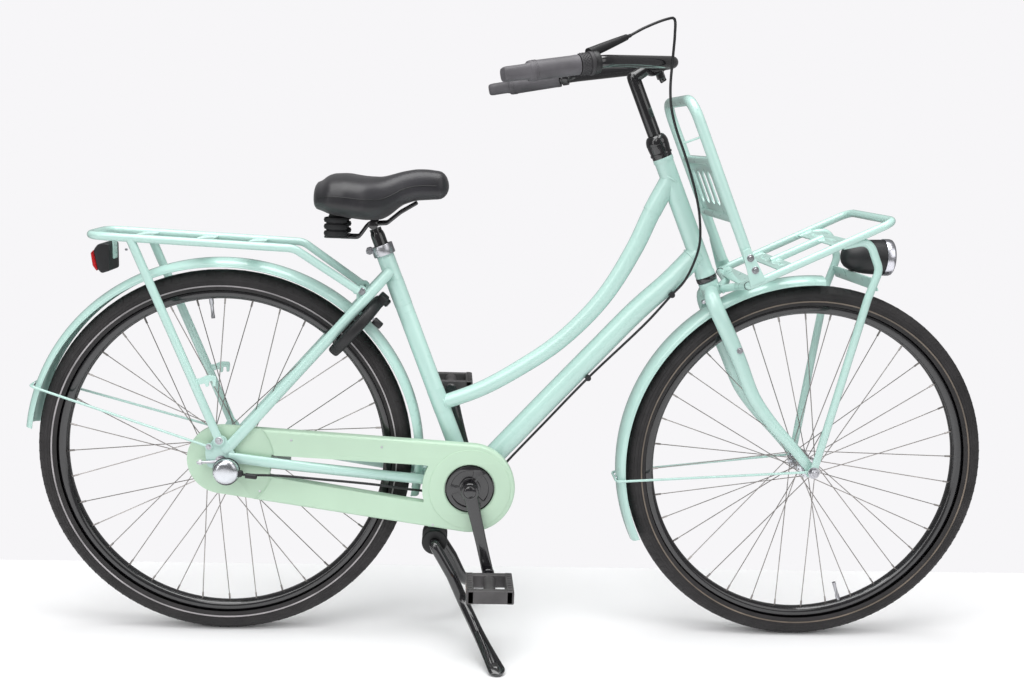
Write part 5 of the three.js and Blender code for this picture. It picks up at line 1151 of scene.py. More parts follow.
def case_loop(front, rear):
    """A loop round both wheels of the drive, with straight runs between them"""
    lean = math.acos((rear - front) / DRIVE_LENGTH)
    points = []
    for centre, radius, start, end in ((BRACKET, front, -lean, lean), (REAR_HUB, rear, lean, TURN - lean)):
        for i in range(LOOP_STEPS + 1):
            x, z = polar(radius, DRIVE_ANGLE + mix(start, end, i / LOOP_STEPS))
            points.append((centre.x + x, centre.z + z))
    return points


def window_loop(grow=0.0):
    """The window's outline: a tapering loop stopped short of both round ends"""
    near, far = WINDOW_NEAR - grow, WINDOW_FAR - grow
    direction = swung(1, DRIVE_ANGLE)
    across = vec(-direction.z, 0, direction.x)

    def half_at(place):
        return mix(*WINDOW_HALVES, place / DRIVE_LENGTH) + grow

    def front_end(half):
        return DRIVE_LENGTH - math.sqrt(near * near - half * half)

    def rear_end(half):
        return math.sqrt(far * far - half * half)

    def at(place, half):
        point = REAR_HUB + direction * place + across * half
        return point.x, point.z

    places = [mix(far, DRIVE_LENGTH - near, i / 24) for i in range(25)]
    edge = [(place, half_at(place)) for place in places]
    edge[0] = rear_end(edge[0][1]), edge[0][1]
    edge[-1] = front_end(edge[-1][1]), edge[-1][1]
    front_half, rear_half = edge[-1][1], edge[0][1]
    ring = [at(place, -half) for place, half in edge]
    for k in range(1, 8):
        half = front_half * mix(-1, 1, k / 8)
        ring.append(at(front_end(half), half))
    ring += [at(place, half) for place, half in edge[::-1]]
    for k in range(1, 6):
        half = rear_half * mix(1, -1, k / 6)
        ring.append(at(rear_end(half), half))
    return ring


def solid(form):
    """A form as a loose object to cut with or to be cut"""
    thing = bpy.data.objects.new("tool", mesh_of(form, "tool"))
    bpy.context.scene.collection.objects.link(thing)
    return thing


def cut_away(thing, *tools):
    for tool in tools:
        modifier = thing.modifiers.new("cut", "BOOLEAN")
        modifier.operation = "DIFFERENCE"
        modifier.solver = "EXACT"
        modifier.object = tool
    bpy.context.view_layer.update()
    graph = bpy.context.evaluated_depsgraph_get()
    mesh = bpy.data.meshes.new_from_object(thing.evaluated_get(graph), depsgraph=graph)
    thing.modifiers.clear()
    old = thing.data
    thing.data = mesh
    bpy.data.meshes.remove(old)
    return thing


def discard(*things):
    for thing in things:
        mesh = thing.data
        bpy.data.objects.remove(thing)
        bpy.data.meshes.remove(mesh)


def carved(form, tools, name, body, finish, node, angle):
    """A form with tools cut out of it, made one piece; the tools are used up"""
    blank = cut_away(solid(form), *tools)
    mesh = blank.data
    mesh.name = name
    mesh.materials.clear()
    bpy.data.objects.remove(blank)
    discard(*tools)
    return settle(finished(mesh, name, finish, angle), body, node)


def case_block(low, high, bevel, steps=2, inset=0.0):
    return Form().slab([case_loop(CASE_FRONT - inset, CASE_REAR - inset)], low, high, bevel, steps=steps)


def case_window(low, high, grow=0.0):
    return solid(Form().slab([soft_outline(window_loop(grow), 9, 5)], low, high, 0.05))


def case_room(low, high, bevel):
    """The room inside the case, which goes round the window's wall"""
    keep = case_window(-75, -20, CASE_WALL)
    room = cut_away(solid(case_block(low, high, bevel, inset=CASE_WALL)), keep)
    discard(keep)
    return room


def case_trim(low, high):
    x, z = CASE_TRIM
    return solid(Form().block(x, (low, high), z, 0.1))


def case_hole(radius, centre, low):
    return solid(Form().lathe([(0, low), (radius, low), (radius, -30), (0, -30)], centre, 48))


def chaincase():
    recess = Form().lathe([(0, -70), (RECESS_RADIUS, -70), (RECESS_RADIUS, -60.4),
                           (RECESS_RADIUS - 1.2, -59.6), (RECESS_RADIUS - 4, -55.4),
                           (RECESS_RADIUS - 5.2, RECESS_FLOOR), (0, RECESS_FLOOR)], REAR_HUB, 96)
    hole = Form().lathe([(0, -70), (DISC_HOLE, -70), (DISC_HOLE, -60.2), (47.6, -58), (47.6, -30),
                         (0, -30)], BRACKET, 72)
    tools = (case_trim(CASE_PART - CASE_JOINT, -30), solid(recess),
             case_room(RECESS_FLOOR + CASE_WALL, -36, 3.0), case_window(-70, -30), solid(hole),
             case_hole(12, REAR_HUB, -70))
    carved(case_block(CASE_OUT, CASE_PART - CASE_JOINT + CASE_LAP, 5.0, 5), tools, "chaincase_outer_cover",
           "frame", "case", "chaincase_outer", 34)
    tools = (case_trim(-70, CASE_PART + CASE_JOINT), case_room(-70, CASE_IN - CASE_WALL, 0.5),
             case_window(-70, -30), case_hole(21.5, BRACKET, -60), case_hole(23.5, REAR_HUB, -60))
    carved(case_block(CASE_PART - CASE_LAP, CASE_IN, 3.0, 4), tools, "chaincase_inner_cover", "frame",
           "case", "chaincase_inner", 34)
    disc = Form().slab([circle_outline(BRACKET.x, BRACKET.z, 78, 120),
                        circle_outline(BRACKET.x, BRACKET.z, DISC_HOLE, 90)], -61.2, -59.2, 0.9, steps=3)
    make(disc, "chaincase_front_disc", "frame", "case", angle=34)
    screws = Form()
    for x, z, y in CASE_SCREWS:
        screws.bolt(vec(x, y, z), (0, -1, 0), 2.2, 1.2, washer=False)
    make(screws, "chaincase_screws", "frame", "steel", angle=40)


# Cranks, chainring and sprocket

CRANK_LENGTH, CRANK_Y = 170, 73
CRANK_HUB = [(0, 62.2), (16.4, 62.2), (17, 63.4), (17, 79), (15.8, 80.4), (12, 81), (10.5, 79), (0, 79)]
CRANK_EYE = [(0, 66.2), (11.2, 66.2), (12, 67), (12, 79), (11, 80), (0, 80)]
CRANK_CAP = [(0, 78.4), (11.6, 78.4), (11.6, 80.6), (10, 82.2), (6, 83.2), (0, 83.6)]
TOOTH_PITCH, TOOTH_RISE = 12.7, 2.5
CHAINRING_TEETH, SPROCKET_TEETH = 38, 19
CHAIN_PLANE = (-47.2, -44.8)


def crank_arm(form, side, angle):
    end = BRACKET + swung(CRANK_LENGTH, angle)
    path = [BRACKET.lerp(end, share) + vec(0, side * CRANK_Y, 0) for share in np.linspace(-0.02, 1.02, 22)]
    form.loft(path, lambda share: (mix(14.5, 11.2, share) - 1.8 * math.sin(math.pi * share),
                                   mix(7.2, 5.6, share)), 20, vec(-math.sin(angle), 0, math.cos(angle)),
              power=0.62)
    for profile, centre, sides in ((CRANK_HUB, BRACKET, 44), (CRANK_EYE, end, 36)):
        form.lathe([(radius, side * along) for radius, along in profile], centre, sides)
    return end


def toothed(centre, teeth):
    """The outline of a toothed wheel for the chain, with six points a tooth"""
    pitch_radius = TOOTH_PITCH / 2 / math.sin(math.pi / teeth)
    outline = []
    for i in range(teeth * 6):
        angle = TURN * i / (teeth * 6)
        x, z = polar(pitch_radius + TOOTH_RISE * math.cos(angle * teeth), angle)
        outline.append((centre.x + x, centre.z + z))
    return outline


def crank_pocket(index):
    """One of three pockets in the cover between the cranks"""
    start = TURN * index / 3 + CRANK_ANGLE + math.pi / 6 + TURN / 3 * 0.04
    pocket = [polar(36, start + TURN / 4 * k / 14) for k in range(15)]
    pocket += [polar(21, start + TURN / 4 * (14 - k) / 14) for k in range(15)]
    return soft_outline([(BRACKET.x + x, BRACKET.z + z) for x, z in pocket], 2.2)


def cranks():
    """Both arms on their axle, with the chainring and its cover"""
    for name, side, angle in (("right", -1, CRANK_ANGLE), ("left", 1, CRANK_ANGLE + math.pi)):
        arm = Form()
        end = crank_arm(arm, side, angle)
        arm.bar(end + vec(0, side * 78, 0), end + vec(0, side * 186, 0), 5, 20, 1)
        if side > 0:
            arm.bar(BRACKET + vec(0, -62, 0), BRACKET + vec(0, 64, 0), 8, 28, 1)
        arm.lathe(CRANK_CAP, BRACKET, 36, (0, side, 0))
        make(arm, f"crank_{name}", "crankset", ("black", "steel"), f"{name}_crank", 40)
    ring = Form()
    x, z = BRACKET.x, BRACKET.z
    ring.slab([toothed(BRACKET, CHAINRING_TEETH), circle_outline(x, z, 20, 40)], *CHAIN_PLANE, 0.3)
    ring.hoop([(9, -44.9), (25, -44.9), (25, -53), (9, -53)], BRACKET, 44)
    pockets = [crank_pocket(i) for i in range(3)]
    ring.slab([circle_outline(x, z, 45, 72), *pockets, circle_outline(x, z, 9, 32)], -58, -54.6, 1.1)
    ring.hoop([(9, -52), (44.6, -52), (44.6, -55), (9, -55)], BRACKET, 72)
    make(ring, "chainring_and_cover", "crankset", "black", "chainring", 34)


def driver():
    """The rear sprocket on its carrier"""
    teeth = toothed(REAR_HUB, SPROCKET_TEETH)
    sprocket = Form().slab([teeth, circle_outline(0, HUB_Z, 10, 32)], *CHAIN_PLANE, 0.3)
    sprocket.hoop([(5.4, -40.4), (18, -40.4), (18, -52.2), (5.4, -52.2)], REAR_HUB, 40)
    make(sprocket, "driver_sprocket", "sprocket", "steel", "rear_sprocket", 34)


# Pedals

PEDAL_INNER, PEDAL_OUTER = 98, 192
PEDAL_HALF, PEDAL_RISE, PEDAL_BAR = 44, 13, 14
LENS_ROOM, LENS_ROOM_RISE = 20.4, 7.4


def pedal(name, centre, side):
    """Two treaded bars and two cross bars round the sleeve, with a reflector let in the rear bar"""
    body = f"pedal_{name}"
    low, high = sorted((PEDAL_INNER * side, PEDAL_OUTER * side))
    middle = (low + high) / 2
    rear, front = centre.x - PEDAL_HALF, centre.x + PEDAL_HALF
    level = spread(centre.z, PEDAL_RISE)
    form = Form()
    form.block((rear + 2.4, rear + PEDAL_BAR), (low, high), level, 2.0)
    for span in ((low, middle - LENS_ROOM), (middle + LENS_ROOM, high)):
        form.block((rear, rear + 3), span, level, 0.8)
    for z0, z1 in ((-PEDAL_RISE, -LENS_ROOM_RISE), (LENS_ROOM_RISE, PEDAL_RISE)):
        form.block((rear, rear + 3), spread(middle, 21), (centre.z + z0, centre.z + z1), 0.8)
    pedal_tread(form, rear, centre.z, low, high)
    form.block((front - PEDAL_BAR, front), (low, high), level, 2.4)
    pedal_tread(form, front - PEDAL_BAR, centre.z, low, high)
    for place in (low, high - 14):
        form.block(spread(centre.x, 42), (place, place + 14), spread(centre.z, 12.4), 2.4)
    form.hoop([(5.4, low + 0.5), (12, low + 0.5), (12.4, low + 6), (10.8, middle), (12.4, high - 6),
               (12, high - 0.5), (5.4, high - 0.5)], centre, 28)
    make(form, f"{name}_pedal_body", body, "pedal", f"{name}_pedal", 36)
    lens = Form().block((rear, rear + 1.8), spread(middle, 19.6), spread(centre.z, 6.8), 0.6)
    make(lens, f"{name}_pedal_lens", body, "amber", f"{name}_pedal_reflector", 36)


def pedal_tread(form, x, z, low, high):
    """Eight ridges above and below a bar"""
    for k in range(8):
        y = mix(low + 7, high - 7, k / 7)
        for span in ((z - 14.2, z - 12.4), (z + 12.4, z + 14.2)):
            form.block((x + 3.5, x + PEDAL_BAR - 3.5), spread(y, 2), span, 0.5)


# Mudguards


GUARD_HALF, GUARD_DEPTH, GUARD_WALL = 29.0, 15.0, 1.4
GUARD_STEPS = 22


def guard_section():
    """(rise, along) points of the crowned section, outside and then back inside"""
    outer, inner = [], []
    for i in range(GUARD_STEPS + 1):
        angle = mix(-math.pi / 2, math.pi / 2, i / GUARD_STEPS)
        along, rise = math.sin(angle), math.cos(angle)
        soft = math.copysign(abs(along) ** 0.9, along)
        at_edge = rise <= ON_AXIS
        level = -GUARD_DEPTH if at_edge else GUARD_DEPTH * (rise ** 0.82 - 1)
        outer.append((level, soft * GUARD_HALF))
        inner.append((level if at_edge else level - GUARD_WALL, soft * (GUARD_HALF - GUARD_WALL)))
    return outer + inner[::-1]


def mudguard(name, body, centre, radius, start, end, node):
    """A blade of a fixed section with a rolled edge on each side"""
    section = guard_section()
    start, end = math.radians(start), math.radians(end)
    steps = max(24, int((end - start) / math.radians(1.6)))
    angles = [mix(start, end, i / steps) for i in range(steps + 1)]
    form = Form().loop([[centre + swung(radius + rise, angle, along) for rise, along in section]
                        for angle in angles])
    for side in SIDES:
        edge = [centre + swung(radius - GUARD_DEPTH, angle, side * 28.2) for angle in angles]
        form.tube(edge, 1.5, 10, round_ends=True)
    make(form, name, body, "mint", node, 42)


def guard_wire(name, body, centre, radius, angle, foot, node, hole=0.0):
    """A wire stay from one eye, over the blade, to the other"""
    angle = math.radians(angle)
    top = centre + swung(radius + 3, angle)
    form = Form()
    corners = [foot(-1), top + vec(0, -35, 0), top + vec(0, 35, 0), foot(1)]
    form.tube(bent(corners, 12, 8), 2.4, 14)
    for side in SIDES:
        form.lathe([(hole, -1.5), (7, -1.5), (7, 1.5), (hole, 1.5)], foot(side), 28, ring=hole > 0)
    make(form, name, body, "mint", node, 50)
    bolts = Form()
    out = swung(1, angle)
    for side in SIDES:
        place = centre + swung(radius + 1.6, angle, side * 12) - out * (1 - math.cos(0.4)) * GUARD_DEPTH
        bolts.bolt(place, out, 2.6, 2)
        if not hole:
            bolts.bolt(foot(side) + vec(0, side * 1.6, 0), (0, side, 0), 3.2, 3)
    make(bolts, f"{name}_bolts", body, "steel", angle=40)


def mudguards():
    mudguard("rear_guard_blade", "frame", REAR_HUB, GUARD_REAR_RADIUS, -11.5, 172.5, "rear_mudguard")
    guard_wire("rear_guard_wire", "frame", REAR_HUB, GUARD_REAR_RADIUS, 160,
               lambda side: vec(-22, side * 68.3, 385), "rear_mudguard_stay")
    mudguard("front_guard_blade", "steering", FRONT_HUB, GUARD_FRONT_RADIUS, 88.5, 205.5, "front_mudguard")
    guard_wire("front_guard_wire", "steering", FRONT_HUB, GUARD_FRONT_RADIUS, 185.4,
               lambda side: FRONT_HUB + vec(0, side * 65.7, 0), "front_mudguard_stay", 5.2)


# Rear rack and its light

RACK_HALF = 69
RACK_HOOK_SHARES = [(-0.1, 0.3), (0.2, 0.32), (0.5, 0.46), (0.86, 0.46), (0.9, 0.34), (0.86, 0.0),
                    (0.74, 0.0), (0.74, 0.22), (0.6, 0.22), (0.58, -0.02), (0.46, -0.04), (0.42, 0.12),
                    (0.02, 0.0), (-0.06, 0.0)]
RACK_EYE_SHARES = [(-2, 0), (-0.7, 1), (0.9, 0.5), (0.9, -0.3), (-0.2, -0.7), (-1.6, -0.8)]
RACK_REAR, RACK_KNEE = (-236, 419), (136, 405.5)
RACK_PLATES = (0.23, 0.53, 0.785)
RACK_LEG_STATIONS = (0, 0.3, 0.6, 0.88, 0.92, 0.95, 0.97, 1)
PLATE_HALF, PLATE_THICK = 14, 1.5
LAMP_PLATE_X = (-206, -204)
TAIL_HOUSING_SHARES = [(-0.545, -0.25), (-0.4, -0.05), (-0.15, 0), (0, -0.05), (0, -0.95), (-0.3, -1.05),
                       (-0.42, -0.9)]
TAIL_GLASS_SHARES = [(-0.66, -0.36), (-0.556, -0.25), (-0.426, -0.9), (-0.47, -0.98), (-0.6, -0.8)]


def rack_rail(share, side=0):
    return vec(mix(RACK_REAR[0], RACK_KNEE[0], share), side * RACK_HALF,
               HUB_Z + mix(RACK_REAR[1], RACK_KNEE[1], share))


def shaped(shares, size, x, z):
    """An outline given in shares of a size, from a place"""
    return [(x + a * size, z + b * size) for a, b in shares]


def cross_plate(form, middle, slope, half, holes=()):
    """A flat plate across two rails, turned with their slope"""
    plate = Form(Matrix.Translation(middle) @ Matrix.Rotation(-slope, 4, "Y"))
    outline = rounded(-PLATE_HALF, PLATE_HALF, -half, half, 3)
    plate.slab([outline, *holes], -PLATE_THICK, PLATE_THICK, 0.7, plane="XY")
    form.add(plate.points, plate.faces)


def rear_rack(sizes):
    form = Form()
    ends = [vec(252.5, side * 49.8, 684) for side in SIDES]
    corners = [ends[0], rack_rail(1, -1), rack_rail(0, -1), rack_rail(0, 1), rack_rail(1, 1), ends[1]]
    form.tube(bent(corners, 38, 12), sizes.rack_tube, 22)
    run = rack_rail(1) - rack_rail(0)
    for share in RACK_PLATES:
        cross_plate(form, rack_rail(share), math.atan2(run.z, run.x), RACK_HALF)
    for side in SIDES:
        rack_leg(form, side)
    level = rack_rail(0).z
    form.block((RACK_REAR[0], LAMP_PLATE_X[1]), (-13, 13), (level - 3, level), 0.8)
    holes = [circle_outline(y, z, 2.6, 14) for y in (-7, 7) for z in (level - 14, level - 26, level - 38)]
    form.slab([rounded(-13, 13, level - 48, level, 3), *holes], *LAMP_PLATE_X, 0.3, plane="YZ")
    make(form, "rear_rack_tubes", "frame", "mint", "rear_rack", 42)
    bolts = Form()
    for side in SIDES:
        bolts.bolt(vec(-3, side * 70, HUB_Z + 41), (0, side, 0), 4.2, 3.4)
        bolts.bolt(vec(-163, side * 77, 752), (0, side, 0), 2.6, 1.6, washer=False)
    make(bolts, "rear_rack_bolts", "frame", "steel", angle=40)
    tail_light(level - 17)


def rack_leg(form, side):
    """A leg flattened towards its foot, with its hook plate and the eye that holds the rail's end"""
    top = vec(-159, side * RACK_HALF, rack_rail(0.2).z)
    foot = vec(-3, side * 67.8, HUB_Z + 41)
    path = [top.lerp(foot, share) for share in RACK_LEG_STATIONS]
    form.loft(path, lambda share: (8 if share < 0.5 else (5.4 if share < 0.68 else 2), 8), 22)
    form.lathe([(0, -2), (10, -2), (10, 2), (0, 2)], foot, 32)
    hook = top.lerp(foot, 1 - 104 / (top.z - foot.z))
    form.slab([soft_outline(shaped(RACK_HOOK_SHARES, 44, hook.x, hook.z), 2.5, 3)], *spread(hook.y, 1.5),
              0.5)
    form.slab([soft_outline(shaped(RACK_EYE_SHARES, 9, 258, 684), 3)], *spread(side * 43.8, 1.5), 0.5)


def tail_light(top):
    edge = LAMP_PLATE_X[1] - 2.3
    lamp = Form().slab([soft_outline(shaped(TAIL_HOUSING_SHARES, 54, edge, top), 4)], -32, 32, 3, steps=4)
    make(lamp, "tail_light_housing", "frame", "plastic", "tail_light_body", 40)
    lens = Form().slab([soft_outline(shaped(TAIL_GLASS_SHARES, 54, edge, top), 2)], -29, 29, 2, steps=4)
    make(lens, "tail_light_glass", "frame", "red", "tail_light_lens", 40)


# Ring lock, in its own plane

LOCK_RADIUS = 61
LOCK_KNOB = math.radians(-48)
KNOB_PROFILE = [(0, -33), (5.4, -33), (7, -31.4), (7, -15.4), (5.6, -14), (0, -14)]


def lock_arc(start, end, count, rise=0):
    return [vec(*polar(LOCK_RADIUS, math.radians(angle)), rise) for angle in np.linspace(start, end, count)]


def ring_lock():
    """The horseshoe with the bar's tunnel and slot, its head with the key's cylinder, and the bar"""
    lean = math.pi / 2 - math.atan2(LOCK_AXIS.z, -LOCK_AXIS.x)
    into = Matrix.Translation(LOCK_AT) @ Matrix.Rotation(-lean, 4, "Y")
    shell = Form(into).loft(lock_arc(-150, 150, 72),
                            lambda share: (11, 14 - 3 * (abs(share - 0.5) * 2) ** 6), 24, UPWARD, power=0.6)
    tunnel = solid(Form(into).loft(lock_arc(-155, 155, 90), (4.4, 4.4), 16, UPWARD))
    slot = solid(Form(into).loft(lock_arc(-124, -42, 30, -9), (9, 3.5), 12, UPWARD))
    carved(shell, (tunnel, slot), "ring_lock_horseshoe", "frame", "plastic", "ring_lock_body", 46)
    head = Form(into)
    head.slab([soft_outline([(62, -24), (84, -20), (86, 0), (84, 20), (62, 24)], 6)], -11, 7, 3, plane="XY",
              steps=4)
    head.lathe([(0, -17), (7, -17), (8, -16), (8, -8), (0, -8)], vec(75, 0, 0), 28, UPWARD)
    for side in SIDES:
        head.lathe([(0, 8), (6, 8), (6.6, 12), (6.2, 14.2), (0, 14.2)], vec(23, side * 46, 0), 20, UPWARD)
    make(head, "ring_lock_head", "frame", "plastic", angle=46)
    key = Form(into).lathe([(0, -18.2), (5.6, -18.2), (5.6, -16.8), (0, -16.8)], vec(75, 0, 0), 28, UPWARD)
    make(key, "ring_lock_cylinder", "frame", "steel", angle=40)
    bar = Form(into).tube(lock_arc(-146, -44, 40), 3.6, 16, round_ends=True)
    knob = vec(*polar(LOCK_RADIUS, LOCK_KNOB), 0)
    bar.bar(knob, knob - vec(0, 0, 20), 3, 16)
    bar.lathe(KNOB_PROFILE, knob, 24, UPWARD, 1)
    make(bar, "ring_lock_bar", "shackle", ("steel", "plastic"), "ring_lock_shackle", 46)


# Seat

SADDLE_LENGTH, SADDLE_HALF, SADDLE_HEIGHT = 250, 104, 91
SADDLE_SHARES = [
    (0.0, 0.6, 0.62, 0.28), (0.045, 0.77, 0.73, 0.17), (0.12, 0.95, 0.91, 0.08), (0.25, 1, 0.96, 0.02),
    (0.38, 0.93, 0.92, -0.02), (0.5, 0.7, 0.9, -0.01), (0.57, 0.56, 0.94, 0.1), (0.65, 0.42, 1.0, 0.3),
    (0.75, 0.34, 1.05, 0.4), (0.84, 0.31, 1.05, 0.42), (0.92, 0.28, 1.02, 0.44), (1.0, 0.26, 0.98, 0.46)]
SADDLE_ENDS = (0.045, 0.915)
SADDLE_CAPS = ((18, 0.31), (36, 0.59), (54, 0.81), (72, 0.95), (84, 0.995))
SADDLE_STEPS, SADDLE_AROUND = 64, 44
NOSE_PUSH, TAIL_PUSH = 21, 11
SKIRT_LEVEL = 0.34
RAIL_PLACES = ((0.76, 0.4, 12), (0.64, 0.2, 20), (0.54, -0.03, 20), (0.4, -0.06, 20), (0.33, -0.332, 20),
               (0.2, -0.332, 20))
RAIL_CLAMP = [(0, -29), (8, -29), (9, -28), (9, -18), (6.5, -16), (6.5, 16), (9, 18), (9, 28), (8, 29),
              (0, 29)]
BUMPER_BEADS = ((0.2, 10.5), (12.5, 23), (25, 35.2))


def saddle_at(along, rise):
    return SEAT_TOP + vec(-128 + along * SADDLE_LENGTH, 0, 149 - SADDLE_HEIGHT + rise * SADDLE_HEIGHT)


def saddle_table():
    """Share along, width, top and bottom of each station, evened out over five neighbours"""
    alongs = [row[0] for row in SADDLE_SHARES]
    rows = []
    for k in range(SADDLE_STEPS + 1):
        share = mix(*SADDLE_ENDS, k / SADDLE_STEPS)
        rows.append([share, *(np.interp(share, alongs, [row[c] for row in SADDLE_SHARES])
                              for c in (1, 2, 3))])
    table = np.array(rows)
    for column in (1, 2, 3):
        padded = np.r_[[table[0, column]] * 2, table[:, column], [table[-1, column]] * 2]
        table[:, column] = np.convolve(padded, np.ones(5) / 5, "valid")
    return table


def saddle_ring(share, width, top, bottom):
    """One section: a crown with its channel and dish above, drawn in to the skirt below"""
    ring = []
    for side, rise in ring_of(SADDLE_AROUND):
        across = math.copysign(abs(side) ** 0.8, side)
        if rise >= 0:
            level = mix(SKIRT_LEVEL, 1, rise ** 0.78)
            channel = math.exp(-(across * width / 0.1) ** 2) * 0.05 * max(0, 1 - abs(share - 0.42) / 0.45)
            dish = 0.07 * math.exp(-((share - 0.36) / 0.2) ** 2) * (1 - abs(across)) * rise
            level -= channel * rise + dish
        else:
            level = SKIRT_LEVEL * (1 - (-rise) ** 0.8)
            across *= 1 - 0.1 * (-rise)
        place = saddle_at(share, mix(bottom, top, level))
        place.y = across * width * SADDLE_HALF
        ring.append(place)
    return ring


def saddle_cap(ring, push):
    """Rings that round off an end of the cover"""
    middle = sum(ring, Vector()) / len(ring)
    return [[middle + (point - middle) * math.cos(math.radians(angle)) + vec(reach * push, 0, 0)
             for point in ring] for angle, reach in SADDLE_CAPS]


def saddle_cover():
    rings = [saddle_ring(*row) for row in saddle_table()]
    nose, tail = saddle_cap(rings[-1], NOSE_PUSH), saddle_cap(rings[0], -TAIL_PUSH)
    form = Form().loop(tail[::-1] + rings + nose)
    cover = make(form, "saddle_cover", "seat", "saddle", "saddle", 70)
    seam = Form()
    welted = rings[1:-1]
    for index, side in ((SADDLE_AROUND // 2 - 1, -1), (1, 1)):
        seam.tube([ring[index] + vec(0, side * 0.2, 0) for ring in welted], 1.0, 8, round_ends=True)
    make(seam, "saddle_welt", "seat", "plastic", angle=60)


def saddle_under():
    """The rails with their clamp and rear plate, the rubber bumpers, the post and its collar"""
    form = Form()
    for side in SIDES:
        path = [saddle_at(along, rise) + vec(0, side * half, -3.8) for along, rise, half in RAIL_PLACES]
        form.tube(bent(path, 9, 8), 3.5, 18)
    clamp = saddle_at(0.44, -0.1)
    form.lathe(RAIL_CLAMP, clamp, 32)
    base = saddle_at(0.17, 0.055) - vec(0, 0, 36)
    form.slab([rounded(*spread(base.x, 22), -42, 42, 8)], base.z - 4.3, base.z - 0.3, 1.2, plane="XY")
    make(form, "saddle_rail_wires", "seat", "black", "saddle_rails", 46)
    profile = [(0, 0.2)]
    for low, high in BUMPER_BEADS:
        profile += [(17.5, low), (20.6, low + 1), (22, (low + high) / 2), (20.6, high - 1), (17.5, high)]
    profile.append((0, 35.2))
    for name, side in (("right", -1), ("left", 1)):
        bumper = Form().lathe(profile, base + vec(0, side * 42, 0), 44, UPWARD)
        make(bumper, f"saddle_bumper_{name}", "seat", "bumper", f"saddle_spring_{name}", 50)
    rise = (clamp - SEAT_TOP).dot(SEAT_AXIS) - 9.3
    post = Form().lathe([(0, -110), (13.4, -110), (13.4, rise - 14), (12.6, rise - 9), (11.2, rise - 6),
                         (11.2, rise), (0, rise)], SEAT_TOP, 40, SEAT_AXIS)
    make(post, "seat_post_tube", "seat", "black", "seat_post", 40)
    collar = Form().hoop([(16.9, -10), (20.4, -10), (21, -9.2), (21, 9.2), (20.4, 10), (14.1, 10),
                          (14.1, 0.8), (16.9, 0.8)], SEAT_TOP, 44, SEAT_AXIS)
    for side in SIDES:
        collar.block((SEAT_TOP.x - 31, SEAT_TOP.x - 17), sorted((side * 2, side * 8)),
                     (SEAT_TOP.z - 8, SEAT_TOP.z + 3), 1.4)
    for side in SIDES:
        collar.bolt(SEAT_TOP + vec(-25, side * 8, -2.5), (0, side, 0), 4, 4)
    make(collar, "seat_clamp_collar", "frame", "steel", "seat_clamp", 40)


# Stand

STAND_SHARES = [(0.301, -0.0146, 0.055), (0.5408, -0.0533, 0.085), (0.7549, -0.0409, 0.44), (1, 0, 1)]
STAND_KNEE, STAND_SPREAD, STAND_REACH = 46, 217, 125
STAND_BENDS = [60, 40, 16, 11, 11, 16, 40, 60]
STAND_HALVES = {"bar": 8.8, "leg": 11, "foot_wide": 17, "foot_thick": 4.6}
STAND_EYE_AT, STAND_EYE = 21, 6.2


def stand_path():
    """Points from one foot over the cross bar to the other, closer together near the feet"""
    foot = vec(STAND_REACH, 0, 3.6 - STAND_AT.z)

    def leg(side):
        points = beside(vec(0, 0, 0), foot, [(a, b) for a, b, _ in STAND_SHARES])
        for point, (_, _, share) in zip(points, STAND_SHARES):
            point.y = side * mix(STAND_KNEE, STAND_SPREAD, share)
        return points

    corners = [vec(0, side * STAND_KNEE, 0) for side in SIDES]
    path = bent([*leg(-1)[::-1], *corners, *leg(1)], STAND_BENDS, 8)
    fine = []
    for a, b in zip(path, path[1:]):
        near_foot = a == path[0] or b == path[-1]
        steps = max(1, int((b - a).length / (2 if near_foot else 7)))
        fine += [a.lerp(b, k / steps) for k in range(steps)]
    return [*fine, path[-1]]


def stand():
    """One bent bar whose ends are flattened to round feet with an eye, cut off level with the floor"""
    path = stand_path()
    rings = []
    for k, centre in enumerate(path):
        tangent = heading(path, k)
        side = (Vector(AHEAD) - tangent * tangent.x).normalized()
        plane = tangent.cross(side)
        out = (abs(centre.y) - STAND_KNEE) / (STAND_SPREAD - STAND_KNEE)
        flat = min(1, max(0, (out - 0.36) / 0.64))
        wide = mix(STAND_HALVES["leg"], STAND_HALVES["foot_wide"], flat ** 1.6)
        thick = mix(STAND_HALVES["leg"], STAND_HALVES["foot_thick"], flat ** 0.7)
        if abs(centre.y) < STAND_KNEE * 0.85:
            wide = thick = STAND_HALVES["bar"]
        left = min((centre - path[0]).length, (centre - path[-1]).length)
        wide *= math.sqrt(max(0.12, 1 - max(0, 1 - left / 15) ** 2))
        rings.append([STAND_AT + centre + side * (u * wide) + plane * (w * thick) for u, w in ring_of(22)])
    floor = solid(Form().block((200, 800), (-400, 400), (-60, 0), 0.05))
    eyes = Form()
    for end, before in ((path[0], path[9]), (path[-1], path[-10])):
        tangent = (end - before).normalized()
        plane = tangent.cross((Vector(AHEAD) - tangent * tangent.x).normalized())
        hole = STAND_AT + end - tangent * STAND_EYE_AT
        eyes.loft([hole - plane * 14, hole + plane * 14], (STAND_EYE, STAND_EYE), 24, tangent)
    carved(Form().loop(rings), (floor, solid(eyes)), "stand_double_legs", "stand", "black", "stand_legs",
           60)
    housing = Form().hoop([(9.4, -32), (23, -32), (25, -30), (25, -12), (23.6, -10), (23.6, 10), (25, 12),
                           (25, 30), (23, 32), (9.4, 32)], STAND_AT, 52)
    make(housing, "stand_pivot_housing", "frame", "plastic", "stand_housing", 40)


# Fork, stem, bar

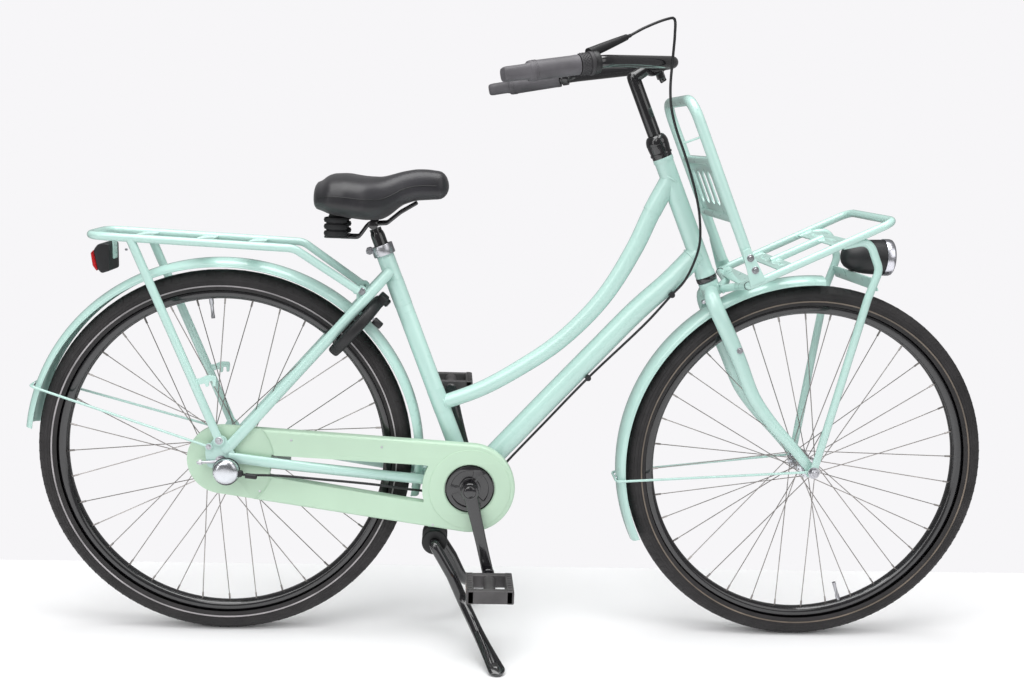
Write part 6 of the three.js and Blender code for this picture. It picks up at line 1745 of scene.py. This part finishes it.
FORK_BLADE_SHARES = [
    (0, 0.1, 0.05), (-0.148, 0.6, 0.075), (-0.185, 0.85, 0.125), (-0.111, 0.915, 0.273),
    (-0.074, 0.93, 0.39),
    (-0.037, 0.95, 0.57), (0.24, 0.98, 0.715), (0.61, 1, 0.845), (0.867, 1, 0.943), (0.96, 1, 0.98)]
BLADE_Y = 59
LOWER_CUP = [(14.8, -3), (19, -3), (20, -1.6), (20, 5.7), (19.6, 6.7), (14.8, 6.7)]
UPPER_COVER = [(14.8, 249.3), (18.8, 249.3), (19, 252), (19.3, 254.6), (20.8, 255.2), (21, 257),
               (20.8, 258.8), (19.5, 259.4), (20.2, 265), (20.8, 270), (21, 275), (14.8, 275)]
UPPER_CAP = [(13.9, 275.3), (21, 275.3), (21.4, 277), (21, 281), (19.8, 286), (17.5, 290.5), (15, 293),
             (13.9, 293)]
BAR_HALF = 300
STEM_REACH, STEM_CLAMP = 40.4, 412.8
BAR_BENDS = [61.6, 55, 120, 120, 55, 61.6]
GRIP_STOPS = (("right", -1, 130), ("left", 1, 150))
PADDLE = ((-3.6, 8, 9.4), (-3, 10.4, 12), (-1, 11.6, 13.4), (4, 12.2, 14.2), (12, 12.2, 14.4),
          (24, 12.2, 14.4), (34, 12.4, 14.6), (40, 13.6, 15.2), (43, 14.4, 15.4))
DOT_ROWS, DOT_SIZE, DOT_RADIUS = (134, 137, 140, 143, 146), 1.35, 17.5
SHIFTER_SPOUT = ((9, 7.6), (8.6, 7.4), (7.8, 7), (6.6, 6.4), (5.2, 5.2), (3.8, 3.8))
BAR_SHARES = [(0, 0.09, 0), (0.109, 0.187, -0.025), (-0.387, 0.823, 0.131), (-0.937, 1, 0.26)]


def fork():
    form = Form(STEER)
    for side in SIDES:
        points = [vec(x * FORK_OFFSET, side * y * BLADE_Y, -z * FORK_LENGTH)
                  for x, y, z in FORK_BLADE_SHARES]

        def halves(share):
            low = max(0, (share - 0.3) / 0.7)
            return (4 if share > 0.965 else mix(12, 6.5, low), mix(15, 9.5, low))

        form.loft(curved(points, 52), halves, 24)
        low, high = spread(side * BLADE_Y, 3)
        form.hoop([(5.3, low), (12.4, low), (13, low + 0.6), (13, high - 0.6), (12.4, high), (5.3, high)],
                  vec(FORK_OFFSET, 0, -FORK_LENGTH), 32)
    form.block((-16, 16), (-16, 16), (-34, -12), 4)
    form.block((-8, 8), (-8, 8), (-47, -32), 2)
    form.hoop([(13.6, -15), (18.6, -15), (19, -14), (19, -5), (18, -4.1), (13.6, -4.1)], ORIGIN, 36, UPWARD)
    form.lathe([(0, -16), (13.3, -16), (13.3, 285), (10.9, 285), (10.9, 195), (0, 195)], ORIGIN, 36, UPWARD)
    make(form, "fork_blades", "steering", "mint", "fork", 44)
    boss = Form(STEER)
    local = STEER.inverted() @ vec(973, 0, 591)
    for side in SIDES:
        boss.bolt(vec(local.x, side * 66.4, local.z), (0, side, 0), 3.6, 2.6)
    boss.lathe([(0, 0), (5, 0), (5, 14), (3.4, 16), (0, 16)], vec(-8, 0, -40), 20, (-1, 0, 0))
    make(boss, "fork_bolts", "steering", "steel", angle=40)
    bearing("lower_bearing_cup", "frame", "headset_lower_cup", LOWER_CUP, 40, 40)
    bearing("upper_bearing_cover", "frame", "headset_upper_cup", UPPER_COVER, 44, 50)
    bearing("upper_bearing_cap", "steering", "headset_cap", UPPER_CAP, 44, 60)


def bearing(name, body, node, profile, sides, angle):
    make(Form(STEER).hoop(profile, ORIGIN, sides, UPWARD), name, body, "black", node, angle)


def stem():
    form = Form(STEER)
    form.lathe([(0, 201), (10.2, 201), (10.2, 293.6), (12.5, 294), (12.5, 404), (11.6, 412), (8, 417),
                (0, 418.4)], ORIGIN, 40, UPWARD)
    clamp = vec(STEM_REACH, 0, STEM_CLAMP)
    path = [vec(0, 0, 406), vec(10, 0, 409), vec(22, 0, 411), clamp - vec(12, 0, 0)]
    form.loft(path, lambda share: (mix(12.4, 11, share), mix(11.6, 10, share)), 26)
    form.hoop([(11.2, -11), (16, -11), (17, -10), (17, 10), (16, 11), (11.2, 11)], clamp, 44)
    form.block((clamp.x + 1, clamp.x + 15), (-8, 8), (clamp.z - 27, clamp.z - 13), 2.6)
    form.lathe([(0, 0), (6, 0), (6.4, 1), (6.4, 6), (5.4, 7.5), (0, 7.5)],
               vec(clamp.x + 9, 0, clamp.z - 26), 24, (0.2, 0, -1))
    make(form, "stem_quill", "steering", "black", "stem", 44)


def bar_point(index, side):
    ahead, across, rise = BAR_SHARES[index]
    return vec(STEM_REACH + ahead * BAR_HALF, side * across * BAR_HALF, STEM_CLAMP + rise * BAR_HALF)


def grip_line(side):
    """The bar's tip and the way from there along the grip"""
    tip = bar_point(3, side)
    return tip, (bar_point(2, side) - tip).normalized()


def stepped(values):
    """Gives the value of the nearest of even stations"""
    return lambda share: values[round(share * (len(values) - 1))]


def handlebar(sizes):
    order = range(len(BAR_SHARES))
    corners = [bar_point(index, -1) for index in reversed(order)] + [bar_point(index, 1) for index in order]
    form = Form(STEER).tube(bent(corners, BAR_BENDS, 14), 11, 28)
    make(form, "bar_tube", "steering", "black", "handlebar", 60)
    for name, side, stop in GRIP_STOPS:
        grip(name, side, stop)
    shifter(sizes)
    bell()


def grip(name, side, stop):
    """The sleeve with three rings round it and the palm paddle at its end"""
    tip, axis = grip_line(side)
    form = Form(STEER)
    form.hoop([(11.3, 40), (14.6, 40), (16.2, 41.5), (17, 45), (16.8, 50), (16.4, 60), (16.2, stop - 12),
               (16.6, stop - 4), (16.4, stop - 0.6), (11.3, stop - 0.4)], tip, 44, axis)
    form.loft([tip + axis * along for along, _, _ in PADDLE], stepped([halves for _, *halves in PADDLE]),
              28, UPWARD, power=0.7)
    for low in (48, 50.6, 53.2):
        form.hoop([(16, low), (17.2, low + 0.6), (17.2, low + 1.4), (16, low + 2)], tip, 44, axis)
    make(form, f"{name}_grip_sleeve", "steering", "grip", f"{name}_grip", 44)


def shifter(sizes):
    """The twist ring with its rows of dots, and the fixed housing whose spout takes the cable"""
    tip, axis = grip_line(-1)
    ring = Form(STEER).hoop([(11.4, 131.2), (16.6, 131.2), (17.4, 132), (17.6, 140), (17.6, 147.6),
                             (19.4, 148.4), (20, 150), (20, 154), (19.2, 155), (11.4, 155)], tip, 48, axis)
    make(ring, "shifter_ring", "gear_twist", "twist", "shifter_twist", 44)
    dots = []
    for k, along in enumerate(DOT_ROWS):
        x, z = DOT_RADIUS * MM * math.sin(k * 0.14), DOT_RADIUS * MM * math.cos(k * 0.14)
        dots.append(grown("dots", {"Count": sizes.grip_dots, "Radius": DOT_SIZE * MM,
                                   "At": (x, along * MM, z), "Finish": FINISHES["twist"]}))
    turn = Vector(ACROSS).rotation_difference(axis).to_matrix().to_4x4()
    into = STEER @ Matrix.Translation(tip) @ turn
    move = Matrix.Translation((REAR_X, 0, 0)) @ Matrix.Scale(MM, 4) @ into @ Matrix.Scale(1 / MM, 4)
    joined(dots, "shifter_ring_dots", "twist", move, "gear_twist", 40)
    housing = Form(STEER).hoop([(11.8, 155.3), (18.4, 155.3), (19, 156.2), (19, 163), (18, 165.6),
                                (11.8, 166)], tip, 44, axis)
    start = tip + axis * 162 + vec(0, 0, 18)
    end = STEER.inverted() @ vec(*CABLE_ROUTE[0])
    ahead = (end - start).normalized()
    spout = [start - ahead * 9, start, start.lerp(end, 0.3), start.lerp(end, 0.62), end - ahead * 9,
             end - ahead * 6]
    housing.loft(spout, stepped(SHIFTER_SPOUT), 22, UPWARD)
    housing.tube([end - ahead * 8, end + ahead * 3], 3.2, 14)
    make(housing, "shifter_body", "steering", "plastic", "shifter_housing", 44)


def bell():
    place = to_mm(JOINTS["bell_thumb"]["pos_m"])
    axis = (STEER.to_3x3() @ grip_line(1)[1]).normalized()
    form = Form().hoop([(11.3, -6), (14.6, -6), (15, -5), (15, 5), (14.6, 6), (11.3, 6)], place, 36, axis)
    form.lathe([(0, 13), (6, 13), (6, 21), (0, 21)], place, 24, UPWARD)
    form.lathe([(0, 20), (23, 20), (24, 21.2), (24, 25), (23.2, 29), (20.4, 33), (15, 35.2), (8, 36),
                (0, 36.1)], place, 52, UPWARD)
    make(form, "bell_dome", "steering", "black", "bell", 50)
    low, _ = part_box("bell_lever")
    base = low.z / MM
    x, y = place.x, place.y
    blade = soft_outline([(x - 37, y - 6), (x - 8.6, y - 4), (x - 8.6, y + 4), (x - 37, y + 6)], 4)
    lever = Form()
    for outlines in ([circle_outline(x, y, 10, 32), circle_outline(x, y, 6.5, 24)], [blade]):
        lever.slab(outlines, base, base + 3, 0.5, plane="XY")
    make(lever, "bell_thumb_lever", "bell_thumb", "plastic", "bell_lever", 44)


# Front carrier

DECK_HALF, DECK_REAR, DECK_FRONT, DECK_REAR_Z, DECK_FRONT_Z = 125, 50, 338, -17, -5


def deck(share):
    return vec(mix(DECK_REAR, DECK_FRONT, share), 0, mix(DECK_REAR_Z, DECK_FRONT_Z, share))


CARRIER_LOOP = ((20, 13, -26), (42, 44, -26), (DECK_REAR, DECK_HALF, DECK_REAR_Z),
                (DECK_FRONT, DECK_HALF, DECK_FRONT_Z))
CARRIER_PLATES = (0.02, 0.27, 0.65)
LEG_Y, LEG_FRONT = 118, 284
PANEL_X, PANEL_TOP, PANEL_RAILS = 64, 335, (219, 108)


def carrier(sizes):
    radius = sizes.rack_tube
    form = Form(STEER)
    corners = [vec(x, -y, z) for x, y, z in CARRIER_LOOP] + [vec(x, y, z) for x, y, z in CARRIER_LOOP[::-1]]
    form.tube(bent(corners, [12, 12, 30, 30, 12, 12], 12), radius, 22)
    form.block((16.3, 20.3), (-22, 22), (-34, -15.6), 1.2, plane="YZ")
    form.bar(deck(CARRIER_PLATES[1]), deck(CARRIER_PLATES[2]), radius, 22)
    slope = math.atan2(DECK_FRONT_Z - DECK_REAR_Z, DECK_FRONT - DECK_REAR)
    for share in CARRIER_PLATES:
        holes = [circle_outline(0, y, 3, 18) for y in (-60, 60)] if share > 0.1 else []
        cross_plate(form, deck(share), slope, DECK_HALF, holes)
    inner = DECK_HALF + 9.54
    for side in SIDES:
        carrier_leg(form, side, radius)
        form.slab([soft_outline([(48, -17), (78, -17), (70.5, 51), (55.5, 51)], 4)],
                  *sorted((side * inner, side * (inner + 4))), 0.8)
        form.block((48, 78), sorted((side * DECK_HALF, side * (inner + 4))), (-19, -15), 1)
    form.block((267.5, 270.5), (-LEG_Y, LEG_Y), (-116.5, -91.5), 1.0, plane="YZ")
    make(form, "front_carrier_tubes", "steering", "mint", "front_carrier", 42)
    bolts, plugs = Form(STEER), Form(STEER)
    for side in SIDES:
        for x, z in ((64.5, 33), (65.5, 9)):
            bolts.bolt(vec(x, side * (DECK_HALF + 13.6), z), (0, side, 0), 4, 3)
        for y in (30, 100):
            bolts.bolt(vec(270.6, side * y, -104), AHEAD, 2.6, 2.2)
        bolts.lathe([(0, 69), (10.5, 69), (10.5, 70), (0, 70)], vec(FORK_OFFSET, 0, -FORK_LENGTH), 28,
                    (0, side, 0))
        plugs.tube([vec(49, side * 113, -18.4), vec(49.3, side * 116, -18)], radius + 0.7, 22)
    make(bolts, "front_carrier_bolts", "steering", "steel", angle=40)
    make(plugs, "front_carrier_plugs", "steering", "plastic", angle=44)


def carrier_leg(form, side, radius):
    """A leg from under the deck, round its front bend, down to an eye on the axle"""
    foot = vec(FORK_OFFSET, side * 70, -FORK_LENGTH)
    top = deck((236 - DECK_REAR) / (DECK_FRONT - DECK_REAR)).z - 4
    front = ((236, top), (LEG_FRONT, -22), (LEG_FRONT, -80), (246, -124))
    corners = [vec(x, side * LEG_Y, z) for x, z in front]
    path = bent([*corners, foot], [26, 30, 26], 10)
    path = path[:-1] + [path[-2].lerp(foot, share) for share in (0.3, 0.6, 0.84, 0.88, 0.92, 0.95, 1)]

    def halves(share):
        tail = len(path) - 1 - share * (len(path) - 1)
        return (2.0 if tail < 2.5 else (4.2 if tail < 3.5 else radius)), radius

    form.loft(path, halves, 22)
    form.hoop([(5.6, -2), (11, -2), (11, 2), (5.6, 2)], foot, 32)


def carrier_panel():
    """The hoop over the deck with a slotted sheet between its rails"""
    form = Form(STEER)
    corners = [vec(PANEL_X, side * DECK_HALF, z)
               for side, z in ((-1, 1), (-1, PANEL_TOP), (1, PANEL_TOP), (1, 1))]
    form.tube(bent(corners, 45, 14), 9.8, 26)
    for z in PANEL_RAILS:
        form.bar(vec(PANEL_X, -DECK_HALF, z), vec(PANEL_X, DECK_HALF, z), 8, 22)
    outlines = [rounded(-DECK_HALF, DECK_HALF, *PANEL_RAILS[::-1], 2)]
    for i in range(5):
        middle = mix(-DECK_HALF + 10, DECK_HALF - 10, (i + 0.5) / 5)
        outlines.append(rounded(*spread(middle, 13), 130, 197, 12.5, 8))
    form.slab(outlines, *spread(PANEL_X, 1.5), 0.5, plane="YZ")
    form.tube([vec(PANEL_X, -DECK_HALF, 268), vec(28, -115, 268)], 2, 12, round_ends=True)
    make(form, "carrier_panel_hoop", "steering", "mint", "carrier_back_panel", 42)


# Headlight, level with the ground

LAMP_LENGTH, LAMP_WALL = 79, 1.6
LAMP_PROFILE = [(0, 0), (7, 0.5), (14.3, 2.4), (20, 7), (24.1, 13.4), (28.5, 24), (31.3, 34.8), (32.8, 47),
                (33.5, 59), (34, 72), (34, 79)]
LAMP_BEZEL = [(32.4, 79.3), (35.2, 79.3), (35.5, 80), (35.5, 91.5), (34.6, 94.6), (32.6, 96.3),
              (29.6, 96.3), (29.4, 93.6), (32.4, 93.3)]
LAMP_GLASS = [(0, 89.3), (30.6, 89.3), (30.6, 93), (24, 94.6), (12, 95.6), (0, 95.9)]
LAMP_DISH = [(0, 28.5), (8, 30.5), (15.3, 34.8), (21, 43), (26.5, 56.9), (30, 68), (31.6, 78.2)]
LAMP_BULB = [(0, 29), (3, 29), (3.4, 40), (2, 43), (0, 43.5)]


def headlight():
    low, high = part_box("headlight_ring")
    start = (low.x - REAR_X) / MM - 0.3 - LAMP_LENGTH
    z = (low.z + high.z) / 2 / MM
    centre = vec(start, 0, z)
    inner = [(max(0, radius - LAMP_WALL), along + (LAMP_WALL if along < 75 else 0))
             for radius, along in LAMP_PROFILE][::-1]
    shell = Form().lathe(LAMP_PROFILE + inner, centre, 64, AHEAD)
    shell.block(spread(start + 0.28 * LAMP_LENGTH, 4), (-8, 8), (z - 28.4, z - 25), 1)
    make(shell, "headlight_shell", "steering", "plastic", "headlight_bell", 44)
    bezel = Form().hoop(LAMP_BEZEL, centre, 72, AHEAD)
    make(bezel, "headlight_bezel", "steering", "bezel", "headlight_ring", 50)
    glass = Form().lathe(LAMP_GLASS, centre, 64, AHEAD)
    make(glass, "headlight_window", "steering", "glass", "headlight_lens", 50)
    back = [(radius - 0.4, along - 3) for radius, along in LAMP_DISH[1:]][::-1]
    bowl = Form().lathe([*LAMP_DISH, *back, (0, 25.3)], centre, 64, AHEAD)
    bowl.lathe(LAMP_BULB, centre, 20, AHEAD)
    make(bowl, "headlight_dish", "steering", "chrome", "headlight_reflector", 60)


def front_axle():
    form = axle_rod(82, FRONT_HUB)
    form.pair(axle_ring(44.4, 55.6, 8.2), FRONT_HUB, 24)
    form.pair(axle_ring(72.4, 73.6, 11.4), FRONT_HUB, 28)
    form.pair(axle_nut(73.6, 80, 81), FRONT_HUB, 6)
    make(form, "front_axle_and_nuts", "steering", "steel", "front_axle", 40)


# Gear cable

CABLE_ROUTE = [
    (716, -180, 1151), (746, -165, 1168), (785, -145, 1184.8), (801, -130, 1187.2), (806, -115, 1161),
    (806, -110, 1131),
    (808, -90, 1071), (815, -75, 1035), (828, -62, 1000), (853, -50, 944), (877, -42, 878), (887, -38, 835),
    (890, -35, 788), (882, -32, 752), (866, -28, 715), (846, -18, 688), (802, -14, 634), (693, -12, 521),
    (612, -11, 430), (540, -12, 349), (482, -28, 284), (430, -31, 285), (385, -32, 294), (340, -46, 303),
    (290, -60, 314), (184, -64, 324), (110, -69, 331), (66, -74, 333), (40, -82, 336)]


def gear_cable():
    form = Form().tube(curved([vec(*point) for point in CABLE_ROUTE], 260), 2.4, 12)
    thing = make(form, "gear_cable_sheath", None, "plastic", "gear_cable", 60)
    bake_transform(thing)


# Stage, camera and lights

CAMERA_AT = (416.5, -2206.8, 970.1)
CAMERA_YAW, CAMERA_PITCH, CAMERA_ROLL = 3.305, 9.811, 1.950
PICTURE_WIDTH, FOCAL_PIXELS, FILM_WIDTH = 1024, 1162.8, 36
SOFT_LIGHT, MIRRORED_LIGHT = 0.46, 0.2
WHITE = (1, 1, 1, 1)
LAMPS = (
    ("key_soft_box", (2.4, 2.4), 46, (-1.6, -2.6, 3.2), (0, 0, 0.5)),
    ("fill_soft_box", (2.6, 2.6), 26, (2.4, -2.4, 2.4), (0.2, 0, 0.5)),
    ("side_strip", (0.35, 2.2), 9, (-2.6, -2.0, 1.3), (0.1, 0, 0.4)),
    ("top_soft_box", (3.0, 2.4), 100, (0.0, -0.4, 3.4), (0, 0, 0.4)),
)


def stand_up(name, data, place, turn):
    """Puts a camera or a lamp in the scene"""
    thing = bpy.data.objects.new(name, data)
    bpy.context.scene.collection.objects.link(thing)
    thing.location = place
    thing.rotation_mode = "QUATERNION"
    thing.rotation_quaternion = turn
    return thing


def camera():
    data = bpy.data.cameras.new("photo_camera")
    data.sensor_width = FILM_WIDTH
    data.lens = FILM_WIDTH * FOCAL_PIXELS / PICTURE_WIDTH
    data.clip_start, data.clip_end = 0.05, 60
    yaw, pitch, roll = (math.radians(value) for value in (CAMERA_YAW, CAMERA_PITCH, CAMERA_ROLL))
    ahead = vec(math.sin(yaw) * math.cos(pitch), math.cos(yaw) * math.cos(pitch), -math.sin(pitch))
    right = vec(math.cos(yaw), -math.sin(yaw), 0)
    up = right.cross(ahead)
    side = right * math.cos(roll) + up * math.sin(roll)
    above = -right * math.sin(roll) + up * math.cos(roll)
    turn = Matrix((side, above, -ahead)).transposed()
    bpy.context.scene.camera = stand_up("photo_camera", data, to_row(*CAMERA_AT), turn.to_quaternion())


def lamps():
    for name, (width, height), power, place, target in LAMPS:
        data = bpy.data.lights.new(name, "AREA")
        data.shape = "RECTANGLE"
        data.size, data.size_y = width, height
        data.energy = power
        stand_up(name, data, place, (Vector(target) - Vector(place)).to_track_quat("-Z", "Y"))


def world(colours):
    """A soft light all round, dimmer where it is mirrored, in front of the backdrop's colour"""
    made = bpy.data.worlds.new("studio")
    bpy.context.scene.world = made
    made.use_nodes = True
    nodes, links = made.node_tree.nodes, made.node_tree.links
    nodes.clear()

    def background(colour, strength):
        node = nodes.new("ShaderNodeBackground")
        node.inputs["Color"].default_value = colour
        node.inputs["Strength"].default_value = strength
        return node.outputs[0]

    def mixed(share, first, second):
        node = nodes.new("ShaderNodeMixShader")
        for place, output in enumerate((share, first, second)):
            links.new(output, node.inputs[place])
        return node.outputs[0]

    out = nodes.new("ShaderNodeOutputWorld")
    light = background(WHITE, SOFT_LIGHT)
    seen = background(linear(colours.wall), 1.0)
    mirrored = background(WHITE, MIRRORED_LIGHT)
    path = nodes.new("ShaderNodeLightPath")
    either = nodes.new("ShaderNodeMath")
    either.operation = "MAXIMUM"
    links.new(path.outputs["Is Camera Ray"], either.inputs[0])
    links.new(path.outputs["Is Transmission Ray"], either.inputs[1])
    lit = mixed(path.outputs["Is Glossy Ray"], light, mirrored)
    links.new(mixed(either.outputs[0], lit, seen), out.inputs["Surface"])


def paper(name, rgb, scale):
    finish = Finish(name, Roughness=0.75)
    finish.colour(finish.noise(scale, 3), shade(rgb, 0.994), shade(rgb, 1.0))
    return finish.bump(finish.noise(60, 3), 0.03, 0.001).material


def floor(colours):
    FINISHES["paper"] = paper("floor_paper", colours.floor, 2)
    sheet = Form().block((-2400, 2600), (-2600, 345), (-4, -0.05), 0.5, plane="XY")
    finished(mesh_of(sheet, "floor_sheet"), "floor_sheet", "paper", 30)


# Operators


class Make:
    """What every operator here shares"""
    bl_options = {"REGISTER", "UNDO"}

    def sizes(self, context):
        return context.scene.bicycle_sizes

    def colours(self, context):
        return context.scene.bicycle_colours


class BICYCLE_OT_finishes(Make, bpy.types.Operator):
    """Make the materials"""
    bl_idname = "bicycle.finishes"
    bl_label = "Finishes"

    def execute(self, context):
        make_finishes(self.colours(context))
        return {"FINISHED"}


class BICYCLE_OT_wheels(Make, bpy.types.Operator):
    """Make both wheels: tyre, rim, laced spokes and hub"""
    bl_idname = "bicycle.wheels"
    bl_label = "Wheels"

    def execute(self, context):
        build_wheel("rear", REAR_HUB, self.sizes(context))
        build_wheel("front", FRONT_HUB, self.sizes(context))
        return {"FINISHED"}


class BICYCLE_OT_main_frame(Make, bpy.types.Operator):
    """Make the main frame, its rear ends and axle"""
    bl_idname = "bicycle.main_frame"
    bl_label = "Main frame"

    def execute(self, context):
        frame_tubes(self.sizes(context))
        rear_ends()
        return {"FINISHED"}


class BICYCLE_OT_drive(Make, bpy.types.Operator):
    """Make the chaincase, cranks, chainring and pedals"""
    bl_idname = "bicycle.drive"
    bl_label = "Drive"

    def execute(self, context):
        chaincase()
        cranks()
        for name, centre, side in (("right", PEDAL_RIGHT, -1), ("left", PEDAL_LEFT, 1)):
            pedal(name, vec(centre.x, 0, centre.z), side)
        driver()
        return {"FINISHED"}


class BICYCLE_OT_mudguards(Make, bpy.types.Operator):
    """Make both mudguards and their wires"""
    bl_idname = "bicycle.mudguards"
    bl_label = "Mudguards"

    def execute(self, context):
        mudguards()
        return {"FINISHED"}


class BICYCLE_OT_rear_rack(Make, bpy.types.Operator):
    """Make the rear rack with its light"""
    bl_idname = "bicycle.rear_rack"
    bl_label = "Rear rack"

    def execute(self, context):
        rear_rack(self.sizes(context))
        return {"FINISHED"}


class BICYCLE_OT_ring_lock(Make, bpy.types.Operator):
    """Make the ring lock"""
    bl_idname = "bicycle.ring_lock"
    bl_label = "Ring lock"

    def execute(self, context):
        ring_lock()
        return {"FINISHED"}


class BICYCLE_OT_seat(Make, bpy.types.Operator):
    """Make the saddle, its bumpers, post and clamp"""
    bl_idname = "bicycle.seat"
    bl_label = "Seat"

    def execute(self, context):
        saddle_cover()
        saddle_under()
        return {"FINISHED"}


class BICYCLE_OT_stand(Make, bpy.types.Operator):
    """Make the two-leg stand"""
    bl_idname = "bicycle.stand"
    bl_label = "Stand"

    def execute(self, context):
        stand()
        return {"FINISHED"}


class BICYCLE_OT_steering(Make, bpy.types.Operator):
    """Make the fork, stem, bar, grips, shifter and bell"""
    bl_idname = "bicycle.steering"
    bl_label = "Steering"

    def execute(self, context):
        fork()
        stem()
        handlebar(self.sizes(context))
        front_axle()
        return {"FINISHED"}


class BICYCLE_OT_carrier(Make, bpy.types.Operator):
    """Make the front carrier, its back panel and the headlight"""
    bl_idname = "bicycle.carrier"
    bl_label = "Front carrier"

    def execute(self, context):
        carrier(self.sizes(context))
        carrier_panel()
        headlight()
        return {"FINISHED"}


class BICYCLE_OT_cable(Make, bpy.types.Operator):
    """Make the gear cable"""
    bl_idname = "bicycle.cable"
    bl_label = "Gear cable"

    def execute(self, context):
        gear_cable()
        frame["nodes"]["chain"].data.materials.clear()
        frame["nodes"]["chain"].data.materials.append(FINISHES["steel"])
        return {"FINISHED"}


class BICYCLE_OT_stage(Make, bpy.types.Operator):
    """Make the camera, backdrop, floor and lamps"""
    bl_idname = "bicycle.stage"
    bl_label = "Stage"

    def execute(self, context):
        camera()
        world(self.colours(context))
        floor(self.colours(context))
        lamps()
        context.scene.view_settings.view_transform = "Standard"
        return {"FINISHED"}


STEPS = (BICYCLE_OT_finishes, BICYCLE_OT_stage, BICYCLE_OT_wheels, BICYCLE_OT_main_frame, BICYCLE_OT_drive,
         BICYCLE_OT_mudguards, BICYCLE_OT_rear_rack, BICYCLE_OT_ring_lock, BICYCLE_OT_seat,
         BICYCLE_OT_stand, BICYCLE_OT_steering, BICYCLE_OT_carrier, BICYCLE_OT_cable)


class BICYCLE_PT_panel(bpy.types.Panel):
    """Lists the steps that build the bicycle"""
    bl_idname = "BICYCLE_PT_panel"
    bl_label = "City bicycle"
    bl_space_type = "VIEW_3D"
    bl_region_type = "UI"
    bl_category = "Bicycle"

    def draw(self, context):
        for group in (context.scene.bicycle_sizes, context.scene.bicycle_colours):
            for key in group.__annotations__:
                self.layout.prop(group, key)
        for step in STEPS:
            self.layout.operator(step.bl_idname)


CLASSES = (BicycleSizes, BicycleColours, *STEPS, BICYCLE_PT_panel)


def register():
    for kind in CLASSES:
        bpy.utils.register_class(kind)
    bpy.types.Scene.bicycle_sizes = PointerProperty(type=BicycleSizes)
    bpy.types.Scene.bicycle_colours = PointerProperty(type=BicycleColours)


def unregister():
    del bpy.types.Scene.bicycle_colours
    del bpy.types.Scene.bicycle_sizes
    for kind in reversed(CLASSES):
        bpy.utils.unregister_class(kind)


def main():
    register()
    for step in STEPS:
        group, name = step.bl_idname.split(".")
        getattr(getattr(bpy.ops, group), name)()


if __name__ == "__main__":
    main()
